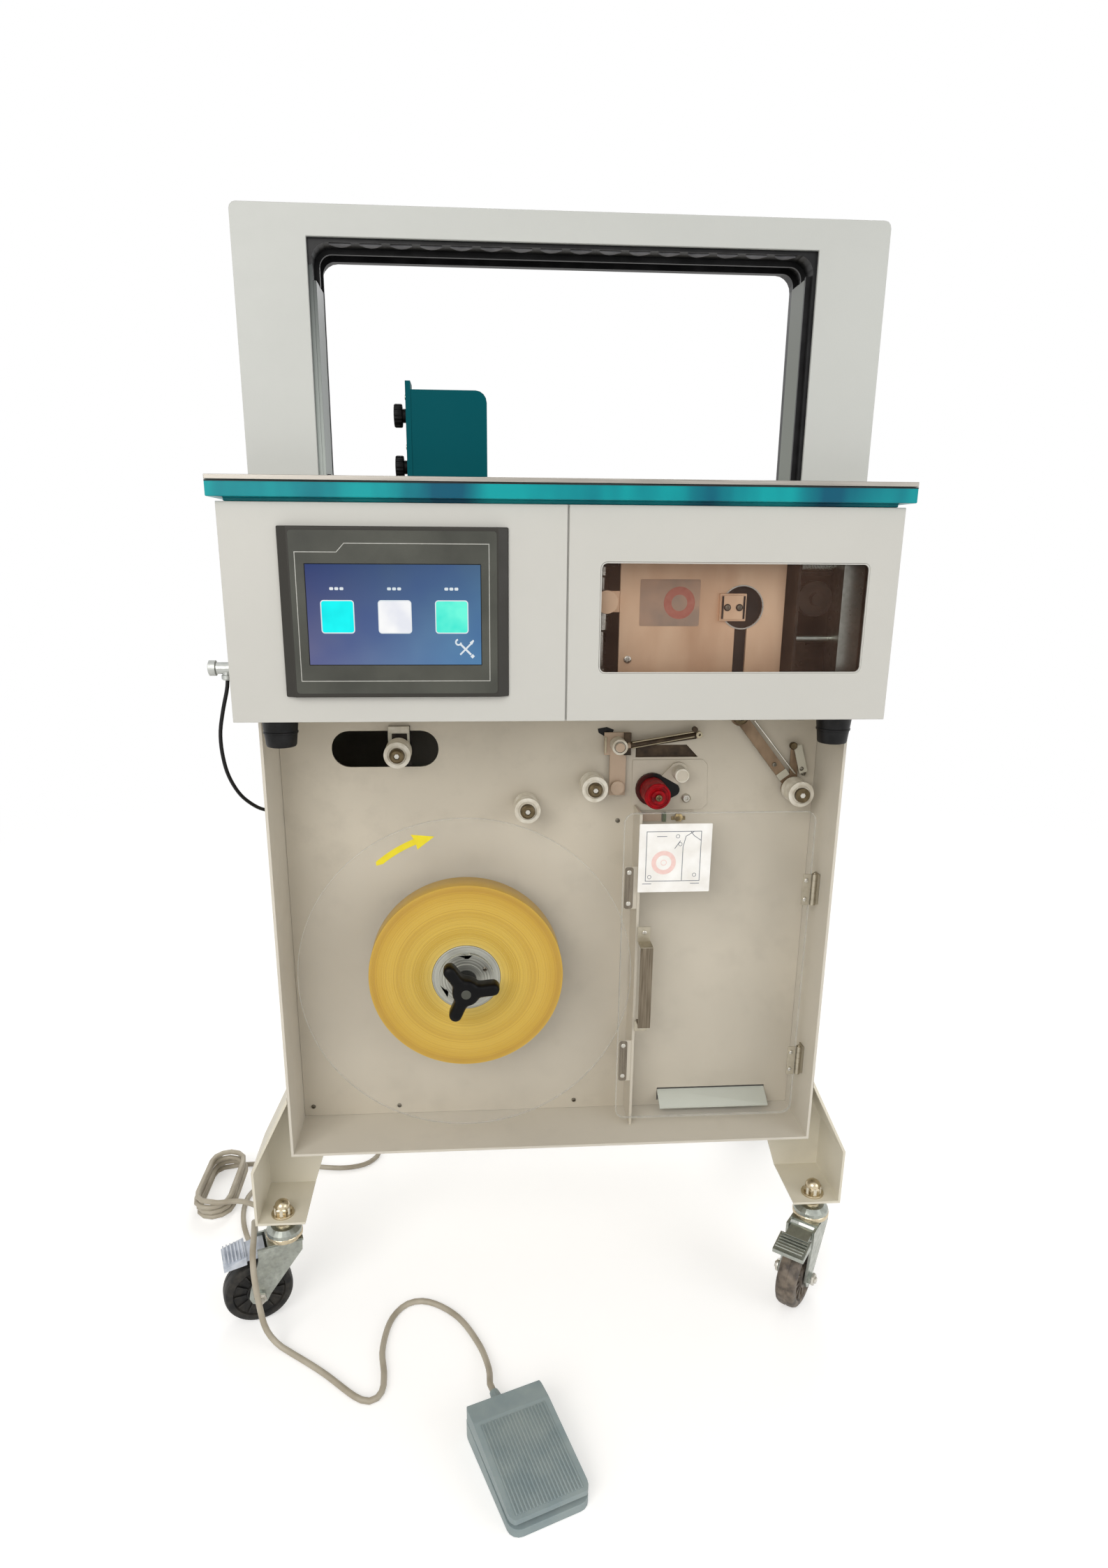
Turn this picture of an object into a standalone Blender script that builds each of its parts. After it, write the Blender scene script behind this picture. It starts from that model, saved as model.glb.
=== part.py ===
"""Banding machine on casters as separate solids. Metres, +Z up, front towards -Y."""
import math

import bmesh
import bpy
from mathutils import Matrix, Vector

# Fits and round-shape steps
GAP = 0.0003
OVER = 0.004
BITE = 0.0006
WELD = 0.00001
FINE = 56
ROUND = 24
SMALL = 14
SMOOTH_ANGLE = math.radians(35)

# Foot pedal, needed first because it sets the front of the whole
PEDAL_X = -0.068
PEDAL_BACK = -0.092
PEDAL_TURN = math.radians(-69.6)
PEDAL_LONG = 0.130
PEDAL_HALF = 0.042
PEDAL_CORNER = 0.012
PEDAL_BASE_REAR = 0.022
PEDAL_BASE_FRONT = 0.009
PEDAL_INSET = 0.004
PEDAL_TREADLE_LOW_FRONT = 0.015
PEDAL_TREADLE_HIGH_FRONT = 0.021
PEDAL_TREADLE_TOP = 0.038
PEDAL_TREADLE_FLAT = 0.030
PEDAL_HINGE_IN = 0.008
PEDAL_HINGE_UP = 0.030
PEDAL_BOOT_UP = 0.013
PEDAL_BOOT_LONG = 0.020
PEDAL_BOOT_R = 0.0075
PEDAL_BOOT_TIP_R = 0.0048

# Table
TABLE_HALF = 0.315
TABLE_FRONT = -0.008
TABLE_BACK = 0.462
TABLE_FOOT_INSET = 0.012
TABLE_FOOT_TOP = 0.9245
BAND_TOP = 0.9380
TABLE_TOP = 0.9425
SLOT_HALF = 0.2220
SLOT_FRONT = 0.078
SLOT_BACK = 0.094

# Cabinet
CAB_HALF = 0.300
CAB_FRONT = 0.062
CAB_BACK = 0.450
CAB_BOTTOM = 0.220
CAB_SHEET = 0.003
PANEL_FRONT = 0.140
PANEL_SHEET = 0.0025
LEAD_X = -0.240
LEAD_BACK = 0.420
LEAD_GLAND_R = 0.009
LEAD_GLAND_LONG = 0.012
CABLE_R = 0.002
CABLE_GROMMET_R = 0.005
CABLE_GROMMET_LONG = 0.003
CABLE_END_BACK = 0.180
CABLE_END_Z = 0.596

# Head box
HEAD_HALF = 0.309
HEAD_BACK = 0.455
HEAD_BOTTOM = 0.727
HEAD_TOP = 0.921
HEAD_SHEET = 0.002
FRONT_SHEET = 0.002
SEAM_HALF = 0.0008
POST_HALF = 0.010
POST_DEEP = 0.020
WINDOW_LEFT = 0.030
WINDOW_RIGHT = 0.281
WINDOW_LOW = 0.7715
WINDOW_HIGH = 0.872
WINDOW_CORNER = 0.006
FLANGE_IN = 0.0125
FLANGE_SIDE = 0.0045
FLANGE_DEEP = 0.014
PANE_LAP = 0.005
PANE_THICK = 0.003

# Touch panel, its screen a standard seven inch one
TOUCH_LEFT = -0.258
TOUCH_RIGHT = -0.054
TOUCH_LOW = 0.751
TOUCH_HIGH = 0.901
TOUCH_PROUD = 0.007
TOUCH_RIM = 0.002
TOUCH_BEVEL = 0.009
TOUCH_BODY_INSET = 0.008
TOUCH_BODY_DEEP = 0.030
SCREEN_LEFT = -0.2345
SCREEN_RIGHT = -0.079
SCREEN_LOW = 0.7805
SCREEN_HIGH = 0.869
SCREEN_SUNK = 0.0005
SCREEN_THICK = 0.0015

# Rubber feet under the head's front corners
RUBBER_X = 0.273
RUBBER_BACK = 0.035
RUBBER_TOP_R = 0.018
RUBBER_LOW_R = 0.0145
RUBBER_LOW = 0.698

# Arch and film track
ARCH_FRONT = 0.048
ARCH_BACK = 0.1235
ARCH_OUT = 0.289
ARCH_SIDE = 0.0636
ARCH_HIGH = 0.2215
ARCH_CROWN = 0.025
ARCH_CORNER = 0.006
ARCH_IN = ARCH_OUT - ARCH_SIDE
ARCH_TOP = TABLE_TOP + ARCH_HIGH
ARCH_IN_TOP = ARCH_TOP - ARCH_CROWN
TRACK_LIP = 0.004
TRACK_SEAT = 0.0146
TRACK_CROWN_SEAT = 0.013
TRACK_STANDS = 0.0029
TRACK_CROWN_STANDS = 0.003
TRACK_FRONT = ARCH_FRONT + TRACK_LIP
TRACK_BACK = ARCH_BACK - TRACK_LIP
TRACK_OUT = ARCH_IN + TRACK_SEAT
TRACK_OUT_TOP = ARCH_IN_TOP + TRACK_CROWN_SEAT
TRACK_IN = ARCH_IN - TRACK_STANDS
TRACK_IN_TOP = ARCH_IN_TOP - TRACK_CROWN_STANDS
TRACK_CORNER = 0.015

# Side fence
FENCE_LEFT = -0.1405
FENCE_RIGHT = -0.0716
FENCE_TOP = 1.018
FENCE_CORNER = 0.010
FENCE_FRONT = 0.036
FENCE_SHEET = 0.002
FENCE_DEEP = 0.094
BRACKET_THICK = 0.0035
BRACKET_TOP = 1.025
BRACKET_DEEP = 0.026
KNOB_BACK = 0.048
KNOB_HEIGHTS = {"upper": 0.9975, "lower": 0.9540}
KNOB_R = 0.010
KNOB_LONG = 0.008
KNOB_NECK_R = 0.006
KNOB_NECK = 0.003

# Legs
LEG_SPLAY = 0.047
LEG_FOOT_WIDE = 0.057
LEG_HEAD_WIDE = 0.038
LEG_LOW = 0.129
LEG_UPRIGHT = 0.071
LEG_LAP = 0.075
LEG_DEEP = 0.080
LEG_SHEET = 0.003
LEG_OUT = CAB_HALF + LEG_SPLAY
LEG_TOE_IN = LEG_OUT - LEG_FOOT_WIDE
LEG_TOP_IN = CAB_HALF - LEG_HEAD_WIDE
LEG_BEND = LEG_LOW + LEG_UPRIGHT
LEG_TOP = CAB_BOTTOM + LEG_LAP
NUT_FROM_EDGE = 0.0285
NUT_X = LEG_OUT - NUT_FROM_EDGE
NUT_IN = 0.018
NUT_HEX_R = 0.0104
NUT_HEX_HIGH = 0.008
NUT_DOME_R = 0.0085
NUT_DOME_HIGH = 0.0165
WASHER_R = 0.013
WASHER_HIGH = 0.002

# Casters, heights above the floor, sizes across and along the trail
WHEEL_R = 0.040
WHEEL_HALF = 0.0125
WHEEL_BORE = 0.0045
TRAIL = 0.035
AXLE_R = 0.004
AXLE_HEAD_R = 0.0070
AXLE_HEAD_OUT = 0.0205
FORK_IN = 0.0145
FORK_OUT = 0.0175
FORK_PLATE_HALF = 0.0165
FORK_PLATE_LOW = 0.1010
FORK_PLATE_HIGH = 0.1040
FORK_LEG_TOP = 0.1025
FORK_PLATE_REAR = -0.019
FORK_PLATE_FRONT = 0.022
DOME_LOW = 0.1034
DOME_R = 0.021
STEM_R = 0.007
BRAKE_HINGE_U = 0.0290
BRAKE_HINGE_Z = 0.0945
BRAKE_BARREL = 0.0045
BRAKE_TIP = 0.0720
BRAKE_WIDE_HALF = 0.019
BRAKE_WIDE_FROM = 0.046

# Reel
REEL_X = -0.0987
REEL_Z = 0.430
DISC_R = 0.183
DISC_FRONT = 0.0740
DISC_THICK = 0.0025
NOSE_FRONT = 0.0715
NOSE_R = 0.0300
CORE_R = 0.0376
TAPE_R = 0.107
TAPE_FRONT = 0.0770
TAPE_WIDE = 0.030
HUB_FLANGE_R = 0.095
HUB_FLANGE_THICK = 0.0025
HUB_SHAFT_R = 0.015
NOTCH_WIDE = 0.008
NOTCH_DEEP = 0.006
KNOB_STUD_R = 0.005
KNOB_STUD_LONG = 0.012
STAR_CORE_R = 0.015
STAR_REACH = 0.036
STAR_ARM_R = 0.0070
STAR_FRONT = 0.033
STAR_TURN = math.radians(6)

# Guide rollers on studs
ROLLER_R = 0.0142
ROLLER_FRONT = 0.1030
ROLLER_LONG = 0.0280
ROLLER_BORE = 0.0055
STUD_R = 0.005
STUD_HEAD_R = 0.0075
STUD_HEAD = 0.0045
STUD_COLLAR_R = 0.010
GUIDE_LEFT = (-0.030, 0.612)
GUIDE_RIGHT = (0.043, 0.635)

# Obround slot and its sliding bracket
OBROUND_LEFT = -0.241
OBROUND_RIGHT = -0.1256
OBROUND_Z = 0.674
OBROUND_R = 0.020
SLIDER_X = -0.168
SLIDER_HALF = 0.0115
SLIDER_HIGH = 0.034
SLIDER_FACE = 0.003
SLIDER_FACE_TOP = 0.0255
SLIDER_FACE_LOW = 0.010
SLIDER_BACK_HALF = 0.0128
SLIDER_BACK_HIGH = 0.052
SLIDER_BACK = 0.003

# Lever arm with its roller
LEVER_PIVOT = (0.206, 0.708)
LEVER_ROLLER = (0.271, 0.627)
LEVER_HALF = 0.0062
LEVER_FRONT = 0.1340
LEVER_SHEET = 0.003
LEVER_EYE_R = 0.010
LEVER_LINK = (0.2705, 0.6740)
LEVER_LINK_HALF = 0.0045
LEVER_FLANGE_R = 0.0130

# Pinch bracket, its roller and rod
PINCH_PIVOT = (0.0715, 0.630)
PINCH_ROLLER = (0.0705, 0.679)
PINCH_HALF = 0.0090
PINCH_TOP_HALF = 0.0145
PINCH_TOP_HIGH = 0.0125
PINCH_SHEET = 0.003
PINCH_FRONT = 0.1340
PINCH_ROLLER_R = 0.0085
PINCH_ROLLER_LONG = 0.020
PINCH_ROD_R = 0.0035
PINCH_ROD_FROM = (0.0815, 0.6775)
PINCH_ROD_TO = (0.159, 0.6885)

# Trapezoid opening in the back panel
TRAP_LOW_LEFT = (0.0920, 0.6625)
TRAP_LOW_RIGHT = (0.1625, 0.6625)
TRAP_HIGH_RIGHT = (0.1490, 0.6765)
TRAP_HIGH_LEFT = (0.0920, 0.6765)

# Red feed roller and its guard
RED = (0.1112, 0.627)
RED_R = 0.0145
RED_FRONT = 0.100
RED_LONG = 0.026
RED_HEAD_R = 0.0045
IDLER = (0.1401, 0.6467)
IDLER_R = 0.008
IDLER_LONG = 0.014
GUARD_R = 0.0185
GUARD_NOSE = (0.1345, 0.6265)
GUARD_NOSE_R = 0.0075
GUARD_THICK = 0.006
GUARD_EAR_R = 0.0105
GUARD_EAR_ROOT = (0.1200, 0.6330)
GUARD_EAR_ROOT_R = 0.004

# Film box
DOOR_FRONT = 0.0945
DOOR_THICK = 0.003
PART_LEFT = 0.0920
PART_THICK = 0.003
PART_TOP = 0.6085
PART_FRONT = DOOR_FRONT + DOOR_THICK + 0.0007
CATCH_LEFT = 0.0775
CATCH_THICK = 0.002
CATCH_BACKSET = 0.001
CATCHES = {"upper": (0.4985, 0.5480), "lower": (0.2825, 0.3350)}
DOOR_LEFT = 0.0745
DOOR_RIGHT = CAB_HALF - 0.0125
DOOR_LOW = 0.2345
DOOR_HIGH = 0.6105
DOOR_CORNER = 0.012
HINGE_PIN_R = 0.003
HINGE_LEAF = 0.0016
HINGE_LEAF_WIDE = 0.012
HINGES = {"upper": (0.5015, 0.5380), "lower": (0.2880, 0.3240)}
HANDLE_LEFT = 0.0945
HANDLE_RIGHT = 0.1085
HANDLE_LOW = 0.3625
HANDLE_HIGH = 0.4610
HANDLE_SHEET = 0.002
HANDLE_STAND = 0.018
HANDLE_TAB = 0.012

# Chute at the foot of the back panel
CHUTE_LEFT = 0.133
CHUTE_RIGHT = CAB_HALF - 0.032
CHUTE_LOW = 0.2300
CHUTE_HIGH = 0.247
FLAP_SHEET = 0.002
FLAP_REACH = 0.022
FLAP_DROP = 0.0125
FLAP_TOP = 0.2445

# Sealing unit behind the window
UNIT_FRONT = 0.045
UNIT_SHEET = 0.004
UNIT_LEFT = 0.055
UNIT_RIGHT = 0.217
UNIT_TOP = 0.905
UNIT_FOOT = 0.060
KEYHOLE = (0.175, 0.830)
KEYHOLE_R = 0.0205
KEYHOLE_SLOT_HALF = 0.006
KEYHOLE_SLOT_LOW = 0.762
UNIT_BLOCK_X = 0.165
UNIT_BLOCK_HALF = 0.013
UNIT_BLOCK_DEEP = 0.045
UNIT_BLOCK_OUT = 0.004
UNIT_WHEEL_X = 0.041
UNIT_WHEEL_Z = 0.835
UNIT_WHEEL_R = 0.011
UNIT_ARM = 0.020

# Cable fitting on the head's left side
FITTING_BACK = 0.100
FITTING_Z = 0.766
FITTING_R = 0.006
FITTING_FLANGE_R = 0.010
FITTING_FLANGE = 0.003
FITTING_OUT = HEAD_HALF + 0.044
FITTING_DROP_X = -HEAD_HALF - 0.0265
FITTING_DROP = 0.012
FITTING_DROP_R = 0.0045

# Leads
LEAD_R = 0.0035
LEAD_STEP = 0.021
CABLE_STEP = 0.008
BUNDLE_X = -0.452
BUNDLE_BACK = 0.300
BUNDLE_R = 0.0225
BUNDLE_STRAIGHT = 0.0375
BUNDLE_LOOPS = 3.5
BUNDLE_PITCH = 0.0082
BUNDLE_SWAY = 0.0022
BUNDLE_STEPS = 24

PEDAL_CORNERS = [(u, v) for u in (0, PEDAL_LONG) for v in (-PEDAL_HALF, PEDAL_HALF)]
PEDAL_FRONT = min(
    PEDAL_BACK + u * math.sin(PEDAL_TURN) + v * math.cos(PEDAL_TURN) for u, v in PEDAL_CORNERS)
BOX_FRONT_Y = -(TABLE_BACK + PEDAL_FRONT) / 2


def yd(behind):
    """World y of a place that lies so far behind the head box's front face."""
    return BOX_FRONT_Y + behind


def tint(red, green, blue):
    """Linear colour of a screen colour."""
    shares = []
    for value in (red, green, blue):
        share = value / 255
        shares.append(share / 12.92 if share <= 0.04045 else ((share + 0.055) / 1.055) ** 2.4)
    return tuple(shares)


# Looks: colour, roughness, metallic, alpha
BOX_WHITE = (tint(214, 211, 202), 0.45, 0, 1)
SHEET_GREY = (tint(190, 184, 168), 0.5, 0, 1)
ARCH_GREY = (tint(200, 200, 196), 0.45, 0, 1)
TEAL = (tint(0, 140, 150), 0.4, 0, 1)
DARK_TEAL = (tint(0, 84, 94), 0.45, 0, 1)
STEEL = (tint(178, 176, 170), 0.3, 1, 1)
ZINC = (tint(150, 155, 148), 0.35, 1, 1)
BLACK = (tint(24, 24, 24), 0.5, 0, 1)
BEZEL = (tint(72, 72, 66), 0.5, 0, 1)
GLASS_BLUE = (tint(40, 60, 110), 0.15, 0, 1)
SMOKED = (tint(120, 100, 90), 0.1, 0, 0.4)
CLEAR = (tint(225, 222, 210), 0.1, 0, 0.3)
TAPE = (tint(214, 178, 80), 0.4, 0, 1)
WHITE = (tint(225, 222, 215), 0.4, 0, 1)
RED_LOOK = (tint(160, 10, 20), 0.35, 0, 1)
TREAD = (tint(60, 56, 52), 0.6, 0, 1)
PEDAL_BLUE = (tint(135, 150, 150), 0.55, 0, 1)
PALE_BLUE = (tint(205, 212, 222), 0.45, 0, 1)
LEAD_GREY = (tint(165, 155, 135), 0.5, 0, 1)

for old in list(bpy.data.objects):
    bpy.data.objects.remove(old, do_unlink=True)
PARTS = bpy.data.collections.new("banding_machine")
TOOLS = bpy.data.collections.new("cutters")
bpy.context.scene.collection.children.link(PARTS)
bpy.context.scene.collection.children.link(TOOLS)


def tidy(bm, name):
    """Mesh of a finished bmesh, welded and facing outwards."""
    bmesh.ops.remove_doubles(bm, verts=bm.verts, dist=WELD)
    bmesh.ops.recalc_face_normals(bm, faces=bm.faces)
    mesh = bpy.data.meshes.new(name)
    bm.to_mesh(mesh)
    bm.free()
    return mesh


def smooth(mesh):
    mesh.shade_smooth()
    mesh.set_sharp_from_angle(angle=SMOOTH_ANGLE)
    return mesh


def box(low, high):
    """Block between two corners."""
    low = Vector(low)
    high = Vector(high)
    bm = bmesh.new()
    bmesh.ops.create_cube(bm, size=1)
    span = high - low
    middle = (low + high) / 2
    bm.transform(Matrix.Translation(middle) @ Matrix.Diagonal((*span, 1)))
    return tidy(bm, "box")


def rod(start, end, radius, end_radius=None, sides=ROUND):
    """Cylinder or cone between two points."""
    start = Vector(start)
    end = Vector(end)
    if end_radius is None:
        end_radius = radius
    bm = bmesh.new()
    bmesh.ops.create_cone(
        bm, cap_ends=True, cap_tris=False, segments=sides, radius1=radius, radius2=end_radius,
        depth=(end - start).length)
    turn = Vector((0, 0, 1)).rotation_difference(end - start).to_matrix().to_4x4()
    bm.transform(Matrix.Translation((start + end) / 2) @ turn)
    return smooth(tidy(bm, "rod"))


def baked(holder, name):
    """Mesh of a helper object; the helper goes."""
    depsgraph = bpy.context.evaluated_depsgraph_get()
    mesh = bpy.data.meshes.new_from_object(holder.evaluated_get(depsgraph))
    placed = holder.matrix_world.copy()
    bpy.data.objects.remove(holder, do_unlink=True)
    bm = bmesh.new()
    bm.from_mesh(mesh)
    bm.transform(placed)
    return tidy(bm, name)


def turned(profile, at, axis, sides=ROUND, closed=False):
    """Round body: profile of radius and height, height along the axis from a point."""
    mesh = bpy.data.meshes.new("profile")
    count = len(profile)
    edges = [(i, i + 1) for i in range(count - 1)]
    if closed:
        edges.append((count - 1, 0))
    mesh.from_pydata([(radius, 0, height) for radius, height in profile], edges, [])
    holder = bpy.data.objects.new("profile", mesh)
    bpy.context.scene.collection.objects.link(holder)
    screw = holder.modifiers.new("turn", "SCREW")
    screw.axis = "Z"
    screw.steps = sides
    screw.render_steps = sides
    screw.use_merge_vertices = True
    screw.merge_threshold = WELD
    solid = baked(holder, "turned")
    turn = Vector((0, 0, 1)).rotation_difference(Vector(axis)).to_matrix().to_4x4()
    solid.transform(Matrix.Translation(at) @ turn)
    return smooth(solid)


def slab(outline, plane, low, high):
    """Flat outline in the XZ, XY or YZ plane, thickened along the third axis."""
    curve = bpy.data.curves.new("outline", "CURVE")
    curve.dimensions = "2D"
    curve.fill_mode = "BOTH"
    curve.extrude = (high - low) / 2
    spline = curve.splines.new("POLY")
    spline.points.add(len(outline) - 1)
    for point, (across, along) in zip(spline.points, outline):
        point.co = (across, along, 0, 1)
    spline.use_cyclic_u = True
    holder = bpy.data.objects.new("outline", curve)
    bpy.context.scene.collection.objects.link(holder)
    solid = baked(holder, "slab")
    middle = (low + high) / 2
    if plane == "XZ":
        solid.transform(Matrix.Translation((0, middle, 0)) @ Matrix.Rotation(math.pi / 2, 4, "X"))
    elif plane == "YZ":
        turn = Matrix(((0, 0, 1, 0), (1, 0, 0, 0), (0, 1, 0, 0), (0, 0, 0, 1)))
        solid.transform(Matrix.Translation((middle, 0, 0)) @ turn)
    else:
        solid.transform(Matrix.Translation((0, 0, middle)))
    return smooth(solid)


def filleted(corners, radii, steps=4):
    """Outline with its corners rounded, a radius for each."""
    outline = []
    count = len(corners)
    for index, radius in enumerate(radii):
        corner = Vector(corners[index])
        if not radius:
            outline.append(tuple(corner))
            continue
        back = (Vector(corners[index - 1]) - corner).normalized()
        ahead = (Vector(corners[(index + 1) % count]) - corner).normalized()
        half = back.angle(ahead) / 2
        centre = corner + (back + ahead).normalized() * (radius / math.sin(half))
        first = corner + back * (radius / math.tan(half)) - centre
        last = corner + ahead * (radius / math.tan(half)) - centre
        begin = math.atan2(first.y, first.x)
        sweep = math.atan2(last.y, last.x) - begin
        sweep = (sweep + math.pi) % (2 * math.pi) - math.pi
        for step in range(steps + 1):
            angle = begin + sweep * step / steps
            outline.append((centre.x + radius * math.cos(angle), centre.y + radius * math.sin(angle)))
    return outline


def rectangle(left, low, right, high, radius=0, steps=4):
    corners = [(left, low), (right, low), (right, high), (left, high)]
    return filleted(corners, [radius] * 4, steps)


def circle(middle, radius, sides=ROUND):
    turns = [2 * math.pi * i / sides for i in range(sides)]
    return [(middle[0] + radius * math.cos(a), middle[1] + radius * math.sin(a)) for a in turns]


def node(name, mesh, look, origin=(0, 0, 0)):
    """Named sub-part with its own material; its origin may lie on a joint axis."""
    mesh.transform(Matrix.Translation(-Vector(origin)))
    mesh.name = name
    body = bpy.data.objects.new(name, mesh)
    body.location = origin
    PARTS.objects.link(body)
    colour, roughness, metallic, alpha = look
    material = bpy.data.materials.new(name)
    material.use_nodes = True
    shader = material.node_tree.nodes["Principled BSDF"]
    shader.inputs["Base Color"].default_value = (*colour, 1)
    shader.inputs["Roughness"].default_value = roughness
    shader.inputs["Metallic"].default_value = metallic
    shader.inputs["Alpha"].default_value = alpha
    material.diffuse_color = (*colour, alpha)
    mesh.materials.clear()
    mesh.materials.append(material)
    return body


def combine(body, how, mesh, label):
    """Boolean of a node with a kept tool."""
    tool = bpy.data.objects.new(body.name + "_" + label, mesh)
    mesh.name = tool.name
    TOOLS.objects.link(tool)
    tool.hide_render = True
    tool.display_type = "WIRE"
    change = body.modifiers.new(label, "BOOLEAN")
    change.operation = how
    change.solver = "EXACT"
    change.object = tool


def fuse(body, mesh, label):
    combine(body, "UNION", mesh, label)


def cut(body, mesh, label):
    combine(body, "DIFFERENCE", mesh, label)


def drop(big, big_r, tip, tip_r, steps):
    """Outline round two circles and their outer tangents."""
    way = math.atan2(tip[1] - big[1], tip[0] - big[0])
    lean = math.acos((big_r - tip_r) / math.dist(big, tip))
    points = []
    for middle, radius, start, end in ((big, big_r, way + lean, way + 2 * math.pi - lean),
                                       (tip, tip_r, way - lean, way + lean)):
        for index in range(steps + 1):
            angle = start + (end - start) * index / steps
            points.append((middle[0] + radius * math.cos(angle), middle[1] + radius * math.sin(angle)))
    return points


def stud(at, foot, collar=True):
    """Stud with a head that keeps a guide roller, from a foot plane forwards."""
    head_back = ROLLER_FRONT - GAP
    points = [(0, foot - head_back + STUD_HEAD), (STUD_HEAD_R, foot - head_back + STUD_HEAD),
              (STUD_HEAD_R, foot - head_back), (STUD_R, foot - head_back)]
    seat = foot - ROLLER_FRONT - ROLLER_LONG - GAP
    if collar:
        points += [(STUD_R, seat), (STUD_COLLAR_R, seat), (STUD_COLLAR_R, -BITE), (0, -BITE)]
    else:
        points += [(STUD_R, -BITE), (0, -BITE)]
    return turned(points, (at[0], yd(foot), at[1]), (0, -1, 0), SMALL)


def guide_roller(name, at):
    """Flanged spool with a bore, turning on its stud."""
    lip = ROLLER_R - 2 * BITE
    rim = ROLLER_LONG / 7
    profile = [(ROLLER_BORE, ROLLER_LONG), (ROLLER_R, ROLLER_LONG), (ROLLER_R, ROLLER_LONG - rim),
               (lip, ROLLER_LONG - rim), (lip, rim), (ROLLER_R, rim), (ROLLER_R, 0), (ROLLER_BORE, 0)]
    front = (at[0], yd(ROLLER_FRONT + ROLLER_LONG), at[1])
    mesh = turned(profile, front, (0, -1, 0), ROUND, closed=True)
    return node(name, mesh, WHITE, (at[0], yd(ROLLER_FRONT + ROLLER_LONG / 2), at[1]))


def make_cabinet_shell():
    """Folded sheet case, open at the front, with the two lead glands."""
    top = HEAD_BOTTOM - GAP
    shell = node("cabinet_shell", box(
        (-CAB_HALF, yd(CAB_FRONT), CAB_BOTTOM), (CAB_HALF, yd(CAB_BACK), top)), SHEET_GREY)
    inside = CAB_HALF - CAB_SHEET
    cut(shell, box((-inside, yd(CAB_FRONT) - OVER, CAB_BOTTOM + CAB_SHEET),
                   (inside, yd(CAB_BACK) - CAB_SHEET, top - CAB_SHEET)), "hollow")
    fuse(shell, rod((LEAD_X, yd(LEAD_BACK), CAB_BOTTOM + BITE),
                    (LEAD_X, yd(LEAD_BACK), CAB_BOTTOM - LEAD_GLAND_LONG), LEAD_GLAND_R), "gland")
    fuse(shell, rod((-CAB_HALF + BITE, yd(CABLE_END_BACK), CABLE_END_Z),
                    (-CAB_HALF - CABLE_GROMMET_LONG, yd(CABLE_END_BACK), CABLE_END_Z),
                    CABLE_GROMMET_R, sides=SMALL), "grommet")


def make_back_panel():
    """Recess back with its slot, openings and fixed studs."""
    inside = CAB_HALF - CAB_SHEET - GAP
    low = CAB_BOTTOM + CAB_SHEET + GAP
    high = HEAD_BOTTOM - 2 * GAP - CAB_SHEET
    front = yd(PANEL_FRONT)
    back = front + PANEL_SHEET
    panel = node("back_panel", box((-inside, front, low), (inside, back, high)), SHEET_GREY)
    obround = rectangle(OBROUND_LEFT, OBROUND_Z - OBROUND_R, OBROUND_RIGHT, OBROUND_Z + OBROUND_R,
                        OBROUND_R - BITE, 6)
    cut(panel, slab(obround, "XZ", front - OVER, back + OVER), "obround")
    trapezoid = [TRAP_LOW_LEFT, TRAP_LOW_RIGHT, TRAP_HIGH_RIGHT, TRAP_HIGH_LEFT]
    cut(panel, slab(trapezoid, "XZ", front - OVER, back + OVER), "trapezoid")
    cut(panel, box((CHUTE_LEFT, front - OVER, CHUTE_LOW), (CHUTE_RIGHT, back + OVER, CHUTE_HIGH)),
        "chute")
    fuse(panel, stud(GUIDE_LEFT, PANEL_FRONT), "guide_left_stud")
    fuse(panel, stud(GUIDE_RIGHT, PANEL_FRONT), "guide_right_stud")
    for label, at, plate_front, sheet in (
            ("lever_pivot", LEVER_PIVOT, LEVER_FRONT, LEVER_SHEET),
            ("pinch_pivot", PINCH_PIVOT, PINCH_FRONT, PINCH_SHEET)):
        head = PANEL_FRONT - plate_front + GAP
        seat = head - sheet - 2 * GAP
        profile = [(0, head + STUD_HEAD), (STUD_HEAD_R, head + STUD_HEAD), (STUD_HEAD_R, head),
                   (STUD_R, head), (STUD_R, seat), (STUD_COLLAR_R, seat), (STUD_COLLAR_R, -BITE),
                   (0, -BITE)]
        fuse(panel, turned(profile, (at[0], front, at[1]), (0, -1, 0), SMALL), label)


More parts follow.
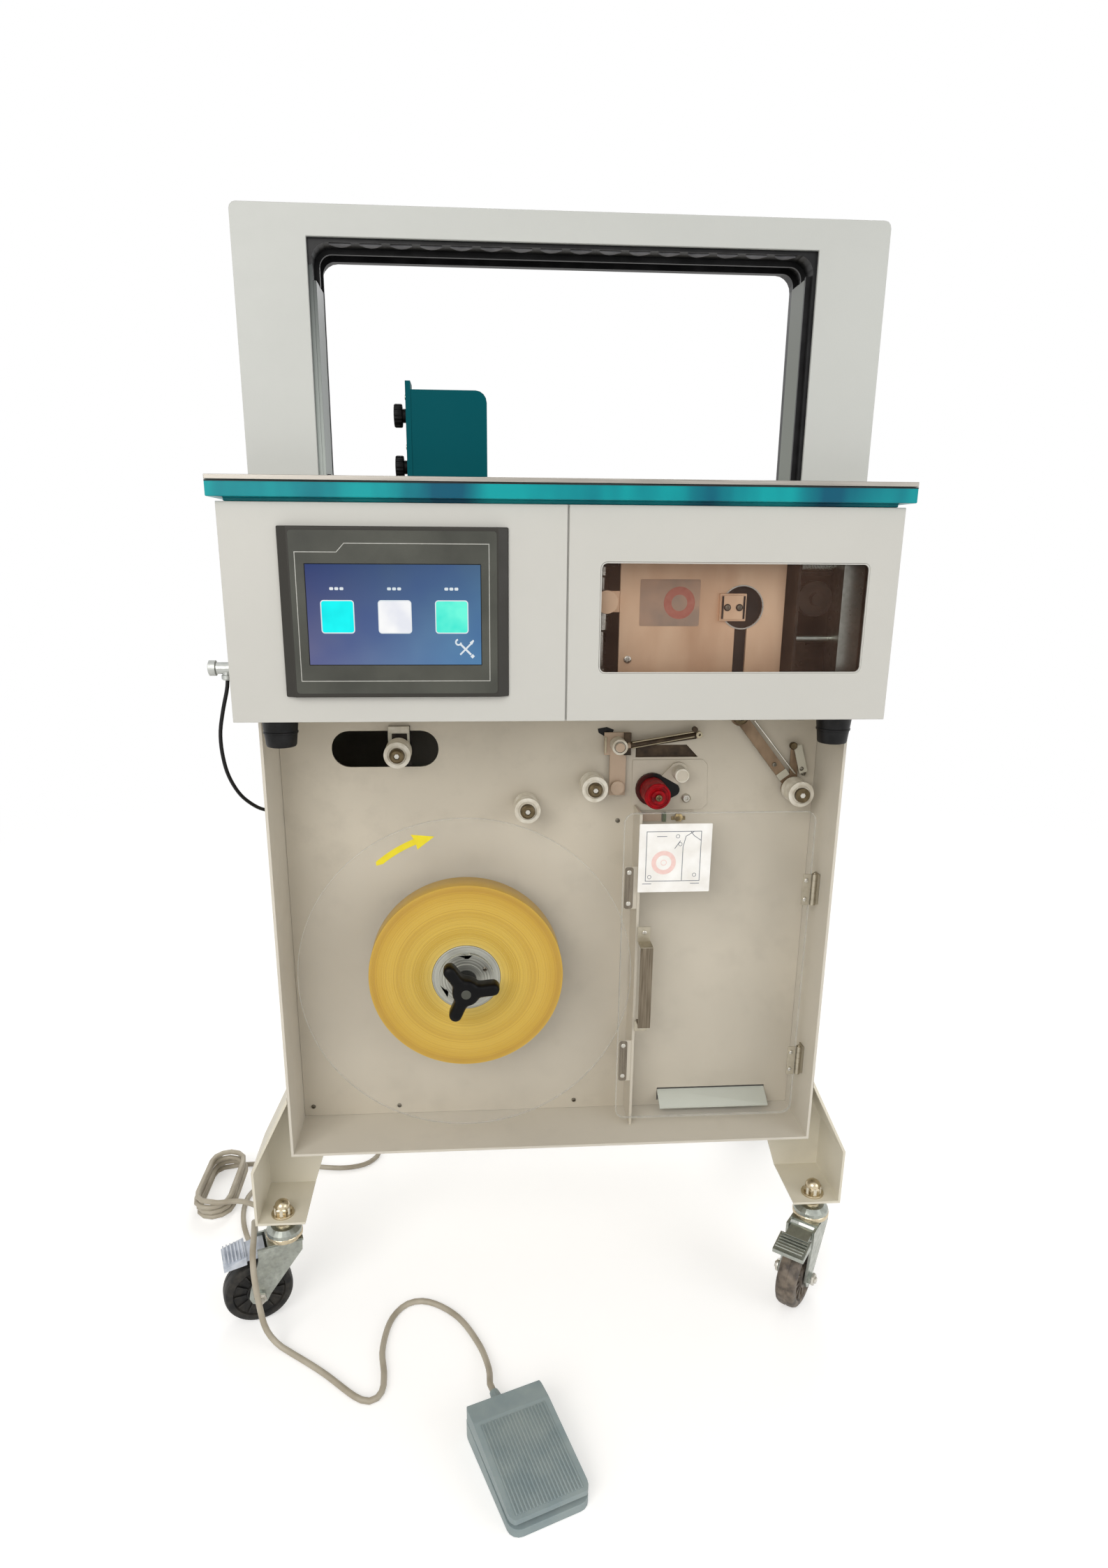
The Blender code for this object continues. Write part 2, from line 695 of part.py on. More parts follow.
def make_legs():
    """Four folded sheet legs, each with the caster's cap nut on its foot."""
    lean = (LEG_OUT - CAB_HALF - GAP) / (LEG_TOP - LEG_BEND)
    inner_bend = LEG_BEND - LEG_SHEET * math.tan(math.atan(lean) / 2)
    past_top = LEG_TOP + OVER
    for name, side, front_leg in (("leg_front_left", -1, True), ("leg_front_right", 1, True),
                                  ("leg_rear_left", -1, False), ("leg_rear_right", 1, False)):
        outline = [(LEG_TOE_IN, LEG_LOW), (LEG_OUT, LEG_LOW), (LEG_OUT, LEG_BEND),
                   (CAB_HALF + GAP, LEG_TOP), (CAB_HALF + GAP, CAB_BOTTOM - GAP),
                   (LEG_TOP_IN, CAB_BOTTOM - GAP)]
        slant_x = LEG_OUT - LEG_SHEET - (past_top - inner_bend) * lean
        room = [(LEG_TOP_IN - OVER, LEG_LOW + LEG_SHEET), (LEG_OUT - LEG_SHEET, LEG_LOW + LEG_SHEET),
                (LEG_OUT - LEG_SHEET, inner_bend), (slant_x, past_top), (LEG_TOP_IN - OVER, past_top)]
        outline = [(side * x, z) for x, z in outline]
        room = [(side * x, z) for x, z in room]
        if front_leg:
            low, high = CAB_FRONT, CAB_FRONT + LEG_DEEP
            room_low, room_high = low - OVER, high - LEG_SHEET
            nut_back = CAB_FRONT + NUT_IN
        else:
            low, high = CAB_BACK - LEG_DEEP, CAB_BACK
            room_low, room_high = low + LEG_SHEET, high + OVER
            nut_back = CAB_BACK - NUT_IN
        leg = node(name, slab(outline, "XZ", yd(low), yd(high)), SHEET_GREY)
        cut(leg, slab(room, "XZ", yd(room_low), yd(room_high)), "room")
        foot = LEG_LOW + LEG_SHEET
        x = side * NUT_X
        y = yd(nut_back)
        fuse(leg, rod((x, y, foot - BITE), (x, y, foot + WASHER_HIGH), WASHER_R), "washer")
        fuse(leg, rod((x, y, foot + BITE), (x, y, foot + WASHER_HIGH + NUT_HEX_HIGH),
                      NUT_HEX_R, sides=6), "hexagon")
        dome_shares = ((0, 1), (0.5, 0.93), (0.86, 0.72), (1, 0.42), (1, 0.1), (0, 0.1))
        dome = [(NUT_DOME_R * across, NUT_DOME_HIGH * up) for across, up in dome_shares]
        fuse(leg, turned(dome, (x, y, foot + WASHER_HIGH), (0, 0, 1), SMALL), "dome")


def make_caster(place, side, behind, trail_angle, brake):
    """Fork that swivels about the cap nut's line, wheel, and a brake pedal where there is one."""
    at = Matrix.Translation((side * NUT_X, yd(behind), 0)) @ Matrix.Rotation(trail_angle, 4, "Z")
    swivel = (side * NUT_X, yd(behind), DOME_LOW)
    stem_top = LEG_LOW - GAP
    rise = stem_top - DOME_LOW
    dome_shares = ((0, 1), (1 / 3, 1), (1 / 3, 0.62), (0.72, 0.58), (0.97, 0.40), (1, 0.2), (1, 0),
                   (0, 0))
    dome = [(DOME_R * across, DOME_LOW + rise * up) for across, up in dome_shares]

    def moved(mesh):
        mesh.transform(at)
        return mesh

    fork = node("fork_" + place, moved(turned(dome, (0, 0, 0), (0, 0, 1))), ZINC, swivel)
    fuse(fork, moved(box((FORK_PLATE_REAR, -FORK_PLATE_HALF, FORK_PLATE_LOW),
                         (FORK_PLATE_FRONT, FORK_PLATE_HALF, FORK_PLATE_HIGH))), "plate")
    boss = WHEEL_R / 3.6
    rear = FORK_PLATE_REAR + 2 * BITE
    ahead = BRAKE_HINGE_U + BRAKE_BARREL
    outline = [(rear, FORK_LEG_TOP), (rear + BITE, FORK_PLATE_LOW - boss),
               (TRAIL - boss * 1.15, WHEEL_R), (TRAIL - boss * 0.7, WHEEL_R - boss * 0.8),
               (TRAIL, WHEEL_R - boss * 1.1), (TRAIL + boss * 0.8, WHEEL_R - boss * 0.7),
               (TRAIL + boss * 1.1, WHEEL_R), (TRAIL + boss * 0.9, WHEEL_R + boss),
               (ahead, FORK_LEG_TOP - boss * 1.3), (ahead, FORK_LEG_TOP)]
    for label, low, high in (("leg_one", FORK_IN, FORK_OUT), ("leg_two", -FORK_OUT, -FORK_IN)):
        fuse(fork, moved(slab(outline, "XZ", low, high)), label)
    fuse(fork, moved(rod((TRAIL, -AXLE_HEAD_OUT, WHEEL_R), (TRAIL, AXLE_HEAD_OUT, WHEEL_R), AXLE_R,
                         sides=SMALL)), "axle")
    for label, inner, outer in (("head_one", FORK_OUT - BITE, AXLE_HEAD_OUT + BITE),
                                ("head_two", -FORK_OUT + BITE, -AXLE_HEAD_OUT - BITE)):
        fuse(fork, moved(rod((TRAIL, inner, WHEEL_R), (TRAIL, outer, WHEEL_R), AXLE_HEAD_R, sides=6)),
             label)
    half_shares = ((0.1125, 1), (0.34, 1), (0.38, 0.7), (0.70, 0.7), (0.80, 0.98), (1, 0.7))
    profile = [(WHEEL_R * across, WHEEL_HALF * along) for across, along in half_shares]
    profile += [(radius, -along) for radius, along in reversed(profile)]
    wheel = turned(profile, (0, 0, 0), (0, 1, 0), ROUND, closed=True)
    wheel.transform(Matrix.Translation((TRAIL, 0, WHEEL_R)))
    node("wheel_" + place, moved(wheel), TREAD, at @ Vector((TRAIL, 0, WHEEL_R)))
    if not brake:
        return
    top = BRAKE_HINGE_Z + BRAKE_BARREL
    low = BRAKE_HINGE_Z - BRAKE_BARREL
    narrow = [(BRAKE_HINGE_U - BRAKE_BARREL, low), (BRAKE_WIDE_FROM + BRAKE_BARREL, low - BITE),
              (BRAKE_WIDE_FROM + BRAKE_BARREL, top - BRAKE_BARREL), (BRAKE_HINGE_U, top),
              (BRAKE_HINGE_U - BRAKE_BARREL, top)]
    wide = [(BRAKE_WIDE_FROM, low - 2 * BITE), (BRAKE_TIP, low - BRAKE_BARREL),
            (BRAKE_TIP, low), (BRAKE_WIDE_FROM, top - BITE)]
    inner = FORK_IN - GAP
    pedal = node("brake_" + place, moved(slab(narrow, "XZ", -inner, inner)), PALE_BLUE,
                 at @ Vector((BRAKE_HINGE_U, 0, BRAKE_HINGE_Z)))
    fuse(pedal, moved(slab(wide, "XZ", -BRAKE_WIDE_HALF, BRAKE_WIDE_HALF)), "tread")


def make_head():
    """Head box, fixed left front, window door with its pane, rubber feet."""
    back = yd(HEAD_BACK)
    front = yd(0)
    shell_front = front + FRONT_SHEET + GAP
    shell = node("head_shell", box(
        (-HEAD_HALF, shell_front, HEAD_BOTTOM), (HEAD_HALF, back, HEAD_TOP)), BOX_WHITE)
    inside = HEAD_HALF - HEAD_SHEET
    cut(shell, box((-inside, shell_front - OVER, HEAD_BOTTOM + HEAD_SHEET),
                   (inside, back - HEAD_SHEET, HEAD_TOP - HEAD_SHEET)), "hollow")
    fuse(shell, box((-POST_HALF, shell_front + BITE, HEAD_BOTTOM + HEAD_SHEET / 2),
                    (POST_HALF, shell_front + POST_DEEP, HEAD_TOP - HEAD_SHEET / 2)), "post")
    panel = node("front_panel", box(
        (-HEAD_HALF, front, HEAD_BOTTOM), (-SEAM_HALF, front + FRONT_SHEET, HEAD_TOP)), BOX_WHITE)
    reach = TOUCH_BODY_INSET - GAP
    cut(panel, box((TOUCH_LEFT + reach, front - OVER, TOUCH_LOW + reach),
                   (TOUCH_RIGHT - reach, front + OVER, TOUCH_HIGH - reach)), "cut_out")
    hinge = (HEAD_HALF, front, (HEAD_BOTTOM + HEAD_TOP) / 2)
    door = node("window_door", box(
        (SEAM_HALF, front, HEAD_BOTTOM), (HEAD_HALF, front + FRONT_SHEET, HEAD_TOP)), BOX_WHITE, hinge)
    fold = box((FLANGE_IN, front + FRONT_SHEET / 2, HEAD_BOTTOM + FLANGE_SIDE),
               (HEAD_HALF - FLANGE_SIDE, front + FLANGE_DEEP, HEAD_TOP - FLANGE_SIDE))
    fuse(door, fold, "fold")
    room = box((FLANGE_IN + HEAD_SHEET, front + FRONT_SHEET, HEAD_BOTTOM + FLANGE_SIDE + HEAD_SHEET),
               (HEAD_HALF - FLANGE_SIDE - HEAD_SHEET, front + FLANGE_DEEP + OVER,
                HEAD_TOP - FLANGE_SIDE - HEAD_SHEET))
    cut(door, room, "room")
    opening = rectangle(WINDOW_LEFT, WINDOW_LOW, WINDOW_RIGHT, WINDOW_HIGH, WINDOW_CORNER)
    cut(door, slab(opening, "XZ", front - OVER, front + FRONT_SHEET + BITE), "opening")
    pane_front = front + FRONT_SHEET + GAP
    node("window_pane", box((WINDOW_LEFT - PANE_LAP, pane_front, WINDOW_LOW - PANE_LAP),
                            (WINDOW_RIGHT + PANE_LAP, pane_front + PANE_THICK,
                             WINDOW_HIGH + PANE_LAP)), SMOKED, hinge)
    for name, side in (("rubber_foot_left", -1), ("rubber_foot_right", 1)):
        x = side * RUBBER_X
        y = yd(RUBBER_BACK)
        node(name, rod((x, y, RUBBER_LOW), (x, y, HEAD_BOTTOM - GAP), RUBBER_LOW_R, RUBBER_TOP_R),
             BLACK)


def make_touch_panel():
    """Bezel with sloped sides, a body through the panel's cut-out, and the screen."""
    front = yd(0)
    face = front - TOUCH_PROUD
    plan = [(TOUCH_LEFT, front - GAP), (TOUCH_LEFT, front - TOUCH_RIM), (TOUCH_LEFT + TOUCH_BEVEL, face),
            (TOUCH_RIGHT - TOUCH_BEVEL, face), (TOUCH_RIGHT, front - TOUCH_RIM),
            (TOUCH_RIGHT, front - GAP)]
    housing = node("touch_housing", slab(plan, "XY", TOUCH_LOW, TOUCH_HIGH), BEZEL)
    inset = TOUCH_BODY_INSET
    fuse(housing, box((TOUCH_LEFT + inset, front - TOUCH_RIM, TOUCH_LOW + inset),
                      (TOUCH_RIGHT - inset, front + TOUCH_BODY_DEEP, TOUCH_HIGH - inset)), "body")
    screen_front = face + SCREEN_SUNK
    cut(housing, box((SCREEN_LEFT, face - OVER, SCREEN_LOW),
                     (SCREEN_RIGHT, screen_front + SCREEN_THICK + GAP, SCREEN_HIGH)), "recess")
    node("touch_screen", box((SCREEN_LEFT + GAP, screen_front, SCREEN_LOW + GAP),
                             (SCREEN_RIGHT - GAP, screen_front + SCREEN_THICK, SCREEN_HIGH - GAP)),
         GLASS_BLUE)


def make_table():
    """Steel plate over a teal-edged core that stands on an inset foot."""
    front = yd(TABLE_FRONT)
    back = yd(TABLE_BACK)
    core = node("table_band", box(
        (-TABLE_HALF, front, TABLE_FOOT_TOP), (TABLE_HALF, back, BAND_TOP)), TEAL)
    inset = TABLE_FOOT_INSET
    fuse(core, box((-TABLE_HALF + inset, front + inset, HEAD_TOP + GAP),
                   (TABLE_HALF - inset, back - inset, TABLE_FOOT_TOP + BITE)), "foot")
    plate = node("table_plate", box(
        (-TABLE_HALF, front, BAND_TOP + GAP), (TABLE_HALF, back, TABLE_TOP)), STEEL)
    cut(plate, box((-SLOT_HALF, yd(SLOT_FRONT), BAND_TOP - OVER),
                   (SLOT_HALF, yd(SLOT_BACK), TABLE_TOP + OVER)), "film_slot")


def make_arch():
    """Arch over the table and the film track that lines it."""
    low = TABLE_TOP + GAP
    corners = [(-ARCH_OUT, low), (-ARCH_IN, low), (-ARCH_IN, ARCH_IN_TOP), (ARCH_IN, ARCH_IN_TOP),
               (ARCH_IN, low), (ARCH_OUT, low), (ARCH_OUT, ARCH_TOP), (-ARCH_OUT, ARCH_TOP)]
    outline = filleted(corners, [0, 0, 0, 0, 0, 0, ARCH_CORNER, ARCH_CORNER], 3)
    arch = node("arch_shell", slab(outline, "XZ", yd(ARCH_FRONT), yd(ARCH_BACK)), ARCH_GREY)
    out = TRACK_OUT + GAP
    cut(arch, box((-out, yd(TRACK_FRONT) - GAP, TABLE_TOP - OVER),
                  (out, yd(TRACK_BACK) + GAP, TRACK_OUT_TOP + GAP)), "groove")
    corners = [(-TRACK_OUT, low), (-TRACK_IN, low), (-TRACK_IN, TRACK_IN_TOP), (TRACK_IN, TRACK_IN_TOP),
               (TRACK_IN, low), (TRACK_OUT, low), (TRACK_OUT, TRACK_OUT_TOP),
               (-TRACK_OUT, TRACK_OUT_TOP)]
    outline = filleted(corners, [0, 0, TRACK_CORNER, TRACK_CORNER, 0, 0, 0, 0], 5)
    node("film_track", slab(outline, "XZ", yd(TRACK_FRONT), yd(TRACK_BACK)), BLACK)


def make_fence():
    """Folded side fence with its bracket, and the two clamp knobs."""
    low = TABLE_TOP + GAP
    front = yd(FENCE_FRONT)
    corners = [(FENCE_LEFT, low), (FENCE_RIGHT, low), (FENCE_RIGHT, FENCE_TOP), (FENCE_LEFT, FENCE_TOP)]
    face = filleted(corners, [0, 0, FENCE_CORNER, 0])
    fence = node("side_fence", slab(face, "XZ", front, front + FENCE_SHEET), DARK_TEAL,
                 (FENCE_LEFT, front, low))
    fuse(fence, box((FENCE_LEFT + GAP, front + BITE, low + GAP),
                    (FENCE_LEFT + FENCE_SHEET, front + FENCE_DEEP, FENCE_TOP - BITE)), "wing")
    face_x = FENCE_LEFT - BRACKET_THICK
    fuse(fence, box((face_x, front - BITE, low + BITE),
                    (FENCE_LEFT + 2 * BITE, front + BRACKET_DEEP, BRACKET_TOP)), "bracket")
    y = yd(KNOB_BACK)
    for place, z in KNOB_HEIGHTS.items():
        near = face_x - GAP
        neck = near - KNOB_NECK
        profile = [(0, KNOB_NECK + KNOB_LONG), (KNOB_R - 2 * BITE, KNOB_NECK + KNOB_LONG),
                   (KNOB_R, KNOB_NECK + KNOB_LONG - 2 * BITE), (KNOB_R, KNOB_NECK),
                   (KNOB_NECK_R, KNOB_NECK), (KNOB_NECK_R, 0), (0, 0)]
        node("fence_knob_" + place, turned(profile, (near, y, z), (-1, 0, 0), 20), BLACK,
             (neck, y, z))


def make_reel():
    """Hub, clear disc, film roll and the star knob that clamps them, about one axis."""
    middle = (REEL_X, yd(TAPE_FRONT), REEL_Z)
    foot = PANEL_FRONT - GAP
    back = TAPE_FRONT + TAPE_WIDE + GAP
    profile = [(0, foot - NOSE_FRONT), (NOSE_R, foot - NOSE_FRONT), (NOSE_R, foot - TAPE_FRONT + GAP),
               (CORE_R, foot - TAPE_FRONT + GAP), (CORE_R, foot - back), (HUB_FLANGE_R, foot - back),
               (HUB_FLANGE_R, foot - back - HUB_FLANGE_THICK),
               (HUB_SHAFT_R, foot - back - HUB_FLANGE_THICK), (HUB_SHAFT_R, 0), (0, 0)]
    hub = node("reel_hub", turned(profile, (REEL_X, yd(foot), REEL_Z), (0, -1, 0), 36), STEEL, middle)
    nose = yd(NOSE_FRONT)
    for index in range(3):
        angle = math.pi / 2 + index * 2 * math.pi / 3
        notch = box((NOSE_R - NOTCH_DEEP, nose - OVER, -NOTCH_WIDE / 2),
                    (NOSE_R + NOTCH_WIDE, nose + CATCH_THICK, NOTCH_WIDE / 2))
        notch.transform(Matrix.Translation((REEL_X, 0, REEL_Z)) @ Matrix.Rotation(-angle, 4, "Y"))
        cut(hub, notch, "notch_" + str(index))
    cut(hub, rod((REEL_X, nose - OVER, REEL_Z), (REEL_X, nose + KNOB_STUD_LONG + GAP, REEL_Z),
                 KNOB_STUD_R + GAP, sides=SMALL), "stud_bore")
    disc = [(NOSE_R + GAP, DISC_THICK), (DISC_R, DISC_THICK), (DISC_R, 0), (NOSE_R + GAP, 0)]
    node("front_disc", turned(disc, (REEL_X, yd(DISC_FRONT + DISC_THICK), REEL_Z), (0, -1, 0), FINE,
                              closed=True), CLEAR, middle)
    roll = [(CORE_R + GAP, TAPE_WIDE), (TAPE_R, TAPE_WIDE), (TAPE_R, 0), (CORE_R + GAP, 0)]
    node("film_roll", turned(roll, (REEL_X, yd(TAPE_FRONT + TAPE_WIDE), REEL_Z), (0, -1, 0), FINE,
                             closed=True), TAPE, middle)
    star_back = nose - GAP
    star_front = yd(STAR_FRONT)
    depth = star_back - star_front
    core_shares = ((0, 1), (0.5, 1), (0.8, 0.97), (1, 0.9), (1, 0.5), (0.75, 0.4), (0.75, 0), (0, 0))
    core = [(STAR_CORE_R * across, depth * up) for across, up in core_shares]
    star = node("star_knob", turned(core, (REEL_X, star_back, REEL_Z), (0, -1, 0)), BLACK,
                (REEL_X, nose, REEL_Z))
    fuse(star, rod((REEL_X, star_back - BITE, REEL_Z), (REEL_X, nose + KNOB_STUD_LONG, REEL_Z),
                   KNOB_STUD_R, sides=SMALL), "stud")
    for index in range(3):
        angle = STAR_TURN + index * 2 * math.pi / 3
        arm = slab(filleted([(0, -STAR_ARM_R), (STAR_REACH, -STAR_ARM_R), (STAR_REACH, STAR_ARM_R),
                             (0, STAR_ARM_R)], [0, STAR_ARM_R / 2, STAR_ARM_R / 2, 0], 4),
                   "XZ", star_back - depth * 0.96, star_back - depth * 0.56)
        arm.transform(Matrix.Translation((REEL_X, 0, REEL_Z)) @ Matrix.Rotation(-angle, 4, "Y"))
        fuse(star, arm, "arm_" + str(index))


def make_slider():
    """Bracket that slides in the obround slot and carries a guide roller."""
    at = (SLIDER_X, OBROUND_Z)
    front = yd(PANEL_FRONT)
    back = front + PANEL_SHEET
    origin = (SLIDER_X, front, OBROUND_Z)
    high = SLIDER_HIGH / 2
    bracket = node("slot_bracket", box(
        (SLIDER_X - SLIDER_HALF, front - GAP - SLIDER_FACE / 2, OBROUND_Z - high),
        (SLIDER_X + SLIDER_HALF, back + GAP + BITE, OBROUND_Z + high)), WHITE, origin)
    fuse(bracket, box(
        (SLIDER_X - SLIDER_HALF + BITE, front - GAP - SLIDER_FACE, OBROUND_Z - SLIDER_FACE_LOW),
        (SLIDER_X + SLIDER_HALF + BITE, front - GAP, OBROUND_Z + SLIDER_FACE_TOP)), "face")
    rear_high = SLIDER_BACK_HIGH / 2
    fuse(bracket, box((SLIDER_X - SLIDER_BACK_HALF, back + GAP, OBROUND_Z - rear_high),
                      (SLIDER_X + SLIDER_BACK_HALF, back + GAP + SLIDER_BACK, OBROUND_Z + rear_high)),
         "keeper")
    fuse(bracket, stud(at, PANEL_FRONT - SLIDER_FACE - GAP), "stud")
    guide_roller("roller_slot", at)


def make_lever():
    """Lever arm on its pivot, with the short link plate, carrying the last guide roller."""
    front = yd(LEVER_FRONT)
    back = front + LEVER_SHEET
    begin = Vector(LEVER_PIVOT)
    end = Vector(LEVER_ROLLER)
    along = (end - begin).normalized()
    side = Vector((-along.y, along.x)) * LEVER_HALF
    bar = [tuple(begin + side), tuple(begin - side), tuple(end - side), tuple(end + side)]
    origin = (LEVER_PIVOT[0], front, LEVER_PIVOT[1])
    arm = node("lever_arm", slab(bar, "XZ", front, back), STEEL, origin)
    step = GAP
    fuse(arm, slab(circle(LEVER_PIVOT, LEVER_EYE_R, 20), "XZ", front + step, back - step), "eye")
    fuse(arm, slab(circle(LEVER_ROLLER, LEVER_FLANGE_R, 20), "XZ", front + step, back - step), "flange")
    step += GAP
    link = Vector(LEVER_LINK)
    way = (end - link).normalized()
    side = Vector((-way.y, way.x)) * LEVER_LINK_HALF
    plate = [tuple(link + side), tuple(link - side), tuple(end - side), tuple(end + side)]
    fuse(arm, slab(plate, "XZ", front + step, back - step), "link")
    fuse(arm, stud(LEVER_ROLLER, LEVER_FRONT), "stud")
    cut(arm, slab(circle(LEVER_PIVOT, STUD_R + GAP, SMALL), "XZ", front - OVER, back + OVER), "bore")
    guide_roller("roller_lever", LEVER_ROLLER)


def make_pinch():
    """Swinging pinch bracket with its rod, and the small roller on it."""
    front = yd(PINCH_FRONT)
    back = front + PINCH_SHEET
    x, z = PINCH_PIVOT
    top_x, top_z = PINCH_ROLLER
    bracket = node("pinch_bracket", box(
        (x - PINCH_HALF, front, z - PINCH_HALF), (x + PINCH_HALF, back, top_z)), STEEL, (x, front, z))
    fuse(bracket, box((top_x - PINCH_TOP_HALF, front + GAP, top_z - PINCH_TOP_HIGH),
                      (top_x + PINCH_TOP_HALF, back - GAP, top_z + PINCH_TOP_HIGH)), "top")
    cut(bracket, slab(circle(PINCH_PIVOT, STUD_R + GAP, SMALL), "XZ", front - OVER, back + OVER), "bore")
    cap = PINCH_ROLLER_LONG + 2 * GAP
    pin = [(0, cap + STUD_HEAD / 2), (STUD_R, cap + STUD_HEAD / 2), (STUD_R, cap),
           (STUD_R / 2, cap), (STUD_R / 2, -BITE), (0, -BITE)]
    fuse(bracket, turned(pin, (top_x, front, top_z), (0, -1, 0), SMALL), "pin")
    rod_y = front - PINCH_ROD_R / 2
    fuse(bracket, rod((PINCH_ROD_FROM[0], rod_y, PINCH_ROD_FROM[1]),
                      (PINCH_ROD_TO[0], rod_y, PINCH_ROD_TO[1]), PINCH_ROD_R, sides=12), "rod")
    bore = STUD_R / 2 + GAP
    profile = [(bore, PINCH_ROLLER_LONG), (PINCH_ROLLER_R, PINCH_ROLLER_LONG), (PINCH_ROLLER_R, 0),
               (bore, 0)]
    foot = front - GAP
    node("pinch_roller", turned(profile, (top_x, foot, top_z), (0, -1, 0), 24, closed=True), WHITE,
         (top_x, foot - PINCH_ROLLER_LONG / 2, top_z))


def make_feed():
    """Black guard on the panel with two studs, the red feed roller and the white idler."""
    back = yd(PANEL_FRONT) - GAP
    front = back - GUARD_THICK
    outline = drop(RED, GUARD_R, GUARD_NOSE, GUARD_NOSE_R, 16)
    guard = node("roller_guard", slab(outline, "XZ", front, back), BLACK)
    ear = drop(IDLER, GUARD_EAR_R, GUARD_EAR_ROOT, GUARD_EAR_ROOT_R, 12)
    fuse(guard, slab(ear, "XZ", front + GAP, back - GAP), "ear")
    red_foot = front - GAP
    red_long = red_foot - yd(RED_FRONT)
    pin = [(0, red_long + STUD_HEAD + GAP), (STUD_HEAD_R, red_long + STUD_HEAD + GAP),
           (STUD_HEAD_R, red_long + 2 * GAP), (STUD_R, red_long + 2 * GAP), (STUD_R, -BITE), (0, -BITE)]
    fuse(guard, turned(pin, (RED[0], front, RED[1]), (0, -1, 0), SMALL), "red_stud")
    small = STUD_R / 2
    pin = [(0, IDLER_LONG + STUD_HEAD), (STUD_R, IDLER_LONG + STUD_HEAD),
           (STUD_R, IDLER_LONG + 2 * GAP), (small, IDLER_LONG + 2 * GAP), (small, -BITE), (0, -BITE)]
    fuse(guard, turned(pin, (IDLER[0], front, IDLER[1]), (0, -1, 0), SMALL), "idler_stud")
    bore = STUD_R + GAP
    profile = [(bore, red_long), (RED_R - 2 * BITE, red_long), (RED_R, red_long - 2 * BITE),
               (RED_R, 0), (bore, 0)]
    node("red_roller", turned(profile, (RED[0], red_foot, RED[1]), (0, -1, 0), 32, closed=True),
         RED_LOOK, (RED[0], red_foot - red_long / 2, RED[1]))
    bore = small + GAP
    profile = [(bore, IDLER_LONG), (IDLER_R, IDLER_LONG), (IDLER_R, 0), (bore, 0)]
    node("idler", turned(profile, (IDLER[0], red_foot, IDLER[1]), (0, -1, 0), 24, closed=True), WHITE,
         (IDLER[0], red_foot - IDLER_LONG / 2, IDLER[1]))


def make_film_box():
    """Partition with catches, clear door on two hinges, steel handle, chute flap."""
    back = yd(PANEL_FRONT) - GAP
    low = CAB_BOTTOM + CAB_SHEET + GAP
    partition = node("film_partition", box(
        (PART_LEFT, yd(PART_FRONT), low), (PART_LEFT + PART_THICK, back, PART_TOP)), SHEET_GREY)
    catch_y = yd(PART_FRONT) + CATCH_BACKSET
    for place, (catch_low, catch_high) in CATCHES.items():
        fuse(partition, box((CATCH_LEFT, catch_y, catch_low),
                            (PART_LEFT + BITE, catch_y + CATCH_THICK, catch_high)), "catch_" + place)
    front = yd(DOOR_FRONT)
    hinge_x = DOOR_RIGHT + HINGE_PIN_R + GAP
    axis = (hinge_x, front, (DOOR_LOW + DOOR_HIGH) / 2)
    outline = rectangle(DOOR_LEFT, DOOR_LOW, DOOR_RIGHT, DOOR_HIGH, DOOR_CORNER)
    node("film_door", slab(outline, "XZ", front, front + DOOR_THICK), CLEAR, axis)
    wall = CAB_HALF - CAB_SHEET - GAP
    for place, (leaf_low, leaf_high) in HINGES.items():
        hinge = node("door_hinge_" + place, rod(
            (hinge_x, front, leaf_low), (hinge_x, front, leaf_high), HINGE_PIN_R, sides=SMALL), STEEL,
            (hinge_x, front, leaf_low))
        fuse(hinge, box((hinge_x, front - HINGE_LEAF / 2, leaf_low + BITE),
                        (wall, front + HINGE_LEAF / 2, leaf_high - BITE)), "wall_arm")
        fuse(hinge, box((wall - HINGE_LEAF, front - HINGE_LEAF, leaf_low + 2 * BITE),
                        (wall, front + HINGE_LEAF_WIDE, leaf_high - 2 * BITE)), "wall_leaf")
    stand = front - GAP
    strip = node("door_handle", box((HANDLE_LEFT, stand - HANDLE_STAND, HANDLE_LOW),
                                    (HANDLE_RIGHT, stand - HANDLE_STAND + HANDLE_SHEET, HANDLE_HIGH)),
                 STEEL, axis)
    for label, foot_low, foot_high in (
            ("tab_low", HANDLE_LOW + BITE, HANDLE_LOW + BITE + HANDLE_SHEET),
            ("tab_high", HANDLE_HIGH - BITE - HANDLE_SHEET, HANDLE_HIGH - BITE)):
        fuse(strip, box((HANDLE_LEFT + BITE, stand - HANDLE_STAND + BITE, foot_low),
                        (HANDLE_RIGHT - BITE, stand, foot_high)), label)
    flap_back = yd(PANEL_FRONT) + PANEL_SHEET / 2
    slope = [(flap_back, FLAP_TOP), (flap_back - FLAP_REACH, FLAP_TOP - FLAP_DROP),
             (flap_back - FLAP_REACH, FLAP_TOP - FLAP_DROP - FLAP_SHEET),
             (flap_back, FLAP_TOP - FLAP_SHEET)]
    node("chute_flap", slab(slope, "YZ", CHUTE_LEFT + GAP, CHUTE_RIGHT - GAP),
         SHEET_GREY, (CHUTE_LEFT, flap_back, FLAP_TOP - FLAP_SHEET / 2))


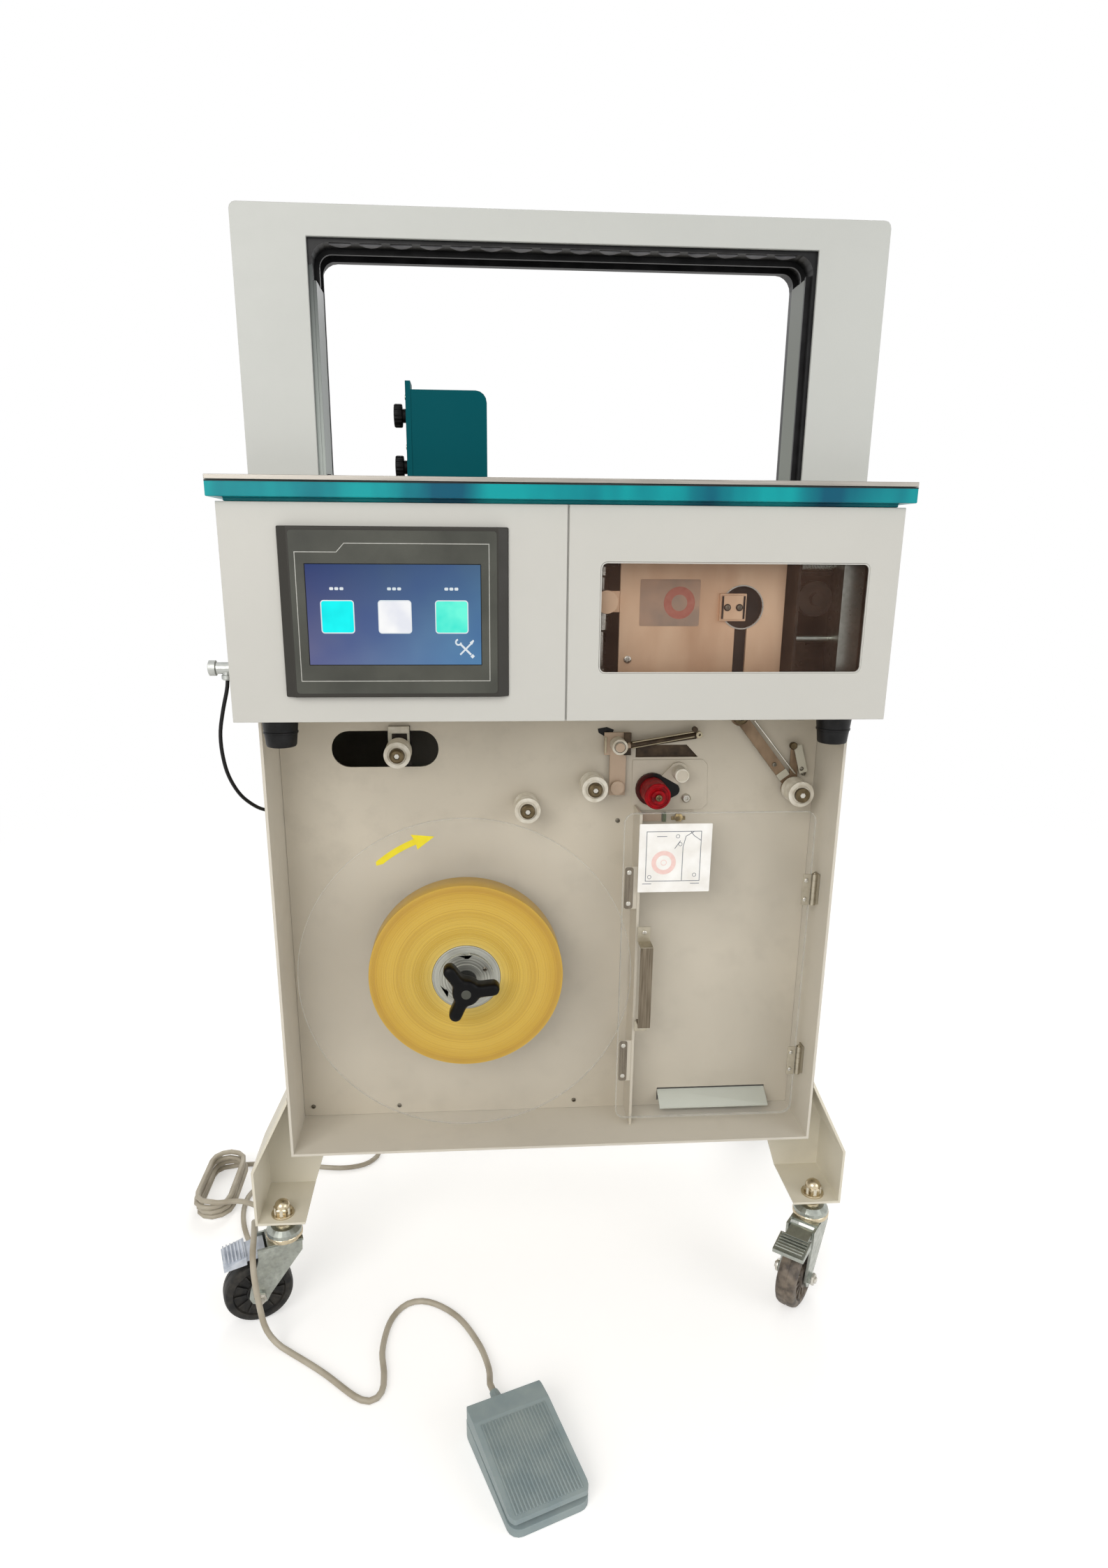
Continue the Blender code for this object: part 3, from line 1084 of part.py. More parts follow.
def make_sealing_unit():
    """Steel plate with a keyhole cut-out on a foot inside the head, block behind the hole."""
    floor = HEAD_BOTTOM + HEAD_SHEET + GAP
    front = yd(UNIT_FRONT)
    back = front + UNIT_SHEET
    unit = node("sealing_unit", box((UNIT_LEFT, front, floor), (UNIT_RIGHT, back, UNIT_TOP)), STEEL)
    cut(unit, slab(circle(KEYHOLE, KEYHOLE_R), "XZ", front - OVER, back + OVER), "keyhole")
    cut(unit, box((KEYHOLE[0] - KEYHOLE_SLOT_HALF, front - OVER, KEYHOLE_SLOT_LOW),
                  (KEYHOLE[0] + KEYHOLE_SLOT_HALF, back + OVER, KEYHOLE[1])), "keyhole_slot")
    fuse(unit, box((UNIT_LEFT + BITE, back - BITE, floor + BITE),
                   (UNIT_RIGHT - BITE, back + UNIT_FOOT, floor + UNIT_SHEET)), "foot")
    half = UNIT_BLOCK_HALF
    fuse(unit, box((UNIT_BLOCK_X - half, front - UNIT_BLOCK_OUT, KEYHOLE[1] - half),
                   (UNIT_BLOCK_X + half, back + UNIT_BLOCK_DEEP, KEYHOLE[1] + half)), "block")
    fuse(unit, box((UNIT_BLOCK_X - 2 * half, back + UNIT_BLOCK_DEEP / 2, floor + 2 * BITE),
                   (UNIT_BLOCK_X + 2 * half, back + UNIT_BLOCK_DEEP / 2 + UNIT_SHEET,
                    KEYHOLE[1] + 2 * half)), "web")
    for label, side in (("hole_one", -1), ("hole_two", 1)):
        x = UNIT_BLOCK_X + side * half / 2.2
        cut(unit, rod((x, front - 2 * UNIT_BLOCK_OUT, KEYHOLE[1]), (x, front + UNIT_BLOCK_OUT, KEYHOLE[1]),
                      half / 4, sides=12), label)
    fuse(unit, box((UNIT_WHEEL_X, front + BITE, UNIT_WHEEL_Z - UNIT_ARM / 2),
                   (UNIT_LEFT + BITE * 4, back - BITE, UNIT_WHEEL_Z + UNIT_ARM / 2)), "wheel_arm")
    fuse(unit, rod((UNIT_WHEEL_X, front - UNIT_WHEEL_R, UNIT_WHEEL_Z),
                   (UNIT_WHEEL_X, back + BITE, UNIT_WHEEL_Z), UNIT_WHEEL_R, sides=24), "wheel")


def make_fitting():
    """Metal elbow fitting on the head's left side, outlet downwards."""
    y = yd(FITTING_BACK)
    flange = HEAD_HALF + GAP
    fitting = node("side_fitting", rod((-flange, y, FITTING_Z), (-FITTING_OUT, y, FITTING_Z), FITTING_R,
                                       sides=SMALL), STEEL)
    fuse(fitting, rod((-flange, y, FITTING_Z), (-flange - FITTING_FLANGE, y, FITTING_Z),
                      FITTING_FLANGE_R, sides=6), "flange")
    fuse(fitting, rod((FITTING_DROP_X, y, FITTING_Z),
                      (FITTING_DROP_X, y, FITTING_Z - FITTING_DROP), FITTING_DROP_R, sides=SMALL),
         "outlet")


def make_pedal():
    """Low base and ribbed treadle, turned on the floor as in the photo."""
    at = Matrix.Translation((PEDAL_X, yd(PEDAL_BACK), 0)) @ Matrix.Rotation(PEDAL_TURN, 4, "Z")
    plan = rectangle(0, -PEDAL_HALF, PEDAL_LONG, PEDAL_HALF, PEDAL_CORNER)

    def moved(mesh):
        mesh.transform(at)
        return mesh

    outline = [(-OVER, 0), (PEDAL_LONG + OVER, 0), (PEDAL_LONG + OVER, PEDAL_BASE_FRONT),
               (-OVER, PEDAL_BASE_REAR)]
    wide = PEDAL_HALF + OVER
    base = node("pedal_base", moved(slab(outline, "XZ", -wide, wide)), PEDAL_BLUE)
    combine(base, "INTERSECT", moved(slab(plan, "XY", -OVER, PEDAL_TREADLE_TOP + OVER)), "plan")
    fuse(base, moved(rod((BITE * 2, 0, PEDAL_BOOT_UP), (-PEDAL_BOOT_LONG, 0, PEDAL_BOOT_UP),
                         PEDAL_BOOT_R, PEDAL_BOOT_TIP_R, SMALL)), "boot")
    slope = (PEDAL_BASE_REAR - PEDAL_BASE_FRONT) / (PEDAL_LONG + 2 * OVER)
    low_rear = PEDAL_BASE_REAR + GAP
    flat_low = PEDAL_BASE_REAR - slope * (PEDAL_HINGE_IN + OVER) + 2 * GAP
    outline = [(PEDAL_INSET / 2, low_rear), (PEDAL_HINGE_IN, flat_low),
               (PEDAL_LONG - PEDAL_INSET / 2, PEDAL_TREADLE_LOW_FRONT),
               (PEDAL_LONG - PEDAL_INSET / 2, PEDAL_TREADLE_HIGH_FRONT),
               (PEDAL_TREADLE_FLAT, PEDAL_TREADLE_TOP), (PEDAL_HINGE_IN, PEDAL_TREADLE_TOP),
               (PEDAL_INSET / 2, PEDAL_HINGE_UP)]
    hinge = at @ Vector((PEDAL_HINGE_IN, 0, PEDAL_HINGE_UP - PEDAL_HINGE_IN))
    treadle = node("pedal_treadle", moved(slab(outline, "XZ", -wide, wide)), PEDAL_BLUE, hinge)
    plan = rectangle(PEDAL_INSET / 4, -PEDAL_HALF + GAP, PEDAL_LONG, PEDAL_HALF - GAP,
                     PEDAL_CORNER - PEDAL_INSET / 4)
    combine(treadle, "INTERSECT", moved(slab(plan, "XY", -OVER, PEDAL_TREADLE_TOP + OVER)), "plan")


def flowing(route, step):
    """Evenly spaced points on a smooth curve through the route's points."""
    points = [Vector(p) for p in route]
    fine = []
    count = len(points)
    for i in range(count - 1):
        before = points[i - 1] if i else points[0] * 2 - points[1]
        after = points[i + 2] if i + 2 < count else points[-1] * 2 - points[-2]
        for k in range(40):
            t = k / 40
            fine.append(0.5 * (2 * points[i] + (points[i + 1] - before) * t
                               + (2 * before - 5 * points[i] + 4 * points[i + 1] - after) * t * t
                               + (3 * points[i] - before - 3 * points[i + 1] + after) * t ** 3))
    fine.append(points[-1])
    travelled = [0]
    for a, b in zip(fine, fine[1:]):
        travelled.append(travelled[-1] + (b - a).length)
    total = travelled[-1]
    pieces = max(2, math.ceil(total / step))
    spaced = []
    j = 0
    for i in range(pieces + 1):
        want = total * i / pieces
        while j < len(fine) - 2 and travelled[j + 1] < want:
            j += 1
        share = (want - travelled[j]) / (travelled[j + 1] - travelled[j])
        place = fine[j].lerp(fine[j + 1], min(max(share, 0), 1))
        place.z = max(place.z, LEAD_R + GAP)
        spaced.append(place)
    return spaced


def tube(name, points, radius, look, rings):
    """Round tube through points, its ends closed."""
    curve = bpy.data.curves.new(name, "CURVE")
    curve.dimensions = "3D"
    curve.bevel_depth = radius
    curve.bevel_resolution = rings
    curve.use_fill_caps = True
    spline = curve.splines.new("POLY")
    spline.points.add(len(points) - 1)
    for point, place in zip(spline.points, points):
        point.co = (*place, 1)
    holder = bpy.data.objects.new(name, curve)
    bpy.context.scene.collection.objects.link(holder)
    mesh = smooth(baked(holder, name))
    return node(name, mesh, look)


# Pedal lead: gland to bundle, bundle to pedal, as x, distance behind the box front, height
TAIL_ROUTE = [
    (LEAD_X, LEAD_BACK, CAB_BOTTOM - LEAD_GLAND_LONG - GAP), (-0.2395, 0.4195, 0.160),
    (-0.2375, 0.417, 0.100), (-0.2355, 0.408, 0.050), (-0.236, 0.390, 0.015),
    (-0.241, 0.371, LEAD_R + GAP), (-0.257, 0.353, LEAD_R + GAP), (-0.286, 0.346, LEAD_R + GAP),
    (-0.321, 0.350, LEAD_R + GAP), (-0.358, 0.358, LEAD_R + GAP), (-0.400, 0.363, LEAD_R + GAP)]
RUN_ROUTE = [
    (-0.410, 0.2405, 0.0310), (-0.385, 0.245, 0.0170), (-0.361, 0.260, LEAD_R + 4 * GAP),
    (-0.349, 0.285, LEAD_R + GAP), (-0.357, 0.308, LEAD_R + GAP), (-0.377, 0.321, LEAD_R + GAP),
    (-0.398, 0.314, LEAD_R + GAP), (-0.412, 0.292, LEAD_R + GAP), (-0.414, 0.265, LEAD_R + GAP),
    (-0.409, 0.236, LEAD_R + GAP), (-0.399, 0.208, LEAD_R + GAP), (-0.380, 0.168, LEAD_R + GAP),
    (-0.371, 0.142, 0.0170), (-0.364, 0.122, 0.0640), (-0.359, 0.104, 0.1020),
    (-0.354, 0.082, 0.1110), (-0.350, 0.060, 0.1110), (-0.347, 0.040, 0.1080),
    (-0.344, 0.027, 0.0900), (-0.340, 0.021, 0.0600), (-0.334, 0.017, 0.0280),
    (-0.322, 0.014, 0.0080), (-0.303, 0.002, LEAD_R + GAP), (-0.263, -0.028, LEAD_R + GAP),
    (-0.224, -0.062, LEAD_R + GAP), (-0.206, -0.068, LEAD_R + GAP), (-0.196, -0.056, LEAD_R + GAP),
    (-0.196, -0.032, LEAD_R + GAP), (-0.2005, 0.0015, LEAD_R + GAP), (-0.194, 0.045, LEAD_R + GAP),
    (-0.175, 0.070, LEAD_R + GAP), (-0.148, 0.070, LEAD_R + GAP), (-0.115, 0.0445, LEAD_R + GAP),
    (-0.091, 0.003, LEAD_R + 2 * GAP), (-0.080, -0.035, 0.0075)]
CABLE_ROUTE = [
    (FITTING_DROP_X, FITTING_BACK, FITTING_Z - FITTING_DROP - GAP), (FITTING_DROP_X - 0.0015, 0.100, 0.744),
    (-0.3430, 0.1005, 0.722), (-0.3480, 0.103, 0.699), (-0.3490, 0.108, 0.675),
    (-0.3470, 0.118, 0.650), (-0.3400, 0.133, 0.626), (-0.3290, 0.152, 0.608),
    (-CAB_HALF - 0.0200, 0.171, 0.5985), (-CAB_HALF - 3 * CABLE_GROMMET_LONG, CABLE_END_BACK, CABLE_END_Z),
    (-CAB_HALF - CABLE_GROMMET_LONG - 2 * GAP, CABLE_END_BACK, CABLE_END_Z)]


def bundle_points():
    """Loops of slack on the floor, each a little above and beside the last."""
    around = 2 * math.pi * BUNDLE_R + 4 * BUNDLE_STRAIGHT
    points = []
    total = int(BUNDLE_LOOPS * BUNDLE_STEPS)
    quarter = around / 4
    for i in range(total + 1):
        loops = i / BUNDLE_STEPS
        way = (loops * around) % around
        half_bend = math.pi * BUNDLE_R / 2
        if way < half_bend:
            angle = math.pi / 2 + way / BUNDLE_R
            x, y = BUNDLE_R * math.cos(angle), BUNDLE_STRAIGHT + BUNDLE_R * math.sin(angle)
        elif way < half_bend + 2 * BUNDLE_STRAIGHT:
            x, y = -BUNDLE_R, BUNDLE_STRAIGHT - (way - half_bend)
        elif way < 3 * half_bend + 2 * BUNDLE_STRAIGHT:
            angle = math.pi + (way - half_bend - 2 * BUNDLE_STRAIGHT) / BUNDLE_R
            x, y = BUNDLE_R * math.cos(angle), -BUNDLE_STRAIGHT + BUNDLE_R * math.sin(angle)
        elif way < 3 * half_bend + 4 * BUNDLE_STRAIGHT:
            x, y = BUNDLE_R, -BUNDLE_STRAIGHT + (way - 3 * half_bend - 2 * BUNDLE_STRAIGHT)
        else:
            angle = (way - 3 * half_bend - 4 * BUNDLE_STRAIGHT) / BUNDLE_R
            x, y = BUNDLE_R * math.cos(angle), BUNDLE_STRAIGHT + BUNDLE_R * math.sin(angle)
        sway = BUNDLE_SWAY * math.sin(loops * 2.1) * math.sin(math.pi * loops / BUNDLE_LOOPS)
        z = LEAD_R + GAP + BUNDLE_PITCH * loops
        points.append(Vector((BUNDLE_X + x + sway, yd(BUNDLE_BACK) + y + sway, z)))
    return points


def least_gap(points, radius):
    """Smallest clear distance between strands more than a turn's third apart."""
    apart = BUNDLE_STEPS // 3
    least = 1
    for i, a in enumerate(points):
        for b in points[i + apart:]:
            least = min(least, (a - b).length - 2 * radius)
    return least


def make_leads():
    """Pedal lead in three lengths that meet end to end, and the short black cable."""
    world = [[(x, yd(behind), z) for x, behind, z in route]
             for route in (TAIL_ROUTE, RUN_ROUTE, CABLE_ROUTE)]
    bundle = bundle_points()
    first = (bundle[1] - bundle[0]).normalized()
    last = (bundle[-1] - bundle[-2]).normalized()
    straight = LEAD_R * 3
    tail_end = bundle[0] - first * GAP
    tail = flowing(world[0] + [tail_end - first * straight], LEAD_STEP) + [tail_end]
    boot = Matrix.Rotation(PEDAL_TURN, 4, "Z") @ Vector((1, 0, 0))
    tip = Vector((PEDAL_X, yd(PEDAL_BACK), PEDAL_BOOT_UP)) - boot * (PEDAL_BOOT_LONG + GAP)
    run_start = bundle[-1] + last * GAP
    route = [run_start + last * straight] + world[1] + [tip - boot * straight]
    run = [run_start] + flowing(route, LEAD_STEP) + [tip]
    tube("lead_tail", tail, LEAD_R, LEAD_GREY, 2)
    tube("lead_bundle", bundle, LEAD_R, LEAD_GREY, 1)
    tube("lead_run", run, LEAD_R, LEAD_GREY, 2)
    cable = flowing(world[2][:-1], CABLE_STEP) + [Vector(world[2][-1])]
    tube("side_cable", cable, CABLE_R, BLACK, 2)
    print("least gap in the bundle, mm:", round(least_gap(bundle, LEAD_R) * 1000, 2))


make_cabinet_shell()
make_back_panel()
make_legs()
FRONT_NUT = CAB_FRONT + NUT_IN
REAR_NUT = CAB_BACK - NUT_IN
make_caster("front_left", -1, FRONT_NUT, math.radians(199), True)
make_caster("front_right", 1, FRONT_NUT, math.radians(231), True)
make_caster("rear_left", -1, REAR_NUT, math.radians(180), False)
make_caster("rear_right", 1, REAR_NUT, 0, False)
make_head()
make_touch_panel()
make_table()
make_arch()
make_fence()
make_reel()
guide_roller("roller_left", GUIDE_LEFT)
guide_roller("roller_right", GUIDE_RIGHT)
make_slider()
make_lever()
make_pinch()
make_feed()
make_film_box()
make_sealing_unit()
make_fitting()
make_pedal()
make_leads()
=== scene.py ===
"""Banding machine on casters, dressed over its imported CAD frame. Metres, +Z up, front towards -Y."""
import math

import bmesh
import bpy
from mathutils import Matrix, Vector


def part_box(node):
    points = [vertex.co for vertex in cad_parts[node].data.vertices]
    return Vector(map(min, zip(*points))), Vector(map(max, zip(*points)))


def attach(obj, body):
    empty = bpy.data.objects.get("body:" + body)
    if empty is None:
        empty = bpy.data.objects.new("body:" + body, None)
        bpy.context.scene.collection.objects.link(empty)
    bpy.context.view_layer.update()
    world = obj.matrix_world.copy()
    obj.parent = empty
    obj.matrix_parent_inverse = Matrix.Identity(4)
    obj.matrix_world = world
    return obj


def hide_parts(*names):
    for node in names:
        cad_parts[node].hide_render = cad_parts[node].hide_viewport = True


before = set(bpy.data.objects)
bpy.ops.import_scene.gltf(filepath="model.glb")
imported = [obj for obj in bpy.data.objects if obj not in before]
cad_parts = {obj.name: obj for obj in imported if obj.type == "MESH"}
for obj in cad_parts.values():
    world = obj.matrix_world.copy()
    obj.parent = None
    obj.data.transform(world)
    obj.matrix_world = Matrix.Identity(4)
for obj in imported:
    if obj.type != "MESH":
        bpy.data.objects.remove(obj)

scene = bpy.context.scene
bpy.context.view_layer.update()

# Studio: pale floor that fades into white, a broad soft lamp in front and above to the left,
# a weaker one to the right and an even white surround. The camera stands where the
# photographer stood, a little left of the middle at table height.
CAMERA_AT = (-0.08821, -1.01360, 0.87748)
YAW, PITCH, ROLL = 0.0704443, 0.2846233, -0.0064558
PHOTO_WIDE, PHOTO_HIGH, SENSOR_MM = 1587, 2245, 36
FOCAL_PX, MIDDLE_PX = 1372.79, (771.84, 1196.46)
FLOOR_HALF, FLOOR_Z = 14, -0.0004
forward = Vector((math.sin(YAW) * math.cos(PITCH), math.cos(YAW) * math.cos(PITCH), -math.sin(PITCH)))
level = Vector((math.cos(YAW), -math.sin(YAW), 0))
below = forward.cross(level)
across = level * math.cos(ROLL) + below * math.sin(ROLL)
under = below * math.cos(ROLL) - level * math.sin(ROLL)
lens = bpy.data.cameras.new("camera")
lens.sensor_width = SENSOR_MM
lens.lens = FOCAL_PX * SENSOR_MM / PHOTO_HIGH
lens.shift_x = (PHOTO_WIDE / 2 - MIDDLE_PX[0]) / PHOTO_HIGH
lens.shift_y = (MIDDLE_PX[1] - PHOTO_HIGH / 2) / PHOTO_HIGH
lens.clip_start = 0.05
lens.clip_end = 60
camera = bpy.data.objects.new("camera", lens)
camera.matrix_world = Matrix((
    (across.x, -under.x, -forward.x, CAMERA_AT[0]), (across.y, -under.y, -forward.y, CAMERA_AT[1]),
    (across.z, -under.z, -forward.z, CAMERA_AT[2]), (0, 0, 0, 1)))
scene.collection.objects.link(camera)
scene.camera = camera
scene.view_settings.view_transform = "Standard"


def seen_share(tree):
    """1 for what the camera, a mirror or a clear pane sees directly, 0 for light bouncing on."""
    rays = tree.nodes.new("ShaderNodeLightPath")
    either = tree.nodes.new("ShaderNodeMath")
    either.operation = "MAXIMUM"
    any_of = tree.nodes.new("ShaderNodeMath")
    any_of.operation = "MAXIMUM"
    tree.links.new(rays.outputs["Is Camera Ray"], either.inputs[0])
    tree.links.new(rays.outputs["Is Glossy Ray"], either.inputs[1])
    tree.links.new(either.outputs[0], any_of.inputs[0])
    tree.links.new(rays.outputs["Is Transmission Ray"], any_of.inputs[1])
    return any_of.outputs[0]


world = bpy.data.worlds.new("surround")
world.use_nodes = True
tree = world.node_tree
tree.nodes.clear()
lit = tree.nodes.new("ShaderNodeBackground")
lit.inputs["Color"].default_value = (1, 0.985, 0.96, 1)
lit.inputs["Strength"].default_value = 0.50
seen = tree.nodes.new("ShaderNodeBackground")
seen.inputs["Color"].default_value = (1, 1, 1, 1)
choice = tree.nodes.new("ShaderNodeMixShader")
out = tree.nodes.new("ShaderNodeOutputWorld")
tree.links.new(seen_share(tree), choice.inputs[0])
tree.links.new(lit.outputs[0], choice.inputs[1])
tree.links.new(seen.outputs[0], choice.inputs[2])
tree.links.new(choice.outputs[0], out.inputs["Surface"])
scene.world = world

for name, place, aim, size, power, colour in (
        ("lamp_key", (-1.4, -2.6, 2.1), (0, 0, 0.65), 2.2, 58, (1, 0.98, 0.95)),
        ("lamp_fill", (2.2, -1.9, 1.4), (0, 0, 0.55), 1.8, 20, (0.97, 0.98, 1)),
        ("lamp_back", (0.4, 2.4, 2.6), (0, 0, 0.7), 2.0, 34, (1, 1, 1))):
    lamp = bpy.data.lights.new(name, "AREA")
    lamp.size = size
    lamp.energy = power
    lamp.color = colour
    holder = bpy.data.objects.new(name, lamp)
    holder.location = place
    holder.rotation_euler = (Vector(aim) - Vector(place)).to_track_quat("-Z", "Y").to_euler()
    scene.collection.objects.link(holder)

floor_mesh = bpy.data.meshes.new("floor")
corners = [(x * FLOOR_HALF, y * FLOOR_HALF, FLOOR_Z) for x, y in ((-1, -1), (1, -1), (1, 1), (-1, 1))]
floor_mesh.from_pydata(corners, [], [(0, 1, 2, 3)])
floor = bpy.data.objects.new("floor", floor_mesh)
scene.collection.objects.link(floor)
pale = bpy.data.materials.new("pale_floor")
pale.use_nodes = True
tree = pale.node_tree
tree.nodes.clear()
matt = tree.nodes.new("ShaderNodeBsdfDiffuse")
matt.inputs["Color"].default_value = (0.80, 0.795, 0.785, 1)
lift = tree.nodes.new("ShaderNodeEmission")
amount = tree.nodes.new("ShaderNodeMath")
amount.operation = "MULTIPLY"
amount.inputs[1].default_value = 0.42
tree.links.new(seen_share(tree), amount.inputs[0])
tree.links.new(amount.outputs[0], lift.inputs["Strength"])
both = tree.nodes.new("ShaderNodeAddShader")
where = tree.nodes.new("ShaderNodeTexCoord")
far = tree.nodes.new("ShaderNodeVectorMath")
far.operation = "LENGTH"
fade = tree.nodes.new("ShaderNodeMapRange")
fade.interpolation_type = "SMOOTHSTEP"
fade.inputs["From Min"].default_value = 0.9
fade.inputs["From Max"].default_value = 3.0
share = tree.nodes.new("ShaderNodeMath")
share.operation = "MULTIPLY"
white = tree.nodes.new("ShaderNodeEmission")
blend = tree.nodes.new("ShaderNodeMixShader")
out = tree.nodes.new("ShaderNodeOutputMaterial")
for a, b in ((matt.outputs[0], both.inputs[0]), (lift.outputs[0], both.inputs[1]),
             (where.outputs["Object"], far.inputs[0]), (far.outputs["Value"], fade.inputs["Value"]),
             (fade.outputs["Result"], share.inputs[0]), (seen_share(tree), share.inputs[1]),
             (share.outputs[0], blend.inputs[0]), (both.outputs[0], blend.inputs[1]),
             (white.outputs[0], blend.inputs[2]), (blend.outputs[0], out.inputs["Surface"])):
    tree.links.new(a, b)
floor_mesh.materials.append(pale)

# Cabinet: a case of folded 3 mm sheet, open in front, with the recess panel set 78 mm back and
# four folded legs. All of it is powder coated a warm light grey, scuffed a little in the recess.


def tint(red, green, blue):
    """Linear colour of a screen colour."""
    shares = [value / 255 for value in (red, green, blue)]
    return tuple(s / 12.92 if s <= 0.04045 else ((s + 0.055) / 1.055) ** 2.4 for s in shares)


def finish(name, colour, roughness, metallic=0.0, shine=0.5):
    """New material with its plain values set on the shader, and its tree and shader."""
    material = bpy.data.materials.new(name)
    material.use_nodes = True
    shader = material.node_tree.nodes["Principled BSDF"]
    shader.inputs["Base Color"].default_value = (*colour, 1)
    shader.inputs["Roughness"].default_value = roughness
    shader.inputs["Metallic"].default_value = metallic
    shader.inputs["Specular IOR Level"].default_value = shine
    return material, material.node_tree, shader


def grain(tree, size, detail=2.0, stretch=(1, 1, 1), rough=0.5):
    """Noise with features of about that size, in metres, stretched along an axis by a small share."""
    where = tree.nodes.new("ShaderNodeTexCoord")
    turn = tree.nodes.new("ShaderNodeMapping")
    turn.inputs["Scale"].default_value = stretch
    cloud = tree.nodes.new("ShaderNodeTexNoise")
    cloud.inputs["Scale"].default_value = 1 / size
    cloud.inputs["Detail"].default_value = detail
    cloud.inputs["Roughness"].default_value = rough
    tree.links.new(where.outputs["Object"], turn.inputs["Vector"])
    tree.links.new(turn.outputs["Vector"], cloud.inputs["Vector"])
    return cloud.outputs["Fac"]


def spread(tree, value, low, high, to_low, to_high):
    """A value's range stretched onto another, and held there."""
    step = tree.nodes.new("ShaderNodeMapRange")
    for socket, number in zip(("From Min", "From Max", "To Min", "To Max"), (low, high, to_low, to_high)):
        step.inputs[socket].default_value = number
    tree.links.new(value, step.inputs["Value"])
    return step.outputs["Result"]


def mixed(tree, share, first, second):
    """Colour between two, each a colour or another node's output."""
    mix = tree.nodes.new("ShaderNodeMix")
    mix.data_type = "RGBA"
    tree.links.new(share, mix.inputs["Factor"])
    for socket, colour in ((mix.inputs[6], first), (mix.inputs[7], second)):
        if isinstance(colour, tuple):
            socket.default_value = (*colour, 1)
        else:
            tree.links.new(colour, socket)
    return mix.outputs[2]


def relief(tree, shader, value, deep, strength=1.0):
    """Bump of that depth in metres on the shader."""
    bump = tree.nodes.new("ShaderNodeBump")
    bump.inputs["Distance"].default_value = deep
    bump.inputs["Strength"].default_value = strength
    tree.links.new(value, bump.inputs["Height"])
    tree.links.new(bump.outputs["Normal"], shader.inputs["Normal"])


def scaled(colour, share):
    return tuple(value * share for value in colour)


def powder(name, colour, roughness=0.46, mottle=0.05, orange_peel=0.00006, grime=0.0, shine=0.4):
    """Powder coat: fine orange peel, slow change of tone, and rubbed-in grime."""
    material, tree, shader = finish(name, colour, roughness, 0.0, shine)
    slow = spread(tree, grain(tree, 0.16, 4.0), 0.3, 0.7, 0, 1)
    tone = mixed(tree, slow, scaled(colour, 1 - mottle), scaled(colour, 1 + mottle * 0.6))
    if grime:
        spots = spread(tree, grain(tree, 0.035, 6.0, rough=0.62), 0.52, 0.74, 0, grime)
        tone = mixed(tree, spots, tone, scaled(colour, 0.62))
    tree.links.new(tone, shader.inputs["Base Color"])
    tree.links.new(spread(tree, grain(tree, 0.02, 3.0), 0.3, 0.7, roughness - 0.05, roughness + 0.07),
                   shader.inputs["Roughness"])
    relief(tree, shader, grain(tree, 0.0014, 2.0), orange_peel, 0.8)
    return material


def dress(material, *nodes):
    """Gives CAD nodes a material."""
    for node in nodes:
        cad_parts[node].material_slots[0].material = material


def ease(width, *nodes, segments=2, angle=40):
    """Small rounding of a CAD node's edges, by modifiers alone."""
    for node in nodes:
        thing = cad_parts[node]
        weld = thing.modifiers.new("weld", "WELD")
        weld.merge_threshold = 0.00002
        edge = thing.modifiers.new("edge", "BEVEL")
        edge.width = width
        edge.segments = segments
        edge.limit_method = "ANGLE"
        edge.angle_limit = math.radians(angle)
        edge.harden_normals = True
        edge.use_clamp_overlap = True


case_coat = powder("case_powder_coat", tint(208, 202, 189), 0.48, 0.05, grime=0.10)
# The legs' copy of the coat is lighter than the case's, though they share one paint: painted light on the
# legs.
leg_coat_painted_light = powder("leg_powder_coat_painted_light", tint(219, 213, 196), 0.48, 0.05, grime=0.12)
recess_coat = powder("recess_powder_coat", tint(198, 190, 174), 0.42, 0.08, grime=0.22)
dress(case_coat, "cabinet_shell")
CORNERS = ("front_left", "front_right", "rear_left", "rear_right")
legs = ["leg_" + corner for corner in CORNERS]
dress(leg_coat_painted_light, *legs)
dress(recess_coat, "back_panel", "film_partition")
ease(0.0009, "cabinet_shell", *legs)
ease(0.0005, "film_partition")


# Rear of the cabinet, not in the photo: a screwed-on cover of thin sheet with eight rows of
# pressed air slots, so that the back is not a blank wall.
COVER_HALF, COVER_LOW, COVER_HIGH, COVER_FACE = 0.262, 0.262, 0.690, 0.4520
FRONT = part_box("front_panel")[0].y


def at(x, behind, z):
    """Place that lies so far behind the head box's front face."""
    return Vector((x, FRONT + behind, z))


def made(name, bm, material, body, stands_for=(), rounded=0.0, smooth=35):
    """Finished piece from a bmesh: welded, faces outward, riding on its body."""
    bmesh.ops.remove_doubles(bm, verts=bm.verts, dist=0.000005)
    bmesh.ops.recalc_face_normals(bm, faces=bm.faces)
    mesh = bpy.data.meshes.new(name)
    bm.to_mesh(mesh)
    bm.free()
    mesh.materials.append(material)
    mesh.shade_smooth()
    mesh.set_sharp_from_angle(angle=math.radians(smooth))
    thing = bpy.data.objects.new(name, mesh)
    scene.collection.objects.link(thing)
    if rounded:
        edge = thing.modifiers.new("edge", "BEVEL")
        edge.width = rounded
        edge.segments = 2
        edge.limit_method = "ANGLE"
        edge.angle_limit = math.radians(40)
        edge.harden_normals = True
    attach(thing, body)
    if stands_for:
        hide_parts(*stands_for)


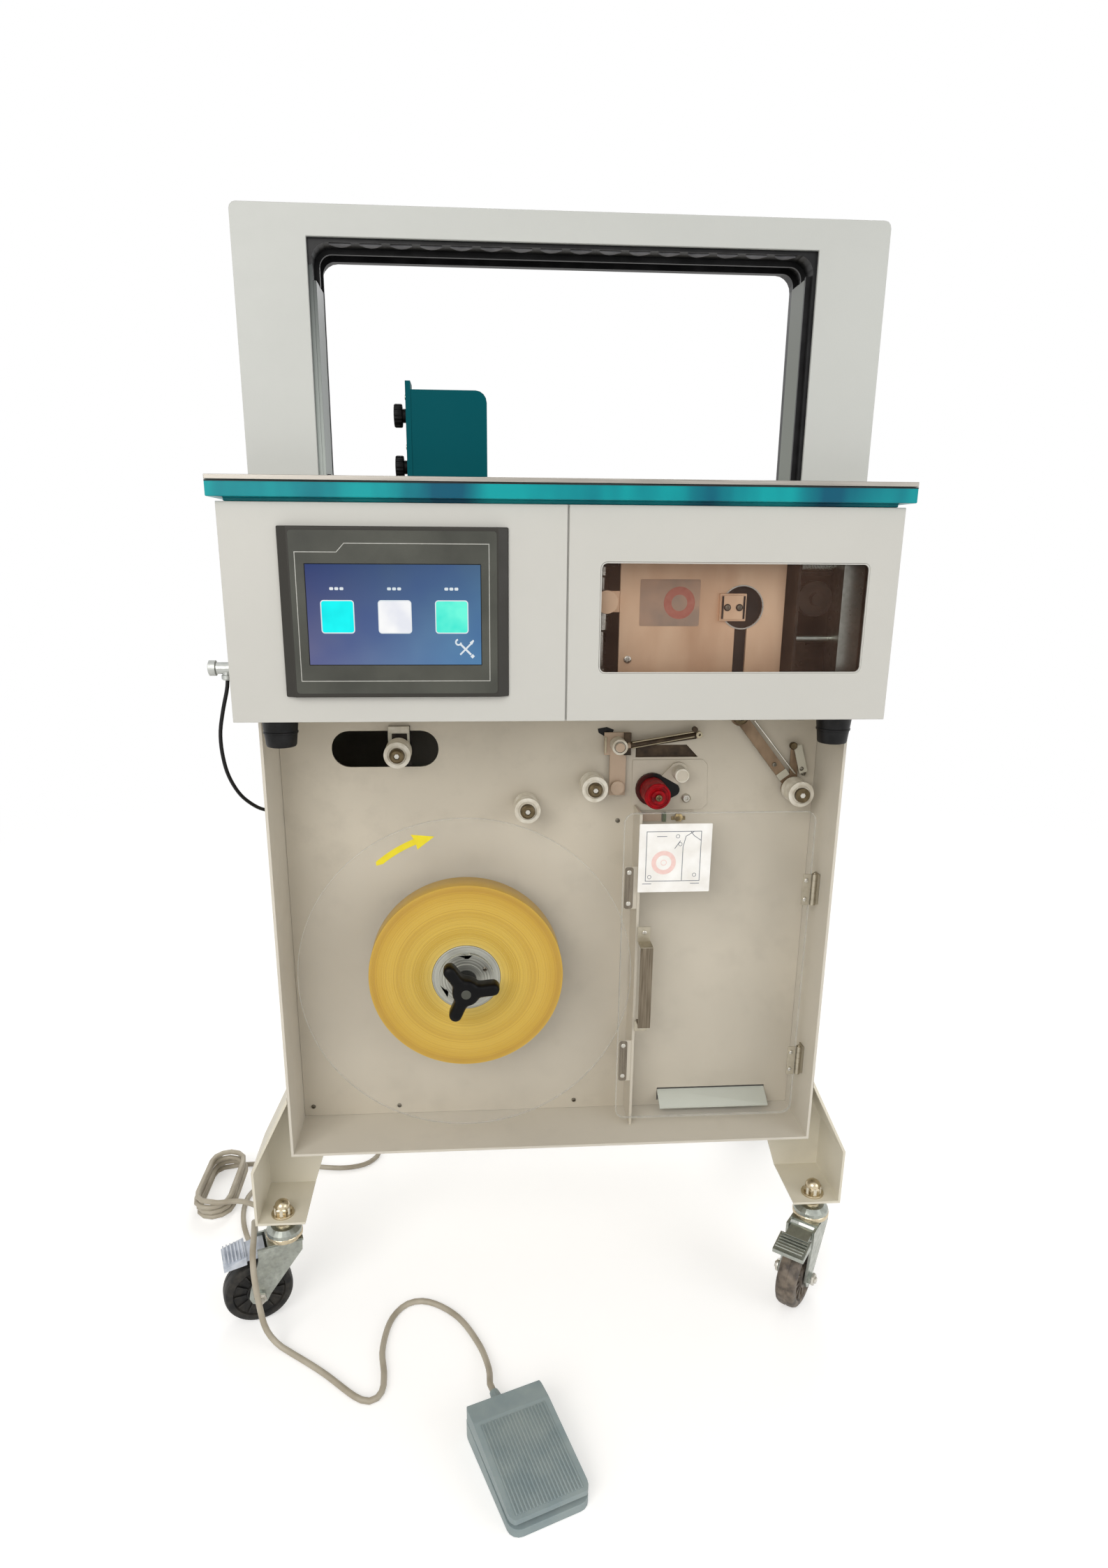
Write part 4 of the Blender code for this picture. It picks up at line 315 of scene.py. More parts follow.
def block(bm, low, high, turn=None):
    """Box between two corners, turned about the world's origin if asked."""
    corners = [Vector((x, y, z)) for z in (low[2], high[2]) for y in (low[1], high[1])
               for x in (low[0], high[0])]
    if turn is not None:
        corners = [turn @ corner for corner in corners]
    points = [bm.verts.new(corner) for corner in corners]
    for face in ((0, 2, 3, 1), (4, 5, 7, 6), (0, 1, 5, 4), (2, 6, 7, 3), (0, 4, 6, 2), (1, 3, 7, 5)):
        bm.faces.new([points[i] for i in face])


def blocks(name, corners, material, body, **more):
    """Piece of plain blocks, each between two corners placed behind the head's front face."""
    bm = bmesh.new()
    for low, high in corners:
        block(bm, at(*low), at(*high))
    made(name, bm, material, body, **more)


blocks("rear_cover", [((-COVER_HALF, COVER_FACE - 0.0015, COVER_LOW), (COVER_HALF, COVER_FACE, COVER_HIGH))],
       case_coat, "cabinet", rounded=0.0006)


def row_tree():
    """Node tree for rows of one small shape repeated along two steps."""
    tree = bpy.data.node_groups.new("shape_rows", "GeometryNodeTree")
    names = {}
    for label, kind in (("Shape", "NodeSocketObject"), ("Across", "NodeSocketInt"), ("Up", "NodeSocketInt"),
                        ("Across Step", "NodeSocketVector"), ("Up Step", "NodeSocketVector"),
                        ("Finish", "NodeSocketMaterial")):
        names[label] = tree.interface.new_socket(label, in_out="INPUT", socket_type=kind).identifier
    tree.interface.new_socket("Geometry", in_out="OUTPUT", socket_type="NodeSocketGeometry")
    enter = tree.nodes.new("NodeGroupInput")
    leave = tree.nodes.new("NodeGroupOutput")
    shape = tree.nodes.new("GeometryNodeObjectInfo")
    rows = []
    for count in ("Across", "Up"):
        line = tree.nodes.new("GeometryNodeMeshLine")
        line.mode = "OFFSET"
        tree.links.new(enter.outputs[count], line.inputs["Count"])
        tree.links.new(enter.outputs[count + " Step"], line.inputs["Offset"])
        rows.append(line)
    first = tree.nodes.new("GeometryNodeInstanceOnPoints")
    second = tree.nodes.new("GeometryNodeInstanceOnPoints")
    real = tree.nodes.new("GeometryNodeRealizeInstances")
    paint = tree.nodes.new("GeometryNodeSetMaterial")
    for a, b in ((enter.outputs["Shape"], shape.inputs["Object"]),
                 (rows[0].outputs["Mesh"], first.inputs["Points"]),
                 (shape.outputs["Geometry"], first.inputs["Instance"]),
                 (rows[1].outputs["Mesh"], second.inputs["Points"]),
                 (first.outputs["Instances"], second.inputs["Instance"]),
                 (second.outputs["Instances"], real.inputs["Geometry"]),
                 (real.outputs["Geometry"], paint.inputs["Geometry"]),
                 (enter.outputs["Finish"], paint.inputs["Material"]),
                 (paint.outputs["Geometry"], leave.inputs["Geometry"])):
        tree.links.new(a, b)
    return tree, names


ROW_TREE, ROW_INPUTS = row_tree()


def repeated(name, bm, counts, steps, material, body):
    """One mesh of a small shape repeated across and up, from where the shape stands."""
    shape = bpy.data.meshes.new(name + "_shape")
    bmesh.ops.recalc_face_normals(bm, faces=bm.faces)
    bm.to_mesh(shape)
    bm.free()
    bar = bpy.data.objects.new(name + "_shape", shape)
    holder = bpy.data.objects.new(name + "_rows", bpy.data.meshes.new(name + "_rows"))
    scene.collection.objects.link(holder)
    rows = holder.modifiers.new("rows", "NODES")
    rows.node_group = ROW_TREE
    for label, value in (("Shape", bar), ("Across", counts[0]), ("Up", counts[1]), ("Across Step", steps[0]),
                         ("Up Step", steps[1]), ("Finish", material)):
        rows[ROW_INPUTS[label]] = value
    depsgraph = bpy.context.evaluated_depsgraph_get()
    solid = bpy.data.meshes.new_from_object(holder.evaluated_get(depsgraph))
    bpy.data.objects.remove(holder, do_unlink=True)
    bpy.data.objects.remove(bar, do_unlink=True)
    solid.name = name
    solid.shade_smooth()
    solid.set_sharp_from_angle(angle=math.radians(32))
    thing = bpy.data.objects.new(name, solid)
    scene.collection.objects.link(thing)
    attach(thing, body)


black_gap, tree, shader = finish("black_gap", (0.006, 0.006, 0.006), 0.8)
relief(tree, shader, grain(tree, 0.001), 0.00003)


def sheet_shape(bm, outline, placed, thick):
    """Flat outline turned into a plate: placed(u, v, w) gives the world place of a point."""
    low = [bm.verts.new(placed(u, v, 0)) for u, v in outline]
    high = [bm.verts.new(placed(u, v, thick)) for u, v in outline]
    bm.faces.new(low)
    bm.faces.new(list(reversed(high)))
    for i in range(len(outline)):
        j = (i + 1) % len(outline)
        bm.faces.new([low[j], low[i], high[i], high[j]])


def rounded_box(left, low, right, high, radius, steps=6):
    """Rectangle outline with round corners."""
    outline = []
    for cx, cz, start in ((right - radius, low + radius, -90), (right - radius, high - radius, 0),
                          (left + radius, high - radius, 90), (left + radius, low + radius, 180)):
        for step in range(steps + 1):
            angle = math.radians(start + 90 * step / steps)
            outline.append((cx + radius * math.cos(angle), cz + radius * math.sin(angle)))
    return outline


bm = bmesh.new()
air_slot = rounded_box(-0.200, 0.600, -0.170, 0.604, 0.0019)
sheet_shape(bm, air_slot, lambda u, v, w: at(u, COVER_FACE + 0.0002 + w, v), 0.0008)
repeated("rear_air_slots", bm, (10, 8), ((0.0411, 0.0, 0.0), (0.0, 0.0, 0.011)), black_gap, "cabinet")


def zinc(name, colour, roughness=0.32, blotch=0.25):
    """Zinc plated steel: cloudy reflection and fine drawn lines."""
    material, tree, shader = finish(name, colour, roughness, 1.0)
    clouds = spread(tree, grain(tree, 0.006, 5.0, rough=0.6), 0.3, 0.75, 0, 1)
    tree.links.new(mixed(tree, clouds, scaled(colour, 1 - blotch), colour), shader.inputs["Base Color"])
    tree.links.new(spread(tree, clouds, 0, 1, roughness + 0.12, roughness - 0.06), shader.inputs["Roughness"])
    relief(tree, shader, grain(tree, 0.0012, 3.0), 0.00002, 0.6)
    return material


bright_steel = zinc("bright_screw_steel", tint(206, 202, 192), 0.26)
dark_steel = zinc("dark_bolt_steel", tint(122, 116, 104), 0.34)
AHEAD, RIGHTWARD, LEFTWARD, BACKWARD, UPWARD = (0, -1, 0), (1, 0, 0), (-1, 0, 0), (0, 1, 0), (0, 0, 1)


def screw_head(bm, radius, high, recess, deep, cross=False):
    """Head of a screw on the floor of the bmesh, pointing up: domed, with a hexagon or cross recess."""
    if cross:
        wide = recess * 0.24
        quarter = [(recess, wide), (wide, wide), (wide, recess)]
        socket = []
        for turn in range(4):
            for x, y in quarter:
                socket.append(((x, y), (-y, x), (-x, -y), (y, -x))[turn])
    else:
        socket = []
        for turn in range(6):
            a, b = math.radians(60 * turn), math.radians(60 * turn + 60)
            p, q = (math.cos(a), math.sin(a)), (math.cos(b), math.sin(b))
            for part in range(4):
                socket.append(tuple(recess * (m + (n - m) * part / 4) for m, n in zip(p, q)))
    angles = [math.atan2(y, x) for x, y in socket]
    rings = []
    for r, z in ((radius, 0), (radius, high * 0.45), (radius * 0.93, high * 0.8), (radius * 0.72, high)):
        rings.append([bm.verts.new((r * math.cos(a), r * math.sin(a), z)) for a in angles])
    rings.append([bm.verts.new((x, y, high)) for x, y in socket])
    rings.append([bm.verts.new((x * 0.92, y * 0.92, high - deep)) for x, y in socket])
    for low, top in zip(rings, rings[1:]):
        for i in range(len(angles)):
            j = (i + 1) % len(angles)
            bm.faces.new([low[i], low[j], top[j], top[i]])
    bm.faces.new(list(reversed(rings[0])))
    bm.faces.new(rings[-1])


heads = {}
for name, size in (("pan", (0.0038, 0.0022, 0.0021, 0.0014, True)),
                   ("socket", (0.0050, 0.0042, 0.0026, 0.0026, False)),
                   ("stud", (0.0081, 0.0062, 0.0036, 0.0014, False)),
                   ("small_pan", (0.0026, 0.0016, 0.0015, 0.0010, True))):
    bm = bmesh.new()
    screw_head(bm, *size)
    bmesh.ops.recalc_face_normals(bm, faces=bm.faces)
    mesh = bpy.data.meshes.new("head_" + name)
    bm.to_mesh(mesh)
    bm.free()
    heads[name] = bpy.data.objects.new("head_" + name, mesh)


def screw_tree():
    """Node tree that sets a head on each point, aimed along the point's own direction."""
    tree = bpy.data.node_groups.new("screw_rows", "GeometryNodeTree")
    tree.interface.new_socket("Geometry", in_out="INPUT", socket_type="NodeSocketGeometry")
    head = tree.interface.new_socket("Head", in_out="INPUT", socket_type="NodeSocketObject")
    metal = tree.interface.new_socket("Metal", in_out="INPUT", socket_type="NodeSocketMaterial")
    seed = tree.interface.new_socket("Seed", in_out="INPUT", socket_type="NodeSocketInt")
    tree.interface.new_socket("Geometry", in_out="OUTPUT", socket_type="NodeSocketGeometry")
    enter = tree.nodes.new("NodeGroupInput")
    leave = tree.nodes.new("NodeGroupOutput")
    shape = tree.nodes.new("GeometryNodeObjectInfo")
    aim = tree.nodes.new("GeometryNodeInputNamedAttribute")
    aim.data_type = "FLOAT_VECTOR"
    aim.inputs["Name"].default_value = "aim"
    point = tree.nodes.new("FunctionNodeAlignRotationToVector")
    point.axis = "Z"
    dice = tree.nodes.new("FunctionNodeRandomValue")
    dice.data_type = "FLOAT"
    dice.inputs[2].default_value = 0
    dice.inputs[3].default_value = 6.283
    about = tree.nodes.new("FunctionNodeAxisAngleToRotation")
    about.inputs["Axis"].default_value = (0, 0, 1)
    turn = tree.nodes.new("FunctionNodeRotateRotation")
    turn.rotation_space = "LOCAL"
    put = tree.nodes.new("GeometryNodeInstanceOnPoints")
    real = tree.nodes.new("GeometryNodeRealizeInstances")
    paint = tree.nodes.new("GeometryNodeSetMaterial")
    for a, b in ((enter.outputs["Geometry"], put.inputs["Points"]),
                 (enter.outputs["Head"], shape.inputs["Object"]),
                 (shape.outputs["Geometry"], put.inputs["Instance"]),
                 (aim.outputs["Attribute"], point.inputs["Vector"]),
                 (enter.outputs["Seed"], dice.inputs["Seed"]), (dice.outputs[1], about.inputs["Angle"]),
                 (point.outputs["Rotation"], turn.inputs["Rotation"]),
                 (about.outputs["Rotation"], turn.inputs["Rotate By"]),
                 (turn.outputs["Rotation"], put.inputs["Rotation"]),
                 (put.outputs["Instances"], real.inputs["Geometry"]),
                 (real.outputs["Geometry"], paint.inputs["Geometry"]),
                 (enter.outputs["Metal"], paint.inputs["Material"]),
                 (paint.outputs["Geometry"], leave.inputs["Geometry"])):
        tree.links.new(a, b)
    return tree, head.identifier, metal.identifier, seed.identifier


SCREW_TREE, HEAD_INPUT, METAL_INPUT, SEED_INPUT = screw_tree()


def screws(name, head, material, body, places, seed=1):
    """One mesh of screw heads, each given as a place and the way it points."""
    mesh = bpy.data.meshes.new(name)
    mesh.from_pydata([tuple(place) for place, way in places], [], [])
    aims = mesh.attributes.new("aim", "FLOAT_VECTOR", "POINT")
    for i, (place, way) in enumerate(places):
        aims.data[i].vector = way
    holder = bpy.data.objects.new(name + "_points", mesh)
    scene.collection.objects.link(holder)
    rows = holder.modifiers.new("rows", "NODES")
    rows.node_group = SCREW_TREE
    rows[HEAD_INPUT] = heads[head]
    rows[METAL_INPUT] = material
    rows[SEED_INPUT] = seed
    depsgraph = bpy.context.evaluated_depsgraph_get()
    solid = bpy.data.meshes.new_from_object(holder.evaluated_get(depsgraph))
    bpy.data.objects.remove(holder, do_unlink=True)
    solid.name = name
    solid.shade_smooth()
    solid.set_sharp_from_angle(angle=math.radians(32))
    thing = bpy.data.objects.new(name, solid)
    scene.collection.objects.link(thing)
    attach(thing, body)


screws("rear_cover_screws", "pan", bright_steel, "cabinet",
       [(at(x, COVER_FACE, z), BACKWARD) for x in (-0.252, 0, 0.252)
        for z in (COVER_LOW + 0.010, (COVER_LOW + COVER_HIGH) / 2, COVER_HIGH - 0.010)], 3)
screws("head_rear_screws", "pan", bright_steel, "cabinet",
       [(at(x, 0.4550, z), BACKWARD) for x in (-0.295, -0.1, 0.1, 0.295) for z in (0.741, 0.907)], 4)
screws("side_screws", "pan", bright_steel, "cabinet",
       [(at(side * 0.300, y, z), (side, 0, 0)) for side in (-1, 1) for y in (0.100, 0.256, 0.412)
        for z in (0.700, 0.320)], 5)

# Caster nuts: on each leg's foot plate a domed M12 cap nut with its washer, nickel plated, holds
# the caster's stem.
CASTERS = {"front_left": (-0.3185, 0.080, 199), "front_right": (0.3185, 0.080, 231),
           "rear_left": (-0.3185, 0.432, 180), "rear_right": (0.3185, 0.432, 0)}
NUT_FOOT, NUT_R, DOME_R = 0.132, 0.0108, 0.0089


def lathe(bm, profile, foot, axis, sides=64, closed=False):
    """Turned shape: radius and height pairs, height along the axis from the foot."""
    foot = Vector(foot)
    turn = Vector((0, 0, 1)).rotation_difference(Vector(axis)).to_matrix()
    rings = []
    for radius, height in profile:
        if radius < 1e-6:
            rings.append([bm.verts.new(foot + turn @ Vector((0, 0, height)))])
            continue
        angles = [2 * math.pi * i / sides for i in range(sides)]
        rings.append([bm.verts.new(foot + turn @ Vector((
            radius * math.cos(a), radius * math.sin(a), height))) for a in angles])
    pairs = list(zip(rings, rings[1:]))
    if closed:
        pairs.append((rings[-1], rings[0]))
    for low, high in pairs:
        for i in range(sides):
            j = (i + 1) % sides
            corners = [low[i % len(low)], low[j % len(low)], high[j % len(high)], high[i % len(high)]]
            corners = list(dict.fromkeys(corners))
            if len(corners) > 2:
                bm.faces.new(corners)


nickel = zinc("nickel_plate", tint(206, 192, 164), 0.20, 0.18)
bm = bmesh.new()
for nut_x, nut_y, trail in CASTERS.values():
    foot = at(nut_x, nut_y, NUT_FOOT)
    lathe(bm, [(0, -0.0001), (0.0133, -0.0001), (0.0135, 0.0011), (0.0130, 0.0023), (0, 0.0023)], foot,
          UPWARD, 48)
    hexagon = []
    for share, z in ((0.94, 0.0022), (1.0, 0.0030), (1.0, 0.0095), (0.9, 0.0106)):
        hexagon.append((NUT_R * share, z))
    lathe(bm, [(0, 0.0022)] + hexagon + [(0, 0.0106)], foot, UPWARD, 6)
    dome = [(DOME_R, 0.0100)]
    for step in range(1, 9):
        angle = math.radians(90 * step / 8)
        dome.append((DOME_R * math.cos(angle) if step < 8 else 0, 0.0112 + 0.0075 * math.sin(angle)))
    lathe(bm, [(0, 0.0100)] + dome, foot, UPWARD, 32)
made("cap_nuts", bm, nickel, "cabinet", smooth=40)

# Casters: pressed and zinc plated forks that swivel under the legs, black wheels on hex axles,
# the two front ones with a moulded brake pedal over the tread.
TRAIL, WHEEL_R, FORK_HALF = 0.035, 0.040, 0.0206
fork_zinc = zinc("fork_zinc", tint(176, 180, 172), 0.30, 0.3)
forks = ["fork_" + corner for corner in CORNERS]
dress(fork_zinc, *forks)
ease(0.0007, *forks)


def mottled(name, colour, tones, roughness, metallic, shine, patch, edge=(0.3, 0.7), skin=None):
    """Material that drifts between two tones over patches of a size and detail, with a fine skin."""
    material, tree, shader = finish(name, colour, roughness, metallic, shine)
    share = spread(tree, grain(tree, *patch), *edge, 0, 1)
    tree.links.new(mixed(tree, share, *tones), shader.inputs["Base Color"])
    if skin:
        relief(tree, shader, grain(tree, *skin[:-1]), skin[-1])
    return material, tree, shader


black_tread, tree, shader = mottled("black_wheel_rubber", tint(20, 20, 20),
                                    (tint(17, 17, 17), tint(56, 53, 48)), 0.5, 0.0, 0.3, (0.012, 5.0),
                                    (0.42, 0.72), skin=(0.0012, 3.0, 0.00012))
brown_tread, tree, shader = mottled("worn_wheel_rubber", tint(96, 86, 76),
                                    (tint(70, 62, 55), tint(128, 116, 102)), 0.55, 0.0, 0.5, (0.010, 5.0),
                                    (0.36, 0.68), skin=(0.0012, 3.0, 0.00014))
pale_plastic, tree, shader = mottled("pale_blue_pedal_plastic", tint(206, 213, 224),
                                     (tint(212, 218, 228), tint(168, 176, 188)), 0.42, 0.0, 0.5, (0.014, 4.0),
                                     (0.4, 0.75))
shader.inputs["Subsurface Weight"].default_value = 0.05
shader.inputs["Subsurface Radius"].default_value = (0.002, 0.002, 0.002)
relief(tree, shader, grain(tree, 0.0008), 0.00003)
for place, (x, y, trail) in CASTERS.items():
    tread = brown_tread if place == "front_right" else black_tread
    stand = Matrix.Translation(at(x, y, 0)) @ Matrix.Rotation(math.radians(trail), 4, "Z")
    axle = stand @ Vector((TRAIL, 0, WHEEL_R))
    spin = (stand.to_3x3() @ Vector((0, 1, 0))).normalized()
    half = [(0.0047, 0.0124), (0.0060, 0.0125), (0.0134, 0.0125), (0.0142, 0.0119), (0.0150, 0.0092),
            (0.0168, 0.0086), (0.0272, 0.0086), (0.0290, 0.0094), (0.0302, 0.0118), (0.0320, 0.0122),
            (0.0352, 0.0119), (0.0380, 0.0104), (0.0394, 0.0080), (0.0399, 0.0052), (0.0400, 0.0016),
            (0.0396, 0.0010)]
    profile = half + [(radius, -along) for radius, along in reversed(half)]
    bm = bmesh.new()
    lathe(bm, profile, axle, spin, 72, closed=True)
    for turn in range(12):
        angle = math.radians(30 * turn)
        for side in (-1, 1):
            rib = stand @ Matrix.Translation((TRAIL, 0, WHEEL_R)) @ Matrix.Rotation(angle, 4, "Y")
            block(bm, (0.0146, side * 0.0098 - 0.0011, -0.0010), (0.0286, side * 0.0098 + 0.0006, 0.0010),
                  rib)
    made("tyre_" + place, bm, tread, "wheel_" + place, ["wheel_" + place], smooth=30)
    race = [(0, -0.0004), (0.0190, -0.0004), (0.0212, 0.0006), (0.0216, 0.0042), (0.0206, 0.0062),
            (0.0150, 0.0094), (0.0110, 0.0104), (0.0104, 0.0180), (0.0092, 0.0190), (0.0092, 0.0248),
            (0, 0.0248)]
    bm = bmesh.new()
    lathe(bm, race, stand @ Vector((0, 0, 0.1036)), UPWARD, 56)
    made("swivel_race_" + place, bm, nickel, "caster_" + place, smooth=40)
    bm = bmesh.new()
    for side in (-1, 1):
        foot = stand @ Vector((TRAIL, side * FORK_HALF, WHEEL_R))
        lathe(bm, [(0, 0), (0.0076, 0), (0.0078, 0.0012), (0.0074, 0.0030), (0.0050, 0.0036),
                   (0.0042, 0.0036), (0.0040, 0.0052), (0, 0.0054)], foot, spin * side, 6 if side > 0 else 32)
    made("axle_ends_" + place, bm, bright_steel, "caster_" + place, smooth=30)
dress(pale_plastic, "brake_front_left")
dress(fork_zinc, "brake_front_right")
ease(0.0012, "brake_front_left", "brake_front_right", segments=3)
for place, material in (("front_left", pale_plastic), ("front_right", fork_zinc)):
    x, y, trail = CASTERS[place]
    stand = Matrix.Translation(at(x, y, 0)) @ Matrix.Rotation(math.radians(trail), 4, "Z")
    bm = bmesh.new()
    for i in range(6):
        u = 0.0480 + 0.0042 * i
        z = 0.0986 - (u - 0.046) * 0.158
        block(bm, (u, -0.0165, z - 0.0010), (u + 0.0016, 0.0165, z + 0.0007), stand)
    made("brake_ribs_" + place.removeprefix("front_"), bm, material, "brake_" + place, rounded=0.0003)

# Head box of 2 mm sheet, white with a warm cast. Its left front is fixed, its right front is a
# door hinged at the right edge, with a window cut in it. Two tapered rubber feet hang below.
WINDOW_LEFT, WINDOW_RIGHT, WINDOW_LOW, WINDOW_HIGH, WINDOW_LIP = 0.0302, 0.2808, 0.7717, 0.8718, 0.0010
head_coat = powder("head_powder_coat", tint(195, 194, 188), 0.42, 0.025, 0.00005)
dress(head_coat, "head_shell", "front_panel", "window_door")
ease(0.0007, "head_shell", "front_panel", "window_door")
smoked, tree, shader = finish("smoked_window", tint(78, 56, 44), 0.06, 0.0, 0.25)
shader.inputs["Alpha"].default_value = 0.16
tree.links.new(mixed(tree, spread(tree, grain(tree, 0.05, 4.0), 0.3, 0.8, 0, 1), tint(66, 46, 36),
                     tint(118, 90, 74)), shader.inputs["Base Color"])
dress(smoked, "window_pane")


def ring_shape(bm, outer, inner, placed, thick):
    """Flat frame between two outlines with as many points, turned into a plate."""
    count = len(outer)
    rings = [[bm.verts.new(placed(u, v, w)) for u, v in line] for line, w in (
        (outer, 0), (inner, 0), (inner, thick), (outer, thick))]
    for a, b in zip(rings, rings[1:] + rings[:1]):
        for i in range(count):
            j = (i + 1) % count
            bm.faces.new([a[i], a[j], b[j], b[i]])


def ribbon(bm, path, wide, placed, thick, closed=False):
    """Flat line of a given width along a path, with mitred corners."""
    count = len(path)
    left, right = [], []
    for i, here in enumerate(path):
        here = Vector(here)
        before = Vector(path[i - 1]) if i or closed else here * 2 - Vector(path[1])
        after = Vector(path[(i + 1) % count]) if i < count - 1 or closed else here * 2 - Vector(path[i - 1])
        into, out_of = (here - before).normalized(), (after - here).normalized()
        side = Vector((-into.y - out_of.y, into.x + out_of.x)).normalized()
        side *= wide / 2 / max(0.4, side.dot(Vector((-into.y, into.x))))
        left.append(tuple(here + side))
        right.append(tuple(here - side))
    if closed:
        ring_shape(bm, left, right, placed, thick)
    else:
        sheet_shape(bm, left + right[::-1], placed, thick)


def on_face(behind):
    """Places flat art on an upright face that looks forward, rising towards the front."""
    return lambda u, v, w: at(u, behind - w, v)


def arc(middle, radius, start, end, steps=24):
    return [(middle[0] + radius * math.cos(math.radians(start + (end - start) * i / steps)),
             middle[1] + radius * math.sin(math.radians(start + (end - start) * i / steps)))
            for i in range(steps + 1)]


bm = bmesh.new()
ring_shape(bm, rounded_box(WINDOW_LEFT, WINDOW_LOW, WINDOW_RIGHT, WINDOW_HIGH, 0.0058),
           rounded_box(WINDOW_LEFT + WINDOW_LIP, WINDOW_LOW + WINDOW_LIP, WINDOW_RIGHT - WINDOW_LIP,
                       WINDOW_HIGH - WINDOW_LIP, 0.0050), on_face(0.0019), 0.0017)
made("window_edge", bm, head_coat, "window_door", smooth=40)
rubber, tree, shader = mottled("black_rubber", tint(8, 8, 9), (tint(8, 8, 9), tint(26, 26, 27)), 0.42, 0.0,
                               0.2, (0.01, 4.0), (0.35, 0.75), skin=(0.0009, 3.0, 0.0001))
for side, label in ((-1, "left"), (1, "right")):
    bm = bmesh.new()
    lathe(bm, [(0, 0), (0.0120, 0), (0.0138, 0.0006), (0.0146, 0.0022), (0.0158, 0.0130), (0.0166, 0.0134),
               (0.0168, 0.0150), (0.0162, 0.0156), (0.0172, 0.0250), (0.0180, 0.0266), (0.0180, 0.0286),
               (0, 0.0286)], at(side * 0.273, 0.035, 0.698), UPWARD, 56)
    made("bumper_" + label, bm, rubber, "cabinet", ["rubber_foot_" + label], smooth=40)

# Behind the window: a bare steel sealing unit on a foot, its plate cut with a keyhole that shows
# the square punch block, a guide wheel at the left and the dark film drive at the right.
PLATE_FACE, UNIT_FOOT, PUNCH_X, PUNCH_Z, PUNCH_REACH = 0.0449, 0.7305, 0.165, 0.830, 0.0059
KEYHOLE_X, KEYHOLE_R = 0.175, 0.0205
peach, tree, shader = finish("sealing_unit_steel", tint(238, 214, 190), 0.42, 0.35)
smears = spread(tree, grain(tree, 0.05, 5.0, (1, 1, 0.3)), 0.3, 0.7, 0, 1)
tree.links.new(mixed(tree, smears, tint(214, 172, 138), tint(252, 216, 182)), shader.inputs["Base Color"])
tree.links.new(spread(tree, grain(tree, 0.02, 3.0), 0.3, 0.7, 0.34, 0.52), shader.inputs["Roughness"])
relief(tree, shader, grain(tree, 0.0008, 2.0, (0.05, 1, 1)), 0.00002)
dress(peach, "sealing_unit")
ease(0.0004, "sealing_unit")
plate_places = ((0.064, 0.896), (0.064, 0.780), (0.207, 0.896), (0.120, 0.896))
screws("sealing_unit_screws", "pan", bright_steel, "cabinet",
       [(at(x, PLATE_FACE, z), AHEAD) for x, z in plate_places], 7)


def cut_sheet(name, outline, placed, thick, material, body, **more):
    """Piece of one flat outline."""
    bm = bmesh.new()
    sheet_shape(bm, outline, placed, thick)
    made(name, bm, material, body, **more)


cut_sheet("punch_block_face", rounded_box(PUNCH_X - 0.0115, PUNCH_Z - 0.0115, PUNCH_X + 0.0115,
                                          PUNCH_Z + 0.0115, 0.002), on_face(0.0409), 0.0012, peach, "cabinet",
          rounded=0.0004)
bm = bmesh.new()
for x in (PUNCH_X - 0.0105, PUNCH_X + 0.0105):
    block(bm, at(x - 0.0009, 0.0391, PUNCH_Z - 0.0108), at(x + 0.0009, 0.0398, PUNCH_Z + 0.0108))
made("punch_block_clips", bm, black_gap, "cabinet")
blocks("keyhole_backing", [((0.1460, 0.0500, 0.7350), (0.2040, 0.0510, 0.8580))], black_gap, "cabinet")
plate_print, tree, shader = mottled("faded_plate_label", tint(196, 164, 142),
                                    (tint(206, 172, 148), tint(178, 156, 140)), 0.6, 0.0, 0.2, (0.02, 4.0))
cut_sheet("plate_label", rounded_box(0.0745, 0.8120, 0.1330, 0.8560, 0.0015), on_face(PLATE_FACE), 0.0002,
          plate_print, "cabinet")
label_ring, tree, shader = mottled("faded_ring_print", tint(204, 120, 106),
                                   (tint(190, 106, 94), tint(214, 146, 130)), 0.6, 0.0, 0.2, (0.004, 3.0),
                                   (0, 1))


def inlaid(name, path, wide, placed, thick, material, body, closed=False, **more):
    """Piece of one flat line."""
    bm = bmesh.new()
    ribbon(bm, path, wide, placed, thick, closed)
    made(name, bm, material, body, **more)


inlaid("plate_label_ring", arc((0.1130, 0.8340), 0.0115, 0, 354, 59), 0.0075, on_face(PLATE_FACE - 0.00025),
       0.0001, label_ring, "cabinet", closed=True)
bm = bmesh.new()
for x in (PUNCH_X - PUNCH_REACH, PUNCH_X + PUNCH_REACH):
    lathe(bm, [(0, 0), (0.0034, 0), (0.0034, 0.0006), (0, 0.0006)], at(x, 0.0396, PUNCH_Z), AHEAD, 28)
made("punch_holes", bm, black_gap, "cabinet")
screws("punch_screws", "small_pan", dark_steel, "cabinet",
       [(at(x, 0.0389, PUNCH_Z), AHEAD) for x in (PUNCH_X - PUNCH_REACH, PUNCH_X + PUNCH_REACH)], 8)
inlaid("keyhole_rim", arc((KEYHOLE_X, PUNCH_Z), KEYHOLE_R, 0, 354, 59), 0.0012, on_face(PLATE_FACE), 0.0007,
       bright_steel, "cabinet", closed=True)
drive_black, tree, shader = mottled("drive_black_oxide", tint(30, 26, 23),
                                    (tint(20, 17, 15), tint(58, 50, 42)), 0.46, 0.3, 0.2, (0.012, 4.0),
                                    (0.35, 0.75), skin=(0.001, 0.00004))
bm = bmesh.new()
block(bm, at(0.2235, 0.030, UNIT_FOOT), at(0.2265, 0.150, 0.905))
block(bm, at(0.2265, 0.060, 0.860), at(0.300, 0.064, 0.900))
